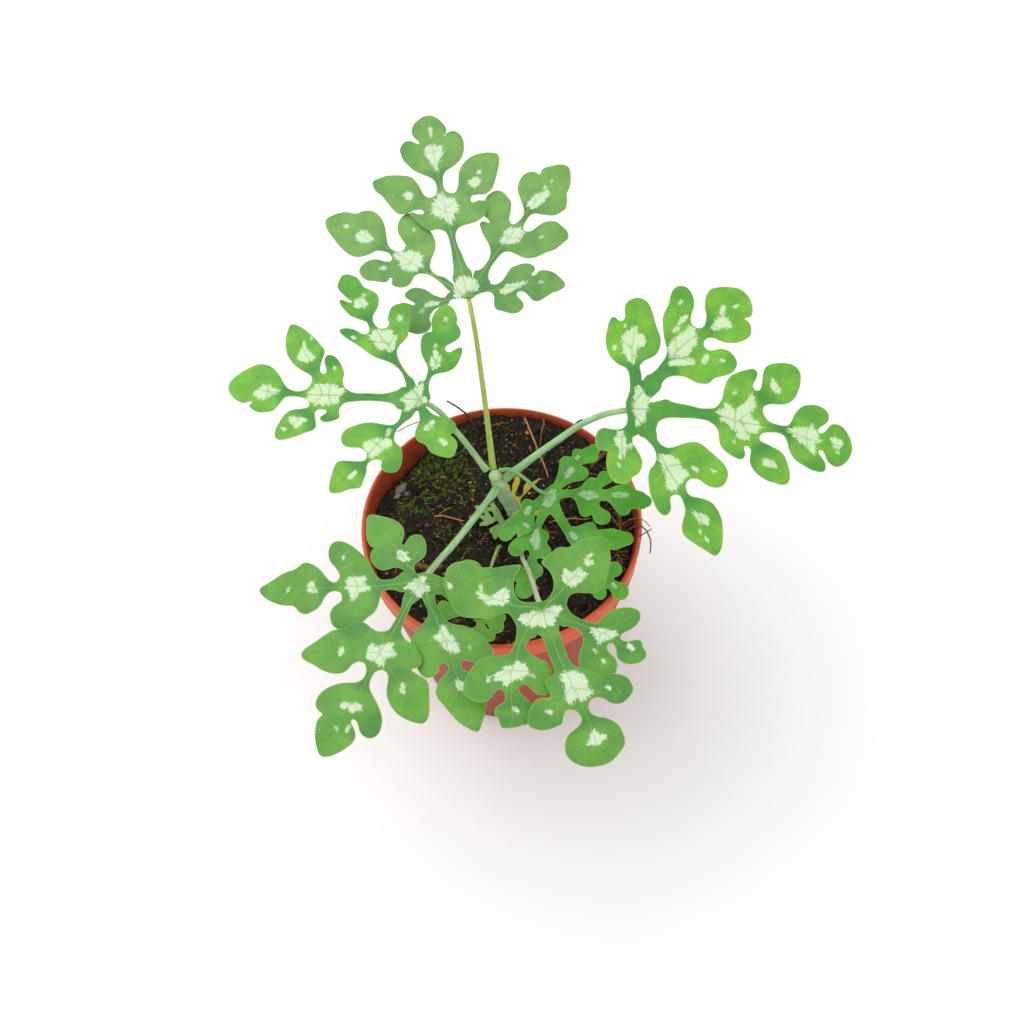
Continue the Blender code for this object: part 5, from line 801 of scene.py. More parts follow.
FRONT_RIGHT_LEAF = {
    "base": (9.5, -59.4, 128.0),
    "heading": 288.0,
    "tilt": (12.0, 280.0),
    "droop": 0.001,
    "blend": 0.5,
    "petiole": [
        (5.35, 1.0, 79.6, 1.0), (5.5, -10.0, 83.8, 0.8), (5.6, -18.5, 88.6, 0.7), (5.8, -22.2, 92.6, 0.7),
        (6.4, -26.5, 97.0, 0.7), (7.8, -42.0, 113.0, 0.68), (8.8, -56.0, 126.4, 0.75),
    ],
    "lobes": {
        "middle": (0.0, 0.8, [
            (6.8, -3.3), (9.7, -3.3), (12.7, -3.4), (15.3, -3.5), (17.2, -3.7), (18, -4.3), (18, -6.2),
            (18.6, -7.3), (20, -7.6), (22, -7.3), (23.1, -7.3), (23.3, -8.4), (22.5, -10.1), (22.7, -11.8),
            (23.8, -13.6), (25.3, -15), (27, -16), (28.6, -16), (29.8, -15), (31, -13.4), (31.5, -11.2),
            (31.5, -9), (31.4, -7.6), (30, -6.6), (28.7, -5.6), (28.5, -4.4), (29.4, -2.8), (31, -2),
            (32.4, -2.2), (33.4, -3.3), (34, -4.9), (34.5, -6.6), (35.5, -8), (37, -9.1), (38.8, -9.7),
            (40.3, -9.6), (42.1, -8.7), (43.6, -7.3), (44.9, -5.4), (45.6, -3.1), (45.9, -0.8), (45.5, 1.6),
            (44.4, 3.8), (43.2, 5.8), (41.5, 6.7), (39.5, 6.9), (37.6, 6.7), (36, 5.8), (34.6, 4.5),
            (33.5, 2.9), (32.5, 1.6), (31.2, 0.9), (29.8, 1), (28.6, 1.8), (28.1, 3.1), (28.4, 4.6),
            (29.5, 5.9), (30.9, 6.8), (31.9, 8.1), (32.3, 9.8), (31.8, 11.7), (30.8, 13.4), (29.7, 14.3),
            (28.2, 14.5), (26.4, 14.2), (25.1, 13.1), (24.1, 11.7), (23.1, 9.7), (22.4, 7.5), (20.9, 5.4),
            (19.2, 3.6), (18.2, 2.3), (16.9, 1.4), (15.1, 1.3), (12.9, 1.3), (10.3, 1.6), (7.8, 1.8),
            (6.8, 2), (4.5, 3.5), (2, 4), (-1, 3), (-2, 0), (-1, -3), (2, -4.5), (5, -4.5),
        ], [
            [(0, 0), (5, -0.7), (10, -0.9), (15, -1), (19, -0.9), (24, -0.8), (29, -0.6), (33, -0.4),
             (38, -0.8), (42.5, -1), (45.3, -1.4)],
            [(23, -1), (26, -6), (29, -10.5), (31.2, -14)], [(24, 0), (27, 5), (29.5, 9.5), (30.8, 12.8)],
        ]),
        "right": (20.0, -0.8, [
            (-0.3, 7.2), (1.3, 6.7), (3.1, 6.9), (4.9, 8), (6.6, 9.5), (8, 11.2), (8.9, 12.7), (8.3, 14),
            (7.4, 15.8), (7, 17.9), (7.3, 20), (7.9, 22.2), (8.9, 24), (10.2, 25), (11.6, 24.7),
            (12.8, 23.7), (13.5, 22.3), (14, 20.3), (14, 18.6), (14.6, 17.2), (15.4, 16.9), (16.3, 17.6),
            (16.9, 19.1), (17.1, 20.6), (17.7, 21.8), (18.9, 22), (19.9, 21.6), (21.2, 21.9), (22.5, 21.5),
            (23.3, 20.4), (23.6, 18.5), (23.1, 16.4), (22.1, 14.9), (20.7, 14), (19.3, 13.9), (17.8, 14.4),
            (16.4, 14.5), (15.5, 14), (15.5, 12.9), (16.6, 12.2), (18.3, 12.5), (19.9, 13.2), (21.5, 13.1),
            (23, 12.2), (24.3, 10.7), (25.2, 8.8), (24.6, 7), (23.2, 5.7), (21.2, 4.6), (19.4, 3.5),
            (17.5, 3.3), (15.4, 4.1), (13.9, 5.4), (12.6, 6.6), (11.1, 7.3), (9.5, 7.3), (8, 6.4),
            (6.7, 4.7), (6.3, 3), (4.5, 1), (2, -1.5), (-1, -1), (-2, 1.5), (-1.8, 4.5),
        ], [
            [(0, 0), (3.5, 3.8), (6.4, 7.2), (9.8, 10.6), (12.2, 13.3), (11, 17.5), (10.3, 22.5)],
            [(12, 13.2), (15.5, 15.8), (20, 18.5)], [(11.5, 12.3), (16, 9.8), (21.5, 8.8)],
        ]),
        "back": (15.0, -1.0, [
            (-2.4, 0.6), (-2.8, 2.8), (-4.1, 4.6), (-6.1, 5.9), (-8.1, 6.4), (-10.1, 6.5), (-12.3, 6.5),
            (-14, 7.6), (-15.2, 9.2), (-15.9, 10.8), (-15.8, 12.6), (-14.9, 14), (-15, 15.9), (-15.4, 17.7),
            (-15.5, 19.9), (-15.1, 22.2), (-14.1, 24.1), (-12.6, 25.3), (-10.8, 25.3), (-9, 24.6),
            (-7.3, 24.1), (-5.9, 23.2), (-4.3, 22), (-2.7, 20.8), (-1, 19.5), (0, 17.8), (0.2, 15.6),
            (-0.4, 13.3), (-1.4, 11.3), (-1.6, 9.6), (-1.1, 8.1), (-0.3, 7.2), (1, 5), (3, 2), (2, -1.5),
            (0, -2.5), (-2, -1.5),
        ], [
            [(0, 0), (-2.2, 4), (-4.4, 8.5), (-6.3, 12.3), (-9.5, 17), (-12.4, 21), (-13.4, 24.3)],
            [(-5.2, 10), (-9.5, 9.5), (-14.3, 9.8)], [(-6.2, 12.2), (-4, 15.5), (-1.5, 18.3)],
        ]),
        "left": (-19.0, -0.8, [
            (6.2, -4.3), (6.2, -6.3), (7, -7.8), (8.5, -8.2), (10.3, -7.4), (12.1, -6.1), (13.5, -4.6),
            (15.5, -4), (17.3, -4.2), (18.7, -4.5), (20.3, -5), (21.6, -6.3), (22.1, -7.9), (21.5, -9.7),
            (20.7, -10.7), (19.4, -11.2), (17.9, -11.9), (17.2, -13), (17.5, -14.3), (18.7, -14.5),
            (20.5, -13.7), (21.8, -13), (23, -12.7), (24.6, -13.1), (26.4, -14.2), (27.7, -15.8),
            (27.5, -17.2), (27.4, -19), (26.8, -20.9), (26.2, -22.6), (24.8, -22.8), (23.5, -22.6),
            (22.5, -23.2), (21.3, -23), (20.3, -22), (20, -20.7), (19.7, -19.5), (18.6, -18.6),
            (17.1, -18.5), (16, -19), (16, -20.3), (16.9, -21.8), (17.7, -23.6), (17.5, -25.4), (16.4, -27),
            (15, -28.3), (13.3, -28.8), (11.5, -28.3), (9.7, -26.8), (8.2, -25.2), (6.9, -23.1),
            (6.2, -20.6), (6.5, -17.9), (7.3, -15.5), (7.6, -13.7), (6.7, -11.9), (5.2, -10.5), (3.2, -9.2),
            (0.9, -8.4), (-1.4, -8.4), (-1.5, -5), (-1.8, -1), (0, 1.5), (3, 1), (5, -1.5),
        ], [
            [(0, 0), (2.1, -5.3), (5.8, -9.1), (9.3, -12), (13.2, -15.1), (18, -17), (22.6, -18.6),
             (26.6, -20.4)],
            [(12, -14.5), (12.8, -19.5), (13.3, -23.5), (13.8, -28)],
            [(12.5, -14), (14.7, -9.5), (20, -6.6)],
        ]),
        "inner": (-16.0, -1.1, [
            (-3.1, -0.8), (-3.7, -2.8), (-5.1, -4.6), (-6.8, -5.2), (-8.8, -5.1), (-10.9, -4.3),
            (-12.5, -3.3), (-13.7, -2.2), (-14.9, -2), (-15.8, -3.1), (-16.5, -4.8), (-16.9, -6.6),
            (-17.3, -8.2), (-18.1, -9.6), (-18.7, -11.4), (-19.9, -12.7), (-21.3, -14), (-22.4, -15.8),
            (-22.8, -17.8), (-22.3, -19.6), (-20.9, -21), (-19, -22.1), (-16.7, -22.8), (-14.6, -22.9),
            (-12.3, -22.7), (-9.9, -22.5), (-7.9, -21.5), (-6.4, -19.7), (-5.3, -17.6), (-4.1, -15.7),
            (-3.4, -13.7), (-3.8, -12.3), (-3.7, -10.6), (-3, -9.1), (-1.6, -8.4), (0.5, -6), (2, -3),
            (2, 0), (0, 2), (-2.5, 1),
        ], [
            [(0, 0), (-3.2, -4.6), (-6, -8.4), (-9, -11.4), (-13, -14.6), (-17, -17.5), (-21.2, -19)],
            [(-7, -9.3), (-11, -6.3), (-14.6, -4)], [(-9, -11.4), (-8.7, -16), (-9.8, -21)],
        ]),
    },
    "patches": {
        "": [
            [(-1.6, -5.7, 1.2), (0.8, -3.4, 2), (2.2, -0.6, 2.4), (3.2, 0.8, 1.6)],
            [(2, 0, 2), (0.9, 3.2, 1.4), (-0.2, 4.8, 0.7)],
        ],
        "middle": [
            [(19.8, -1.6, 1.4), (22.6, 0.2, 3.2), (25.2, 0.6, 2.6), (26, 2.9, 1)],
            [(24, -1.4, 2.2), (26.3, -3.2, 1)], [(21, 0.5, 2), (22, 2.6, 1)],
            [(36.5, -0.4, 0.6), (38.6, -0.6, 1.8), (39.6, -1.2, 0.9)],
            [(38.9, 2, 0.5), (38.7, 0, 1.2), (39, -3, 0.6)], [(26.6, 7.7, 0.5), (27.4, 8.4, 0.6)],
            [(26.6, -10, 0.5), (27.3, -9, 0.6)],
        ],
        "right": [
            [(10.4, 10.8, 0.8), (12.2, 12.3, 2), (13, 14.6, 1.4), (13.4, 16.4, 0.7)],
            [(12.6, 12, 1.4), (14.2, 11.1, 0.6)], [(15.4, 8.8, 0.4), (16.2, 9.2, 0.4)],
            [(18, 18.4, 0.8), (19.2, 19, 0.6)], [(18.8, 10, 0.5), (19.6, 10.3, 0.5)],
        ],
        "back": [
            [(-8.4, 10.7, 0.8), (-6.6, 10, 1.5), (-5, 10.8, 1.6), (-5.4, 13, 1.5), (-6, 15, 0.9)],
            [(-6, 12.4, 1.2), (-7.6, 14.2, 0.7)], [(-9.8, 17.2, 0.6), (-8.6, 17.3, 0.9), (-8.2, 18.6, 0.5)],
            [(-10.2, 18.6, 0.5), (-10.4, 19.4, 0.4)],
        ],
        "left": [
            [(12.2, -18.6, 1), (13, -15.6, 2.2), (13.3, -12.4, 2.2), (14.2, -10.8, 0.9)],
            [(13.6, -15.5, 1.5), (14.8, -17.2, 0.9)], [(12.2, -13, 1.4), (10.8, -12, 0.6)],
            [(11.6, -21, 0.6), (12.4, -21.6, 0.5)], [(22, -18, 0.5), (23.2, -17.4, 0.7)],
            [(15.5, -9.9, 0.4), (16.2, -9.4, 0.4)],
        ],
        "inner": [
            [(-11.8, -14.2, 1), (-9.9, -13.2, 1), (-8.2, -12, 1.4), (-7.8, -9.2, 2), (-9.6, -7.8, 1.4)],
            [(-9, -10.2, 1.2), (-8.2, -8, 1.2)], [(-13.2, -13.2, 0.5), (-13.9, -13, 0.6)],
            [(-17.4, -21, 0.6), (-16.6, -21.2, 0.8)],
        ],
    },
}

LOW_LEAF = {
    "base": (14.9, -0.1, 94.0),
    "heading": 355.8,
    "tilt": (8.0, 300.0),
    "droop": 0.0012,
    "blend": 1.1,
    "petiole": [
        (0.9, 6.2, 100.7, 0.65), (4.6, 4.2, 103.2, 0.6), (8.6, 1.9, 101.0, 0.55), (13.4, 0.5, 94.9, 0.55),
    ],
    "lobes": {
        "middle": (0.0, 0.0, [
            [(0.8, -1, 2.5), (4, 0.5, 1.4), (7.5, 0.7, 1.1), (10, 0.5, 2), (13.5, 0.3, 3), (17, 0.5, 1.6),
             (19.5, 0.5, 1.8), (23, 0.2, 3.3), (29, -0.8, 3.1), (31, -0.8, 2)],
            [(12.5, 1, 2.5), (14, 4.6, 1.8)], [(14.5, 2, 2), (16.4, 4.2, 1.3), (18.6, 6.7, 2.2)],
            [(11.5, -1, 2.4), (11.9, -5.4, 1.7)], [(14, -1.5, 2), (15.2, -4.3, 1.5), (17, -7, 2.7)],
            [(22.5, 0.5, 3), (25.3, 2.9, 1.9)], [(22.5, -0.5, 3), (23.9, -3.9, 2.3)],
        ]),
        "back": (7.0, 0.8, [
            [(0.8, -0.5, 2.4), (3.5, 3.2, 1.3), (5.5, 6, 2.2), (6.8, 7.8, 2.6)],
            [(6.3, 8, 2.2), (6.3, 11.4, 2)], [(7, 7, 2.4), (10.9, 7.3, 2.2)],
            [(7.6, 9, 1.8), (9.6, 11.6, 1.5), (13.5, 14, 2.8), (15.3, 16.4, 1.8)],
            [(9.8, 12, 1.5), (9.7, 14.7, 1.3)],
        ]),
        "front": (0.0, 0.0, [
            [(1, -2, 2.4), (3.5, -7, 1.4), (6, -11, 1.3), (8.5, -13.8, 1.9), (14, -14.5, 2.2),
             (20.5, -14.5, 3.4), (24.5, -14, 2.2)],
            [(8, -13, 1.8), (13.2, -11.2, 1.9)],
            [(8, -14, 1.7), (10.5, -20, 1.2), (14.5, -26.5, 2.2), (20, -29.6, 1.5), (22, -31.3, 2.8)],
            [(14.5, -26, 2), (20.6, -24.6, 2.2)], [(14, -27, 2), (15.8, -32.4, 2)],
        ]),
        "front_inner": (0.0, -0.3, [
            [(0.5, -2, 2.4), (-2, -8, 1.2), (-3.5, -12, 1), (-3.9, -15.5, 2.2), (-4.4, -20, 0.9),
             (-5.6, -25.8, 2.1), (-7.2, -31.5, 2.7)],
            [(-5, -15.5, 2), (-8.5, -16.5, 2.4), (-9.9, -18.3, 2.1)],
            [(-3.4, -14.2, 1.6), (-1.3, -14, 1.7)], [(-3, -16, 2), (-1.3, -19, 2.3)],
            [(-5.8, -24.4, 1.8), (-3.7, -25.2, 2.1)], [(-6.2, -26.4, 1.6), (-9.4, -27, 1.6)],
        ]),
        "inner": (-9.0, 1.1, [
            [(-0.3, -1.5, 2), (-4, -4, 1), (-6, -6, 2), (-6.5, -10.6, 2.5), (-6.8, -12.4, 2.1)],
            [(-6, -4.8, 1.8), (-6.2, -3.2, 1.6)], [(-6.6, -7, 2), (-10.8, -11, 2.6), (-13, -14, 2)],
        ]),
    },
    "patches": {
        "": [[(0, -3.2, 1.2), (1, -0.8, 1.7), (2, 1.2, 1)]],
        "middle": [
            [(10.5, 0.5, 0.8), (13, 0.5, 1.7), (15.5, 0.5, 0.8)],
            [(21, 0.5, 0.7), (23, 0.5, 1.1), (25.2, 0.5, 0.6)],
        ],
        "back": [[(6.4, 6.6, 0.8), (7.8, 8.8, 1)], [(9.6, 12.6, 0.6), (10, 13.4, 0.6)]],
        "front": [[(7.5, -12.8, 0.7), (8.5, -14, 1)], [(20, -29.4, 0.6), (20.8, -30.2, 0.6)]],
        "front_inner": [[(-3.4, -12.5, 0.8), (-3.8, -15.5, 1.6), (-3.6, -17.8, 0.8)]],
        "inner": [[(-5.6, -4.6, 0.9), (-6.4, -6.4, 0.9)], [(-7, -10.6, 0.6), (-6.2, -11.5, 0.6)]],
    },
}

WITHERED_LEAF = {
    "base": (7.6, 6.6, 77.4),
    "heading": 82.0,
    "tilt": (14.0, 250.0),
    "droop": -0.01,
    "blend": 0.3,
    "petiole": [],
    "lobes": {
        "middle": (0.0, 0.0, [
            (-1.7, 1.3), (-0.6, 2.7), (0.7, 3.8), (2.1, 4.9), (3.6, 5.8), (5, 6.3), (5.8, 6.2), (6.7, 5.7),
            (7.5, 5.3), (7.4, 4.9), (6.7, 4.8), (5.8, 4.6), (4.8, 4.2), (5.2, 4), (6.7, 4), (8.3, 3.5),
            (9.7, 3.1), (10.2, 2.4), (9.6, 1.6), (8.3, 1.5), (7, 1.9), (5.8, 2.4), (4.7, 2.8), (4, 2.8),
            (3.4, 2.2), (3.5, 1.1), (4.1, 0.6), (4.9, 0.35), (6.1, 0.3), (7.3, -0.1), (8.2, -0.9),
            (7.8, -1.9), (8.3, -2.9), (9.5, -4.9), (9.1, -5.1), (7.7, -3.6), (7, -2.6), (6.3, -2.2),
            (5.2, -1.2), (4, 0), (2.7, 1), (1.6, 1.1), (0.3, 0.8), (-0.8, 0), (-1.8, -0.2), (-2, 0.4),
        ], [
            [(-1.5, 0.8), (0.8, 2.4), (2.6, 2.9), (5.5, 3.3), (9.6, 2.4)],
            [(0.8, 2.4), (3.5, 4.6), (7, 5.2)], [(0.8, 2.2), (3.2, 1.2), (6.3, -1), (9.2, -4.9)],
        ]),
        "tail": (0.0, 0.0, [
            [(-0.2, 1, 0.9), (-1, -0.6, 0.7), (-1.8, -3.4, 0.8), (-2.1, -4.6, 0.9), (-2.2, -5.2, 0.6)],
        ]),
    },
    "patches": {},
}

YOUNG_LEAF = {
    "base": (0.2, -0.8, 78.8),
    "heading": 112.0,
    "tilt": (18.0, 200.0),
    "droop": 0.004,
    "blend": 0.5,
    "petiole": [(0.9, -2.2, 72.0, 0.6), (0.9, -2.2, 75.0, 0.6), (0.6, -1.5, 78.2, 0.55)],
    "lobes": {
        "middle": (0.0, 0.0, [
            [(-0.2, -0.4, 0.8), (2.5, -0.6, 0.8), (4.9, -0.5, 0.95), (7, -0.6, 0.8), (8.7, -0.6, 0.6)],
            [(6, -0.4, 0.6), (7.2, 0, 0.5), (8, 1.1, 0.5), (9.6, 2.6, 0.45), (11.4, 4.2, 0.5)],
        ]),
        "left": (0.0, 0.0, [
            [(3.4, -0.4, 0.6), (3.6, 0.6, 0.65), (3.8, 1.8, 0.7), (4, 3, 0.85), (4.2, 4.1, 0.75),
             (4.9, 5.7, 0.4)],
            [(4.2, 2.6, 0.7), (5.8, 2.3, 0.6), (8.2, 2.5, 0.4)],
            [(4.6, 3.2, 0.6), (6.6, 4, 0.45), (8.3, 4.9, 0.4)],
        ]),
        "left_low": (0.0, 0.0, [
            [(0.6, -0.2, 0.6), (0.2, 1.2, 1.1), (-0.1, 2.4, 1.5), (-1.4, 3.3, 0.9), (-2.1, 3.8, 0.45)],
            [(0, 2.4, 1.4), (0.8, 3.5, 0.7)],
        ]),
    },
    "patches": {},
}

FRONT_SPROUT = {
    "base": (-8.6, -36.2, 87.6),
    "heading": 262.0,
    "tilt": (6.0, 270.0),
    "droop": 0.004,
    "blend": 1.0,
    "petiole": [
        (-0.9, -5.6, 72.5, 0.6), (-1.1, -6.3, 75.5, 0.58), (-4.2, -16.4, 80.8, 0.55),
        (-8.1, -33.8, 86.8, 0.55),
    ],
    "lobes": {
        "middle": (0.0, 0.0, [
            [(0.5, 0, 1.8), (4, 0.4, 1.1), (7, 0.6, 2), (9.6, 0.4, 1.7)], [(6.6, 1, 1.6), (7.6, 3.4, 1.5)],
            [(6.6, 0, 1.6), (7, -2.6, 1.4)],
        ]),
        "left": (0.0, 0.0, [
            [(0.8, 0.5, 1.7), (2.4, 3.2, 1.2), (4.2, 5.2, 2.1)], [(3, 4.2, 1.6), (1.2, 6.2, 1.5)],
        ]),
        "right": (0.0, 0.0, [
            [(0.5, -0.5, 1.6), (0.2, -5, 1), (0, -9.2, 2), (-1.6, -11.6, 1.5)],
            [(0, -8.6, 1.6), (1.8, -11, 1.4)],
        ]),
    },
    "patches": {},
}


def rgb(red, green, blue):
    """A colour as seen on a screen, 0 to 255, turned into light amounts."""
    light = []
    for part in (red, green, blue):
        part /= 255
        light.append(part / 12.92 if part <= 0.04045 else ((part + 0.055) / 1.055) ** 2.4)
    return (*light, 1.0)


class Finish:
    """A material and short calls that add nodes to it. Values may be numbers, colours or sockets."""

    def __init__(self, name):
        self.material = bpy.data.materials.new(name)
        self.material.use_nodes = True
        self.tree = self.material.node_tree
        self.shader = self.tree.nodes["Principled BSDF"]
        self.end = self.tree.nodes["Material Output"]

    def feed(self, socket, value):
        if isinstance(value, bpy.types.NodeSocket):
            self.tree.links.new(value, socket)
        else:
            socket.default_value = value

    def node(self, kind, **settings):
        made = self.tree.nodes.new("ShaderNode" + kind)
        for key, value in settings.items():
            setattr(made, key, value)
        return made

    def read(self, name, vector=False):
        made = self.node("Attribute", attribute_name=name)
        return made.outputs["Vector" if vector else "Fac"]

    def place(self):
        return self.node("TexCoord").outputs["Object"]

    def math(self, operation, first, second=0.0, third=0.0):
        made = self.node("Math", operation=operation)
        for socket, value in zip(made.inputs, (first, second, third)):
            self.feed(socket, value)
        return made.outputs[0]

    def times(self, first, second):
        return self.math("MULTIPLY", first, second)

    def scaled_sum(self, value, factor, added):
        return self.math("MULTIPLY_ADD", value, factor, added)

    def stretch(self, vector, amounts):
        made = self.node("VectorMath", operation="MULTIPLY")
        self.feed(made.inputs[0], vector)
        self.feed(made.inputs[1], amounts)
        return made.outputs[0]

    def moved(self, vector, by, amount):
        made = self.node("VectorMath", operation="MULTIPLY_ADD")
        self.feed(made.inputs[0], by)
        made.inputs[1].default_value = (amount, amount, amount)
        self.feed(made.inputs[2], vector)
        return made.outputs[0]

    def noise(self, vector, scale, detail, rough=0.5, colour=False):
        made = self.node("TexNoise")
        self.feed(made.inputs["Vector"], vector)
        made.inputs["Scale"].default_value = scale
        made.inputs["Detail"].default_value = detail
        made.inputs["Roughness"].default_value = rough
        return made.outputs["Color" if colour else 0]

    def cells(self, vector, scale, feature="DISTANCE_TO_EDGE"):
        made = self.node("TexVoronoi", feature=feature)
        self.feed(made.inputs["Vector"], vector)
        made.inputs["Scale"].default_value = scale
        return made.outputs["Distance"]

    def step(self, value, low, high, to_low=0.0, to_high=1.0):
        made = self.node("MapRange", interpolation_type="SMOOTHSTEP")
        for socket, item in zip(made.inputs, (value, low, high, to_low, to_high)):
            self.feed(socket, item)
        return made.outputs[0]

    def fade(self, value, low, high, amount=1.0):
        """The amount up to the low value, and nought from the high value on."""
        return self.step(value, low, high, amount, 0.0)

    def mix(self, share, first, second):
        made = self.node("Mix", data_type="RGBA")
        self.feed(made.inputs[0], share)
        self.feed(made.inputs[6], first)
        self.feed(made.inputs[7], second)
        return made.outputs[2]

    def bump(self, height, distance, strength, below=None):
        made = self.node("Bump")
        made.inputs["Strength"].default_value = strength
        made.inputs["Distance"].default_value = distance * MM
        self.feed(made.inputs["Height"], height)
        if below is not None:
            self.feed(made.inputs["Normal"], below)
        return made.outputs[0]

    def surface(self, colour, roughness, normal=None, *, specular, through=0.0):
        """Sets the shader, with a share of the light let through, and gives the finished material."""
        self.feed(self.shader.inputs["Base Color"], colour)
        self.feed(self.shader.inputs["Roughness"], roughness)
        self.shader.inputs["Specular IOR Level"].default_value = specular
        if normal is not None:
            self.feed(self.shader.inputs["Normal"], normal)
        if through:
            light = self.node("BsdfTranslucent")
            self.feed(light.inputs["Color"], colour)
            self.feed(light.inputs["Normal"], normal)
            both = self.node("MixShader")
            both.inputs[0].default_value = through
            self.tree.links.new(self.shader.outputs[0], both.inputs[1])
            self.tree.links.new(light.outputs[0], both.inputs[2])
            self.tree.links.new(both.outputs[0], self.end.inputs["Surface"])
        return self.material


def mesh_piece(name, shape, finishes, which=None, replaces=None):
    """A mesh object from a shape's points, faces and values, riding on the part."""
    points, faces, values = shape
    mesh = bpy.data.meshes.new(name)
    mesh.from_pydata((np.asarray(points) * MM).tolist(), [], [list(face) for face in faces])
    for key, value in values.items():
        value = np.asarray(value, np.float32)
        vector = value.ndim == 2
        made = mesh.attributes.new(key, "FLOAT_VECTOR" if vector else "FLOAT", "POINT")
        made.data.foreach_set("vector" if vector else "value", value.ravel())
    for finish in finishes:
        mesh.materials.append(finish)
    if which is not None:
        mesh.polygons.foreach_set("material_index", np.asarray(which, np.int32))
    mesh.update()
    mesh.shade_smooth()
    obj = bpy.data.objects.new(name, mesh)
    bpy.context.scene.collection.objects.link(obj)
    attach(obj, "root")
    if replaces:
        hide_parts(replaces)
    return obj


def joined(shapes):
    """Several shapes as one. A value that a shape lacks is nought there."""
    faces = []
    start = 0
    for points, rings, _ in shapes:
        faces += [[index + start for index in ring] for ring in rings]
        start += len(points)
    samples = {name: np.asarray(value) for shape in shapes for name, value in shape[2].items()}
    values = {}
    for name, sample in samples.items():
        blanks = [np.zeros((len(shape[0]), *sample.shape[1:])) for shape in shapes]
        values[name] = np.concatenate([shape[2].get(name, blank) for shape, blank in zip(shapes, blanks)])
    return np.concatenate([shape[0] for shape in shapes]), faces, values


def toned(shape, tone):
    """A shape that has one tone all over."""
    points, faces, values = shape
    return points, faces, {**values, "tone": np.full(len(points), tone)}


def unit(vectors):
    return vectors / np.maximum(np.linalg.norm(vectors, axis=-1, keepdims=True), 1e-9)


def eased(value, low, high):
    """Nought up to the low value, one from the high value on, and a soft step between."""
    share = np.clip((value - low) / (high - low), 0, 1)
    return share * share * (3 - 2 * share)


def bell(value, width):
    return np.exp(-((value / width) ** 2))


def smooth_line(points, steps):
    """Places and radii on a smooth curve through (x, y, z, radius) points."""
    points = np.array(points, float)
    before = np.vstack([2 * points[0] - points[1], points[:-1]])
    after = np.vstack([points[1:], 2 * points[-1] - points[-2]])
    back = points[:, :3] - before[:, :3]
    ahead = after[:, :3] - points[:, :3]
    aim = unit(unit(back) + unit(ahead)) / CURVE_EASE
    out = []
    for i in range(len(points) - 1):
        length = np.linalg.norm(ahead[i])
        a = points[i, :3]
        d = points[i + 1, :3]
        b = a + aim[i] * length
        c = d - aim[i + 1] * length
        for t in np.arange(steps) / steps:
            place = (1 - t) ** 3 * a + 3 * (1 - t) ** 2 * t * b + 3 * (1 - t) * t * t * c + t**3 * d
            ease = t * t * (3 - 2 * t)
            out.append([*place, points[i, 3] * (1 - ease) + points[i + 1, 3] * ease])
    out.append(list(points[-1]))
    return np.array(out)


def tube_faces(rings, sides):
    """Faces between rings of points and over both ends, whose middle points come last."""
    faces = []
    last = (rings - 1) * sides
    for j in range(sides):
        k = (j + 1) % sides
        faces += [(i + j, i + k, i + sides + k, i + sides + j) for i in range(0, last, sides)]
        faces.append((k, j, rings * sides))
        faces.append((last + j, last + k, rings * sides + 1))
    return faces


def sweep(line, sides, bumps=0.0, seed=0):
    """A closed round stalk along (x, y, z, radius) points, with its place round and along it as a value."""
    places = line[:, :3]
    aim = unit(np.gradient(places, axis=0))
    side = np.cross(aim[0], (0.31, 0.77, 0.55))
    rights = []
    for direction in aim:
        side = unit(side - direction * (side @ direction))
        rights.append(side)
    rights = np.array(rights)
    ups = np.cross(aim, rights)
    angles = math.tau * np.arange(sides) / sides
    round_x, round_y = np.cos(angles), np.sin(angles)
    length = np.concatenate([[0], np.cumsum(np.linalg.norm(np.diff(places, axis=0), axis=1))])
    radii = np.repeat(line[:, 3:4], sides, axis=1)
    if bumps:
        for i in range(len(line)):
            for j in range(sides):
                spot = Vector((round_x[j] * 1.7, round_y[j] * 1.7, length[i] * 0.45 + seed))
                radii[i, j] *= 1 + bumps * noise.noise(spot)
    across = rights[:, None] * round_x[None, :, None] + ups[:, None] * round_y[None, :, None]
    rings = places[:, None] + radii[:, :, None] * across
    foot = places[0] - aim[0] * line[0, 3] * CAP_SHARE
    head = places[-1] + aim[-1] * line[-1, 3] * CAP_SHARE
    points = np.concatenate([rings.reshape(-1, 3), [foot, head]])
    spots = np.stack([np.tile(round_x, len(line)), np.tile(round_y, len(line)), np.repeat(length, sides)], 1)
    spots = np.vstack([spots, (0, 0, 0), (0, 0, length[-1])])
    return points, tube_faces(len(line), sides), {"flat": spots}


def stroke_gap(points, stroke):
    """Distance from each point to a rib's edge, below nought inside the rib."""
    best = np.full(len(points), FARTHEST)
    for a, b in zip(stroke, stroke[1:]):
        along = b[:2] - a[:2]
        share = np.clip((points - a[:2]) @ along / max(along @ along, 1e-9), 0, 1)
        off = points - a[:2] - share[:, None] * along
        best = np.minimum(best, np.hypot(off[:, 0], off[:, 1]) - (a[2] + (b[2] - a[2]) * share))
    return best


def vein_reach(points, line):
    """Distance from each point to a vein's line, and how far along the vein that is."""
    best = np.full(len(points), FARTHEST)
    reach = np.zeros(len(points))
    start = 0.0
    for a, b in zip(line, line[1:]):
        along = b - a
        length = math.hypot(*along)
        share = np.clip((points - a) @ along / max(length**2, 1e-9), 0, 1)
        off = points - a - share[:, None] * along
        away = np.hypot(off[:, 0], off[:, 1])
        reach = np.where(away < best, start + share * length, reach)
        best = np.minimum(best, away)
        start += length
    return best, reach


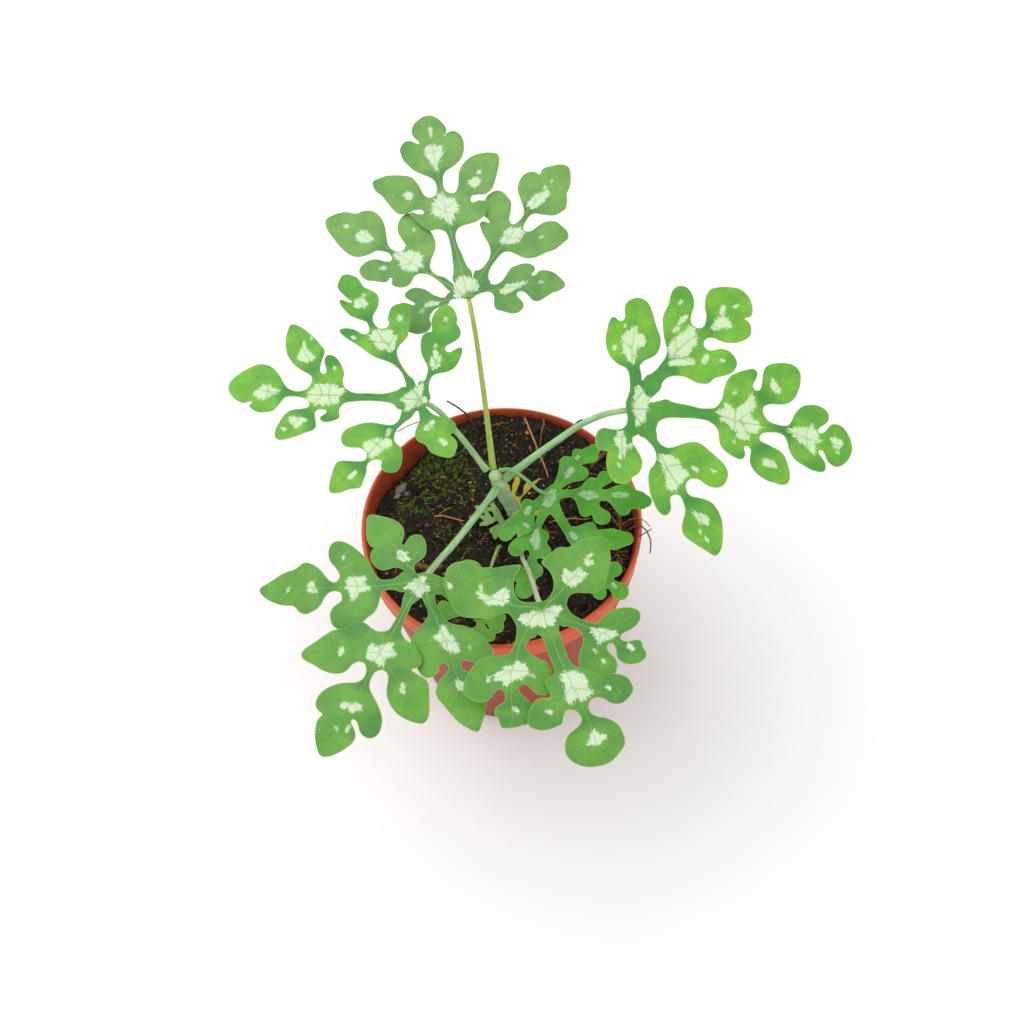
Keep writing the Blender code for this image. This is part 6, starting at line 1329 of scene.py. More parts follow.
def swung_about_base(points, turn):
    """Turns points about the leaf base, by less where they are close to it."""
    turn = turn * eased(np.hypot(points[:, 0], points[:, 1]), 1.5, 7.0)
    u = points[:, 0] * np.cos(turn) - points[:, 1] * np.sin(turn)
    v = points[:, 0] * np.sin(turn) + points[:, 1] * np.cos(turn)
    return np.stack([u, v], axis=1)


Lobe = namedtuple("Lobe", "turn lift strokes outline veins")


def rounded(outline):
    """A smooth closed curve through the points of an outline."""
    points = np.array(outline, float)
    a, b, c, d = (np.roll(points, shift, axis=0) for shift in (1, 0, -1, -2))
    steps = []
    for t in (0.0, 0.25, 0.5, 0.75):
        steps.append(0.5 * (2 * b + (c - a) * t + (2 * a - 5 * b + 4 * c - d) * t * t
                            + (3 * b - a - 3 * c + d) * t**3))
    return np.stack(steps, axis=1).reshape(-1, 2)


def flat_pattern(leaf):
    """Each lobe in the flat pattern, where the lobes are swung apart about the leaf base."""
    pattern = []
    for swing, lift, shape, *veins in leaf["lobes"].values():
        turn = math.radians(swing)
        strokes, outline, lines = [], None, []
        if veins:
            outline = swung_about_base(rounded(shape), turn)
            lines = [swung_about_base(np.array(line, float), turn) for line in veins[0]]
        else:
            for stroke in shape:
                stroke = np.array(stroke, float)
                stroke[:, :2] = swung_about_base(stroke[:, :2], turn)
                lines.append(stroke[:, :2] if strokes else np.vstack([(0, 0), stroke[:, :2]]))
                strokes.append(stroke)
        pattern.append(Lobe(turn, lift, strokes, outline, lines))
    return pattern


def outline_gap(points, outline):
    """Distance from each point to a closed outline, below nought inside it."""
    low, high = outline.min(axis=0) - FAR_OFF, outline.max(axis=0) + FAR_OFF
    near = np.all((points > low) & (points < high), axis=1)
    x, y = points[near].T
    best = np.full(len(x), FARTHEST**2)
    inside = np.zeros(len(x), bool)
    for (ax, ay), (bx, by) in zip(outline, np.roll(outline, -1, axis=0)):
        run, rise = bx - ax, by - ay
        share = np.clip(((x - ax) * run + (y - ay) * rise) / max(run**2 + rise**2, 1e-12), 0, 1)
        best = np.minimum(best, (x - ax - share * run) ** 2 + (y - ay - share * rise) ** 2)
        if rise:
            inside ^= ((ay > y) != (by > y)) & (x < ax + (y - ay) * run / rise)
    gap = np.full(len(points), FAR_OFF)
    gap[near] = np.sqrt(best) * np.where(inside, -1, 1)
    return gap


def blade_gap(points, pattern, blend):
    """Distance to the blade's edge, its sinuses rounded, and the distance to each lobe."""
    every = []
    lobes = []
    for lobe in pattern:
        if lobe.outline is not None:
            gaps = [outline_gap(points, lobe.outline)]
        else:
            gaps = [stroke_gap(points, stroke) - RIB_SWELL for stroke in lobe.strokes]
        every += gaps
        lobes.append(np.min(gaps, axis=0))
    nearest = np.partition(np.array(every), 1, axis=0)[:2]
    share = np.clip(0.5 + 0.5 * (nearest[1] - nearest[0]) / blend, 0, 1)
    edge = nearest[0] * share + nearest[1] * (1 - share) - blend * share * (1 - share)
    return edge, np.array(lobes)


def crossing_links(value):
    """For each grid side where the values cross nought: the sides that the line goes on to."""
    inside = value < 0
    corners = inside[:-1, :-1] * 1 + inside[1:, :-1] + inside[1:, 1:] + inside[:-1, 1:]
    links = defaultdict(list)
    for i, j in np.argwhere((corners > 0) & (corners < 4)).tolist():
        ring = [(i, j), (i + 1, j), (i + 1, j + 1), (i, j + 1)]
        sides = [(i, j, 0), (i + 1, j, 1), (i, j + 1, 0), (i, j, 1)]
        here = [bool(inside[corner]) for corner in ring]
        hit = [sides[k] for k in range(4) if here[k] != here[(k + 1) % 4]]
        if len(hit) == 4:
            middle = sum(value[corner] for corner in ring) < 0
            order = (0, 1, 2, 3) if middle == here[0] else (3, 0, 1, 2)
            pairs = [(hit[order[0]], hit[order[1]]), (hit[order[2]], hit[order[3]])]
        else:
            pairs = [(hit[0], hit[1])]
        for a, b in pairs:
            links[a].append(b)
            links[b].append(a)
    return links


def edge_loops(value, xs, ys):
    """Closed lines where a grid of values crosses nought."""
    def crossing(side):
        i, j, upright = side
        a = value[i, j]
        b = value[i, j + 1] if upright else value[i + 1, j]
        share = a / (a - b)
        if upright:
            return xs[i], ys[j] + share * (ys[j + 1] - ys[j])
        return xs[i] + share * (xs[i + 1] - xs[i]), ys[j]

    links = crossing_links(value)
    loops = []
    while links:
        start = next(iter(links))
        line = [start]
        before, here = None, start
        while True:
            ahead = [side for side in links.pop(here) if side != before]
            if not ahead or ahead[0] == start or ahead[0] not in links:
                break
            before, here = here, ahead[0]
            line.append(here)
        loops.append(np.array([crossing(side) for side in line]))
    return loops


def line_lengths(line):
    """How far along a flat line each of its points is."""
    return np.concatenate([[0], np.cumsum(np.hypot(*np.diff(line, axis=0).T))])


def places_at(line, length, at):
    return np.stack([np.interp(at, length, line[:, k]) for k in range(2)], axis=1)


def spaced(loop, spacing):
    """The same closed line with its points evenly apart."""
    closed = np.vstack([loop, loop[:1]])
    length = line_lengths(closed)
    count = max(8, int(length[-1] / spacing))
    return places_at(closed, length, np.linspace(0, length[-1], count, endpoint=False))


def line_places(line, spacing):
    """Places evenly apart along a line, and how far along each one is."""
    length = line_lengths(line)
    at = np.arange(0, length[-1], spacing)
    return places_at(line, length, at), at


def blade_borders(pattern, blend, low, high, fine):
    """The blade's edge as closed lines of evenly spaced points."""
    xs = np.arange(low[0], high[0], OUTLINE_GRID * fine)
    ys = np.arange(low[1], high[1], OUTLINE_GRID * fine)
    grid = np.stack(np.meshgrid(xs, ys, indexing="ij"), axis=-1).reshape(-1, 2)
    edge, _ = blade_gap(grid, pattern, blend)
    loops = edge_loops(edge.reshape(len(xs), len(ys)), xs, ys)
    return [spaced(loop, OUTLINE_LONGEST * fine) for loop in loops if len(loop) > SMALLEST_LOOP]


def blade_inside(pattern, veins, blend, low, high, spacing):
    """Points spread over the blade, with points on its veins and a clear strip beside them."""
    rows = []
    for k, y in enumerate(np.arange(low[1], high[1], spacing * ROW_SHARE)):
        xs = np.arange(low[0] + (k % 2) * spacing / 2, high[0], spacing)
        rows.append(np.stack([xs, np.full(len(xs), y)], axis=1))
    inner = np.concatenate(rows)
    on_veins = []
    for line in veins:
        inner = inner[vein_reach(inner, line)[0] > VEIN_CLEARANCE * spacing]
        points, _ = line_places(line, spacing)
        if on_veins:
            taken = np.concatenate(on_veins)
            near = np.hypot(*(points[:, None] - taken[None]).transpose(2, 0, 1)).min(axis=1)
            points = points[near > EDGE_CLEARANCE * spacing]
        on_veins.append(points)
    inner = np.concatenate([inner, *on_veins])
    return inner[blade_gap(inner, pattern, blend)[0] < -EDGE_CLEARANCE * spacing]


def blade_sheet(leaf, fine):
    """Flat points and triangles of one blade, and its pattern."""
    pattern = flat_pattern(leaf)
    blend = leaf["blend"]
    veins = [line for lobe in pattern for line in lobe.veins]
    every = np.concatenate(veins)
    low = every.min(axis=0) - SHEET_MARGIN
    high = every.max(axis=0) + SHEET_MARGIN
    loops = blade_borders(pattern, blend, low, high, fine)
    borders = []
    count = 0
    for loop in loops:
        borders += [(count + i, count + (i + 1) % len(loop)) for i in range(len(loop))]
        count += len(loop)
    points = np.concatenate([*loops, blade_inside(pattern, veins, blend, low, high, INNER_SPACING * fine)])
    made = delaunay_2d_cdt([Vector(p) for p in points], borders, [], 0, 1e-4)
    flat = np.array([tuple(p) for p in made[0]])
    faces = np.array(made[2])
    centres = flat[faces].mean(axis=1)
    faces = faces[blade_gap(centres, pattern, blend)[0] < 0]
    used = np.unique(faces)
    order = np.full(len(flat), -1)
    order[used] = np.arange(len(used))
    return flat[used], order[faces], pattern


def leaf_axes(leaf):
    """Unit vectors along the middle lobe, to its left and out of the upper face."""
    tilt, toward = (math.radians(angle) for angle in leaf["tilt"])
    out = Vector((math.sin(tilt) * math.cos(toward), math.sin(tilt) * math.sin(toward), math.cos(tilt)))
    heading = math.radians(leaf["heading"])
    level = Vector((math.cos(heading), math.sin(heading), 0.0))
    along = (level - out * level.dot(out)).normalized()
    return np.array(along), np.array(out.cross(along)), np.array(out)


def vein_values(flat, pattern, blend):
    """At each point: distance to the nearest vein, doubt which one that is, side veins, half width."""
    rib = np.full(len(flat), FARTHEST)
    second = np.full(len(flat), FARTHEST)
    lateral = np.zeros(len(flat))
    closing = np.zeros(len(flat))
    half = np.zeros(len(flat))
    shares = np.full(len(flat), 1e-9)
    veins = [(line, SIDE_VEIN_STRENGTH if i else 1.0)
             for lobe in pattern for i, line in enumerate(lobe.veins)]
    for line, strength in veins:
        away, reach = vein_reach(flat, line)
        places, at = line_places(line, VEIN_SPACING)
        width = -blade_gap(places, pattern, blend)[0]
        width = np.maximum(width, np.interp(at - 4.0, at, width))
        share = np.exp(-away / 1.1)
        half += share * np.interp(reach, at, width)
        shares += share
        scaled = away / (strength * (1 - 0.6 * reach / at[-1]))
        nearer = scaled < rib
        second = np.where(nearer, rib, np.minimum(second, scaled))
        lateral = np.where(nearer, reach - 0.8 * away, lateral)
        closing = np.where(nearer, eased(at[-1] - reach, -0.5, 2.5), closing)
        rib = np.minimum(rib, scaled)
    return {"rib": rib, "doubt": (second - rib) * closing, "lateral": lateral, "half": half / shares}


def patch_values(leaf, flat, pattern, lobe):
    """At each point: distance to the nearest pale patch, and where its torn edge is read in the noise."""
    spot = np.full(len(flat), NO_PATCH)
    ray = np.zeros((len(flat), 3))
    turns = {"": 0.0, **{name: each.turn for name, each in zip(leaf["lobes"], pattern)}}
    for number, (name, turn) in enumerate(turns.items()):
        here = lobe == number - 1 if name else np.ones(len(flat), bool)
        for patch in leaf["patches"].get(name, []):
            patch = np.array(patch, float)
            patch[:, :2] = swung_about_base(patch[:, :2], turn)
            gap = stroke_gap(flat, patch) / (0.32 + 0.2 * patch[:, 2].max())
            nearer = here & (gap < spot)
            spot = np.where(nearer, gap, spot)
            away = flat - patch[:, :2].mean(axis=0)
            angle = np.arctan2(away[:, 1], away[:, 0])
            mine = np.stack([np.cos(angle), np.sin(angle), gap * 0.3 + patch[0, 0]], axis=1)
            ray = np.where(nearer[:, None], mine, ray)
    return {"spot": spot, "ray": ray}


def shell(middle, faces, over, under, values):
    """A closed thin shell about a sheet, so far over and under it at each point."""
    corner = middle[faces]
    normal = np.cross(corner[:, 1] - corner[:, 0], corner[:, 2] - corner[:, 0])
    normals = np.zeros_like(middle)
    for k in range(3):
        np.add.at(normals, faces[:, k], normal)
    normals = unit(normals)
    points = np.concatenate([middle + normals * over[:, None], middle - normals * under[:, None]])
    count = len(middle)
    edges = {pair for a, b, c in faces.tolist() for pair in ((a, b), (b, c), (c, a))}
    sides = [(b, a, a + count, b + count) for a, b in sorted(edges) if (b, a) not in edges]
    values = {name: np.concatenate([value, value]) for name, value in values.items()}
    values["under"] = np.concatenate([np.zeros(count), np.ones(count)])
    return points, faces.tolist() + (faces[:, ::-1] + count).tolist() + sides, values


def blade_shape(leaf, fine):
    """The blade as a thin shell that is swung, lifted, drooped, rippled and ribbed."""
    flat, faces, pattern = blade_sheet(leaf, fine)
    edge, gaps = blade_gap(flat, pattern, leaf["blend"])
    edge = -edge
    lobe = gaps.argmin(axis=0)
    veins = vein_values(flat, pattern, leaf["blend"])
    rib = veins["rib"]
    weight = np.exp(-(gaps - gaps.min(axis=0)) / 0.8)
    weight /= weight.sum(axis=0)
    turn = sum(w * -each.turn for w, each in zip(weight, pattern))
    lift = sum(w * each.lift for w, each in zip(weight, pattern))
    reach = np.hypot(flat[:, 0], flat[:, 1])
    u, v = swung_about_base(flat, turn).T
    wave = np.sin(u * 0.33 + 0.7 * np.sin(v * 0.21)) * np.cos(v * 0.29 + 0.4) * eased(reach, 3, 12)
    height = lift * eased(reach, 4.0, 17.0) - leaf["droop"] * (u * u + v * v) + RIPPLE * wave
    height -= RIB_GROOVE * bell(rib, 0.6) * eased(edge, 0.3, 1.2)
    ripples = np.sin(veins["lateral"] * 1.9) * eased(rib, 0.5, 1.5) * eased(edge, 0.4, 1.6)
    height += SIDE_VEIN_RIPPLE * ripples
    along, left, out = leaf_axes(leaf)
    middle = np.array(leaf["base"]) + u[:, None] * along + v[:, None] * left + height[:, None] * out
    thick = BLADE_THICKNESS / 2 * (0.5 + 0.5 * eased(edge, 0.0, 0.6))
    under = thick + UNDER_RIB * bell(rib, 0.32) * eased(edge, 0.3, 1.0)
    values = {"edge": edge, **veins, **patch_values(leaf, flat, pattern, lobe),
              "flat": np.stack([u, v, lobe * NOISE_APART], axis=1)}
    return shell(middle, faces, thick, under, values)


def stalk_shape(leaf):
    """The leaf stalk, from the stem to its seat under the blade."""
    along, _, out = leaf_axes(leaf)
    radius = leaf["petiole"][-1][3]
    seat = np.array(leaf["base"]) + along * SEAT_REACH - out * (radius * SEAT_SHARE + 0.05)
    line = smooth_line(leaf["petiole"] + [(*seat, radius * SEAT_SHARE)], STALK_STEPS)
    line[:, 3] *= 1 + STALK_FOOT_SWELL * np.exp(-np.arange(len(line)) / 3.0)
    return sweep(line, STALK_SIDES, 0.05, leaf["heading"])


def build_leaf(node, leaf, blade, stalk, fine):
    shapes = [blade_shape(leaf, fine)]
    if leaf["petiole"]:
        shapes.append(stalk_shape(leaf))
    which = [number for number, shape in enumerate(shapes) for _ in shape[1]]
    piece = mesh_piece(node + "_fine", joined(shapes), [blade, stalk], which, node)
    piece.data.set_sharp_from_angle(angle=math.radians(SHARP_ANGLE))


def leaf_net(look, flat):
    """The coarse and the fine net of small veins."""
    warp = look.moved(flat, look.noise(flat, 0.35, 2, colour=True), 1.6)
    return look.fade(look.cells(warp, 0.42), 0.0, 0.16), look.fade(look.cells(warp, 1.25), 0.0, 0.13)


def side_veins(look, flat):
    """Side veins at even gaps along each vein, fading at the edge and between two veins."""
    wave = look.scaled_sum(look.noise(flat, 0.5, 1), 1.4, look.read("lateral"))
    phase = look.math("FRACT", look.math("DIVIDE", wave, SIDE_VEIN_GAP))
    lines = look.fade(look.math("ABSOLUTE", look.math("SUBTRACT", phase, 0.5)), 0.0, 0.05)
    lines = look.times(lines, look.step(look.read("doubt"), 0.5, 1.6))
    return look.times(lines, look.step(look.read("edge"), 0.5, 1.8))


def pale_patches(look, grain):
    """Where the pale patches are, their edges torn along rays from each patch's middle."""
    teeth = look.noise(look.stretch(look.read("ray", True), (5.0, 5.0, 1.0)), 1.0, 3, 0.75)
    torn = look.scaled_sum(teeth, 4.6, look.scaled_sum(grain, 2.4, -3.5))
    return look.fade(look.math("ADD", look.read("spot"), torn), -0.12, 0.14)


def pale_flecks(look, flat):
    """Scattered pale flecks, in some places only."""
    fleck = look.fade(look.cells(flat, 0.5, "F1"), 0.07, 0.11, 0.55)
    return look.times(fleck, look.step(look.noise(flat, 0.2, 1), 0.52, 0.6))


def blade_finish(name, light, dark, vein, net, pale, gloss=0.42, wide=(1.4, 4.6)):
    """A leaf's upper and lower face: veins, pale feathered patches, dark necks and a thin pale margin."""
    look = Finish(name)
    light, dark, vein, net, pale = (rgb(*colour) for colour in (light, dark, vein, net, pale))
    flat = look.read("flat", True)
    green = look.mix(look.step(look.read("half"), *wide), dark, light)
    green = look.mix(look.step(look.noise(flat, 0.13, 3), 0.3, 0.7, 0.0, 0.5), green, dark)
    coarse, fine = leaf_net(look, flat)
    green = look.mix(look.times(coarse, 0.24), green, net)
    green = look.mix(look.times(fine, 0.09), green, net)
    lateral = side_veins(look, flat)
    green = look.mix(look.times(lateral, 0.3), green, vein)
    milk = look.mix(look.times(look.math("MAXIMUM", lateral, fine), 0.14), pale, light)
    grain = look.noise(flat, 2.6, 2, 0.6)
    colour = look.mix(pale_patches(look, grain), green, milk)
    colour = look.mix(pale_flecks(look, flat), colour, pale)
    ridge = look.fade(look.read("rib"), 0.12, 0.34)
    colour = look.mix(look.times(ridge, 0.5), colour, vein)
    colour = look.mix(look.fade(look.read("edge"), 0.04, 0.3, 0.75), colour, rgb(*MARGIN_COLOUR))
    below = look.mix(0.5, colour, rgb(*UNDERSIDE_COLOUR))
    colour = look.mix(look.read("under"), colour, below)
    relief = look.scaled_sum(ridge, -1.0, look.times(lateral, -0.5))
    relief = look.scaled_sum(coarse, -0.35, relief)
    normal = look.bump(relief, 0.12, 0.6, look.bump(look.noise(flat, 1.6, 3), 0.06, 0.35))
    shine = look.step(grain, 0.3, 0.7, gloss - 0.06, gloss + 0.08)
    return look.surface(colour, shine, normal, specular=0.42, through=0.3)


def stalk_finish(name, base, stripe, warm, speckle=0.0):
    """A leaf stalk or stem with fine lengthwise stripes, warm flushes and perhaps pale speckles."""
    look = Finish(name)
    spots = look.read("flat", True)
    lines = look.noise(look.stretch(spots, (4.2, 4.2, 0.16)), 1.0, 3, 0.65)
    flush = look.noise(look.stretch(spots, (0.8, 0.8, 0.13)), 1.0, 2)
    colour = look.mix(look.step(lines, 0.42, 0.6), rgb(*base), rgb(*stripe))
    colour = look.mix(look.step(flush, 0.5, 0.72, 0.0, 0.75), colour, rgb(*warm))
    if speckle:
        dots = look.cells(look.stretch(spots, (2.2, 2.2, 1.5)), 1.0, "F1")
        colour = look.mix(look.fade(dots, 0.14, 0.24, speckle), colour, rgb(*SPECKLE_COLOUR))
    return look.surface(colour, 0.48, look.bump(lines, 0.12, 0.5), specular=0.4)


def build_leaves():
    blades = {name: blade_finish(name, **colours) for name, colours in BLADE_LOOKS.items()}
    stalks = {name: stalk_finish(name, **STALK_LOOKS[name]) for name in STALK_LOOKS if "stalk" in name}
    for node, leaf, slot, blade, stalk, fine in (
        ("leaf_back", BACK_LEAF, "leaf_mid_green", "leaf_mid", "stalk_olive", 1.0),
        ("leaf_left", LEFT_LEAF, "leaf_bright_green", "leaf_bright", "stalk_blue_green", 1.0),
        ("leaf_right", RIGHT_LEAF, "leaf_bright_green", "leaf_bright", "stalk_blue_green", 1.0),
        ("leaf_front_left", FRONT_LEFT_LEAF, "leaf_mid_green", "leaf_front", "stalk_blue_green", 1.0),
        ("leaf_front_right", FRONT_RIGHT_LEAF, "leaf_mid_green", "leaf_front", "stalk_grey", 1.0),
        ("leaf_low", LOW_LEAF, "leaf_deep_green", "leaf_deep", "stalk_thin", 0.7),
        ("leaf_withered", WITHERED_LEAF, "leaf_yellow", "leaf_yellow", "stalk_thin", 0.5),
        ("leaf_young", YOUNG_LEAF, "leaf_pale", "leaf_young", "stalk_thin", 0.5),
        ("leaf_sprout", FRONT_SPROUT, "leaf_pale", "leaf_sprout_tint", "stalk_fresh", 0.5),
    ):
        build_leaf(node, leaf, blades[blade], stalks[stalk], fine)


def build_stem():
    """The stem with its knots and a side shoot whose cut end is pale."""
    line = smooth_line(STEM_LINE, STEM_STEPS)
    length = np.arange(len(line)) / STEM_STEPS
    line[:, 3] *= 1 + 0.10 * np.sin(length * 5.0) * bell(length - 3.4, 1.0)
    trunk = sweep(line, STEM_SIDES, 0.16, 3)
    knots = []
    for (x, y, z), radius in KNOTS:
        knots.append(sweep(np.array([(x - 0.6, y, z - radius * 0.7, radius * 0.7), (x, y, z, radius),
                                     (x - 0.3, y, z + radius * 0.6, radius * 0.62)]), 18, 0.14, x))
    shoot = smooth_line(SHOOT_LINE, 6)
    cut = sweep(shoot[-4:] + (0, 0, 0, 0.02), 16, 0.08, 5)
    side = sweep(shoot[:-3], 16, 0.12, 5)
    shape = joined([trunk, *knots, side, cut])
    which = [0] * (len(shape[1]) - len(cut[1])) + [1] * len(cut[1])
    finishes = [stalk_finish(name, **STALK_LOOKS[name]) for name in ("stem_bark_finish", "stub_finish")]
    mesh_piece("stem_fine", shape, finishes, which, "stem")


def soil_radius(z):
    """The soil's radius at a height, a little inside the pot's inner wall."""
    return POT_FLOOR_RADIUS + POT_WALL_SLOPE * (z - POT_FLOOR) - SOIL_GAP


def soil_height(x, y):
    """The soil's height, with a mound round the stem and a hollow against the wall at the back left."""
    lumps = noise.noise(Vector((x * 0.160, y * 0.160, 0.3)))
    lumps += 0.5 * noise.noise(Vector((x * 0.420, y * 0.420, 4)))
    from_mound = math.hypot(x - SOIL_MOUND[0], y - SOIL_MOUND[1])
    mound = SOIL_MOUND_RISE * bell(from_mound, SOIL_MOUND_REACH)
    rim_ward = eased(math.hypot(x, y), *BANK_RADII)
    for azimuth, spread, rise in SOIL_BANKS:
        turn = (math.degrees(math.atan2(y, x)) - azimuth + 180) % 360 - 180
        mound += rise * rim_ward * bell(turn, spread)
    hollow = bell(math.hypot(x - SOIL_HOLLOW[0], y - SOIL_HOLLOW[1]), SOIL_HOLLOW_REACH)
    return SOIL_LEVEL + SOIL_LUMP * lumps + mound - SOIL_HOLLOW_DEPTH * hollow


def rough_height(x, y):
    return soil_height(x, y) + SOIL_ROUGHNESS * noise.fractal(Vector((x * 0.9, y * 0.9, 7)), 0.6, 2.1, 4)


def soil_body():
    """The soil's rough top on its plain block."""
    angles = math.tau * np.arange(SOIL_SIDES) / SOIL_SIDES
    points = [(0.0, 0.0, rough_height(0, 0))]
    for i in range(1, SOIL_RINGS + 1):
        radius = soil_radius(SOIL_LEVEL) * i / SOIL_RINGS
        for angle in angles:
            x, y = radius * math.cos(angle), radius * math.sin(angle)
            z = rough_height(x, y)
            if i == SOIL_RINGS:
                x, y = soil_radius(z) * math.cos(angle), soil_radius(z) * math.sin(angle)
            points.append((x, y, z))
    for z in (POT_HEIGHT / 2, SOIL_FOOT):
        points += [(soil_radius(z) * math.cos(a), soil_radius(z) * math.sin(a), z) for a in angles]
    points.append((0.0, 0.0, SOIL_FOOT))
    faces = []
    last = 1 + (SOIL_RINGS + 1) * SOIL_SIDES
    for j in range(SOIL_SIDES):
        k = (j + 1) % SOIL_SIDES
        faces.append((0, 1 + j, 1 + k))
        for low in range(1, last, SOIL_SIDES):
            faces.append((low + j, low + SOIL_SIDES + j, low + SOIL_SIDES + k, low + k))
        faces.append((last + j, len(points) - 1, last + k))
    return toned((np.array(points), faces, {}), SOIL_TONE)


def chunks(rng, places, sizes, tones, detail=1):
    """Small irregular lumps, each turned and stretched its own way."""
    ball = bmesh.new()
    bmesh.ops.create_icosphere(ball, subdivisions=detail, radius=1.0)
    base = np.array([vertex.co for vertex in ball.verts])
    ring = np.array([[vertex.index for vertex in face.verts] for face in ball.faces])
    ball.free()
    count = len(places)
    knobs = base[None] * rng.uniform(0.55, 1.15, (count, len(base), 1))
    stretches = [rng.uniform(low, high, count) for low, high in ((0.7, 1.6), (0.6, 1.0), (0.4, 0.95))]
    knobs *= np.stack(stretches, axis=1)[:, None]
    turns = [np.array(Matrix.Rotation(a, 3, "Z") @ Matrix.Rotation(b, 3, "X")) for a, b in
             zip(rng.uniform(0, math.tau, count), rng.uniform(-0.6, 0.6, count))]
    knobs = np.einsum("nij,nvj->nvi", np.array(turns), knobs) * np.asarray(sizes)[:, None, None]
    points = (knobs + np.asarray(places)[:, None]).reshape(-1, 3)
    faces = (ring[None] + (np.arange(count) * len(base))[:, None, None]).reshape(-1, 3)
    return points, faces.tolist(), {"tone": np.repeat(tones, len(base))}


def in_disc(rng, count, radius):
    away = radius * np.sqrt(rng.uniform(0, 1, count))
    angle = rng.uniform(0, math.tau, count)
    return np.stack([away * np.cos(angle), away * np.sin(angle)], axis=1)


def on_soil(spots, lift):
    lift = np.broadcast_to(lift, len(spots))
    return np.array([(x, y, rough_height(x, y) + up) for (x, y), up in zip(spots, lift)])


def grain_finish(name):
    """Small loose matter: a colour picked by each piece's tone, with noise over it."""
    stops, roughness, scale, height = GRAIN_LOOKS[name]
    look = Finish(name)
    place = look.place()
    fine = look.noise(place, scale, 4, 0.65)
    ramp = look.node("ValToRGB")
    ramp.color_ramp.elements.remove(ramp.color_ramp.elements[1])
    for i, (spot, colour) in enumerate(stops.items()):
        stop = ramp.color_ramp.elements[0] if i == 0 else ramp.color_ramp.elements.new(spot)
        stop.position = spot
        stop.color = rgb(*colour)
    look.feed(ramp.inputs[0], look.scaled_sum(fine, 0.9, look.math("SUBTRACT", look.read("tone"), 0.45)))
    normal = look.bump(look.noise(place, scale * 2.2, 3), height, 0.8)
    return look.surface(ramp.outputs[0], roughness, normal, specular=0.3)


def build_soil():
    rng = np.random.default_rng(SOIL_SEED)
    small = in_disc(rng, CRUMBS, CRUMB_REACH)
    sizes = rng.uniform(0.16, 0.5, len(small)) * rng.choice([1, 1, 1.7], len(small))
    crumbs = chunks(rng, on_soil(small, sizes * 0.35), sizes, rng.uniform(0, 1, len(small)))
    large = in_disc(rng, LUMPS, LUMP_REACH)
    sizes = rng.uniform(0.6, 1.45, len(large))
    lumps = chunks(rng, on_soil(large, sizes * 0.2), sizes, rng.uniform(0, 0.8, len(large)), 2)
    shape = joined([soil_body(), crumbs, lumps])
    mesh_piece("soil_fine", shape, [grain_finish("peat_finish")], replaces="soil")


def twig(places, radius, tone):
    """A stiff twig or shred of bark through the given places; None for a height lays it on the soil."""
    line = []
    for i, (x, y, z) in enumerate(places):
        height = rough_height(x, y) + 0.6 * radius if z is None else z
        line.append((x, y, height, radius * (1 - 0.3 * i / len(places))))
    return toned(sweep(smooth_line(line, 2), 6), tone)


def fibre(rng, start, heading, length, radius, arch, tone, curl=0.5):
    """A thin bent root or fibre that lies along the soil and turns back near the wall."""
    steps = max(4, int(length / FIBRE_STEP))
    x, y = start
    line = []
    for i in range(steps + 1):
        share = i / steps
        z = rough_height(x, y) + radius * 0.8 + arch * math.sin(math.pi * share)
        line.append((x, y, z, radius * (1 - 0.45 * share)))
        x += math.cos(heading) * length / steps
        y += math.sin(heading) * length / steps
        heading += rng.normal(0, curl)
        if math.hypot(x, y) > LITTER_RADIUS:
            heading = math.atan2(-y, -x) + rng.normal(0, 0.5)
    return toned(sweep(smooth_line(line, 2), 5), tone)


def build_fibres(rng):
    """Twigs, fibres all over the soil, the long ones of the photo and a tangle at the rim's right."""
    strands = [twig(*one) for one in TWIGS]
    for _ in range(FIBRES):
        start = in_disc(rng, 1, SCATTER_REACH)[0]
        strands.append(fibre(rng, start, rng.uniform(0, math.tau), rng.uniform(2, 8),
                             rng.uniform(0.06, 0.14), rng.uniform(0, 0.5), rng.uniform(0, 1)))
    for (x, y), (end_x, end_y), radius, tone in LONG_FIBRES:
        heading = math.atan2(end_y - y, end_x - x)
        length = math.hypot(end_x - x, end_y - y)
        strands.append(fibre(rng, (x, y), heading, length, radius, 1.0, tone, curl=0.06))
    for _ in range(RIM_FIBRES):
        angle = rng.uniform(-0.75, 0.25)
        start = RIM_FIBRE_START * np.array([math.cos(angle), math.sin(angle)])
        strands.append(fibre(rng, start, angle + math.pi / 2 + rng.normal(0, 0.7), rng.uniform(5, 13),
                             rng.uniform(0.09, 0.17), rng.uniform(0.3, 2.2), rng.uniform(0.5, 0.9), curl=0.4))
    mesh_piece("fibres", joined(strands), [grain_finish("fibre_finish")])


def build_grains(rng):
    """White grains over the soil, a few of them larger."""
    spots = in_disc(rng, GRAINS, SCATTER_REACH)
    sizes = rng.uniform(0.14, 0.42, len(spots))
    sizes[:LARGE_GRAINS] = rng.uniform(0.5, 0.8, LARGE_GRAINS)
    shape = chunks(rng, on_soil(spots, sizes * 0.5), sizes, rng.uniform(0, 1, len(spots)))
    mesh_piece("perlite", shape, [grain_finish("perlite_finish")])


def build_grey_lump(rng):
    spots, sizes, tones = (np.array(column) for column in zip(*GREY_BITS))
    shape = chunks(rng, on_soil(spots, sizes * 0.3), sizes, tones, 2)
    mesh_piece("grey_lump", shape, [grain_finish("lump_finish")])


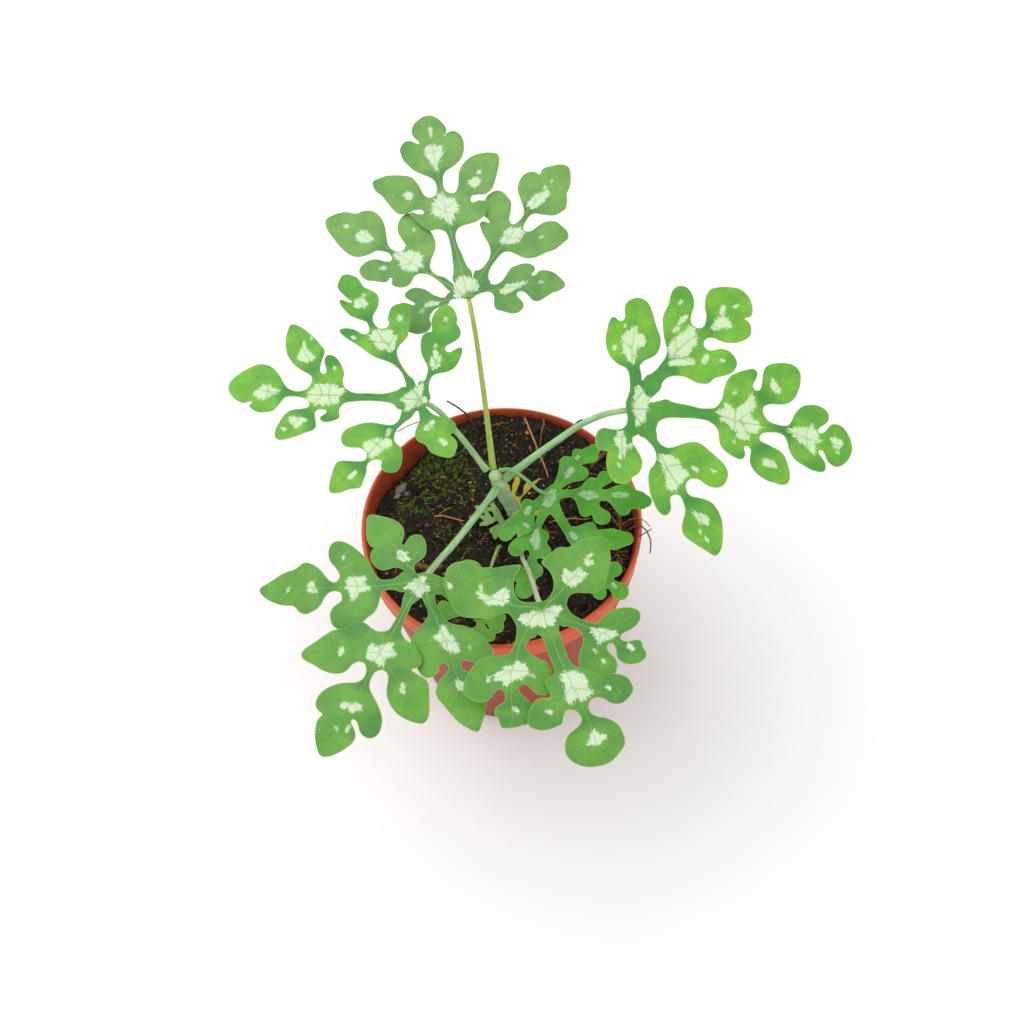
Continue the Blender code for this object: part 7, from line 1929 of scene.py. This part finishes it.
def moss_tufts(rng, roots):
    """From each root a few short pointed leaves."""
    points = []
    faces = []
    tones = []
    for root in roots:
        tone = rng.uniform(0, 1)
        for _ in range(SPIKES_PER_TUFT):
            angle = rng.uniform(0, math.tau)
            lean = rng.uniform(0.3, 1.1)
            length = rng.uniform(0.5, 1.15)
            aim = np.array([math.cos(angle) * lean, math.sin(angle) * lean, 1.0])
            aim /= np.linalg.norm(aim)
            side = unit(np.cross(aim, (0, 0, 1.0))) * SPIKE_HALF_WIDTH
            thick = np.cross(aim, side) * 0.5
            start = len(points)
            foot = root + aim * 0.05
            points += [foot - side, foot + side, foot + thick, root + aim * length]
            faces += [(start, start + 2, start + 1), (start, start + 1, start + 3),
                      (start + 1, start + 2, start + 3), (start + 2, start, start + 3)]
            tones += [tone] * 4
    return np.array(points), faces, {"tone": np.array(tones)}


def build_moss(rng):
    tufts = []
    for centre, radius, count in MOSS_BEDS:
        spots = in_disc(rng, count, radius) + centre
        spots = spots[np.hypot(*spots.T) < LITTER_RADIUS]
        tufts.append(moss_tufts(rng, on_soil(spots, -0.1)))
    mesh_piece("moss", joined(tufts), [grain_finish("moss_finish")])


def build_litter():
    """The litter, whose pieces all draw from one generator, in this order."""
    rng = np.random.default_rng(LITTER_SEED)
    for build in (build_fibres, build_grains, build_grey_lump, build_moss):
        build(rng)


def pot_inside(look, place, height):
    """One on the inner wall, nought outside: measured from the sloping inner wall."""
    away = look.node("VectorMath", operation="LENGTH")
    look.feed(away.inputs[0], look.stretch(place, (1.0, 1.0, 0.0)))
    beyond = look.scaled_sum(height, -POT_WALL_SLOPE, away.outputs["Value"])
    face = POT_FLOOR_RADIUS - POT_WALL_SLOPE * POT_FLOOR
    return look.fade(beyond, *((face + edge) * MM for edge in INNER_WALL_EDGE))


def pot_finish():
    """Thin terracotta-coloured plastic with dusty streaks, faint mould rings and soil smears inside, with
    painted shade darkening the wall below the rim band and the inner wall.
    """
    look = Finish("pot_plastic_finish")
    place = look.place()
    split = look.node("SeparateXYZ")
    look.feed(split.inputs[0], place)
    height = split.outputs[2]
    streak = look.noise(look.stretch(place, (1.0, 1.0, 0.18)), 160, 4, 0.6)
    cloud = look.noise(place, 34, 3)
    colour = look.mix(look.step(cloud, 0.3, 0.7), rgb(*POT_RED), rgb(*POT_ORANGE))
    colour = look.mix(look.step(streak, 0.55, 0.75, 0.0, 0.3), colour, rgb(*POT_STREAK))
    dust = look.times(look.step(look.noise(place, 420, 3, 0.7), 0.6, 0.72), 0.35)
    colour = look.mix(dust, colour, rgb(*POT_DUST))
    # painted shade: the wall below the rim band is darkened all round
    painted_shade_below_band = look.fade(height, *(MM * level for level in RIM_BAND_FOOT), 0.8)
    colour = look.mix(painted_shade_below_band, colour, rgb(*POT_WALL_PAINTED_SHADE))
    inside = pot_inside(look, place, height)
    # painted shade: the inner wall is darkened
    colour = look.mix(look.times(inside, 0.6), colour, rgb(*POT_INSIDE_PAINTED_SHADE))
    low = look.fade(height, *(MM * level for level in SMEAR_HEIGHTS), 0.65)
    smear = look.times(look.times(low, inside), look.step(streak, 0.35, 0.6))
    colour = look.mix(smear, colour, rgb(*POT_SMEAR))
    rings = look.math("SINE", look.times(height, MOULD_RINGS))
    normal = look.bump(rings, 0.02, 0.15, look.bump(look.noise(place, 900, 2), 0.03, 0.25))
    return look.surface(colour, look.step(cloud, 0.3, 0.7, 0.46, 0.56), normal, specular=0.3, through=0.06)


def build_floor():
    mesh = bpy.data.meshes.new("floor")
    corners = [(-1, -1), (1, -1), (1, 1), (-1, 1)]
    mesh.from_pydata([(x * FLOOR_REACH, y * FLOOR_REACH, 0) for x, y in corners], [], [(0, 1, 2, 3)])
    look = Finish("floor_finish")
    tint = look.mix(look.noise(look.place(), 1.5, 2), rgb(250, 250, 249), rgb(246, 246, 246))
    mesh.materials.append(look.surface(tint, 0.9, specular=0.1))
    floor = bpy.data.objects.new("floor", mesh)
    bpy.context.scene.collection.objects.link(floor)


def build_lights():
    world = bpy.context.scene.world or bpy.data.worlds.new("studio")
    bpy.context.scene.world = world
    world.use_nodes = True
    backdrop = world.node_tree.nodes["Background"]
    backdrop.inputs["Color"].default_value = (1.0, 1.0, 1.0, 1.0)
    backdrop.inputs["Strength"].default_value = WORLD_STRENGTH
    for name, spot, size, power in LAMPS:
        light = bpy.data.lights.new(name, "AREA")
        light.size = size
        light.energy = power
        lamp = bpy.data.objects.new(name, light)
        lamp.location = spot
        lamp.rotation_euler = (Vector(LAMP_AIM) - Vector(spot)).to_track_quat("-Z", "Y").to_euler()
        bpy.context.scene.collection.objects.link(lamp)
    bpy.context.scene.view_settings.view_transform = "Standard"


def build_camera():
    """A camera that aims at the middle of the rim, then pans, pitches and rolls a little."""
    rise = math.radians(CAMERA_ELEVATION)
    aim = Vector((0.0, math.cos(rise), -math.sin(rise)))
    right = Vector((1.0, 0.0, 0.0))
    up = right.cross(aim)
    place = Vector((0.0, 0.0, POT_HEIGHT * MM)) - aim * CAMERA_DISTANCE
    pan = Matrix.Rotation(math.radians(CAMERA_PAN), 3, up)
    aim, right = pan @ aim, pan @ right
    pitch = Matrix.Rotation(math.radians(CAMERA_PITCH), 3, right)
    aim, up = pitch @ aim, pitch @ up
    roll = Matrix.Rotation(math.radians(CAMERA_ROLL), 3, aim)
    right, up = roll @ right, roll @ up
    data = bpy.data.cameras.new("camera")
    data.lens = CAMERA_LENS
    data.sensor_width = CAMERA_SENSOR
    camera = bpy.data.objects.new("camera", data)
    turn = Matrix((right, up, -aim)).transposed().to_4x4()
    camera.matrix_world = Matrix.Translation(place) @ turn
    bpy.context.scene.collection.objects.link(camera)
    bpy.context.scene.camera = camera


build_camera()
build_floor()
build_lights()
build_leaves()
build_stem()
build_soil()
build_litter()
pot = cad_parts["pot"]
pot.data.materials.clear()
pot.data.materials.append(pot_finish())
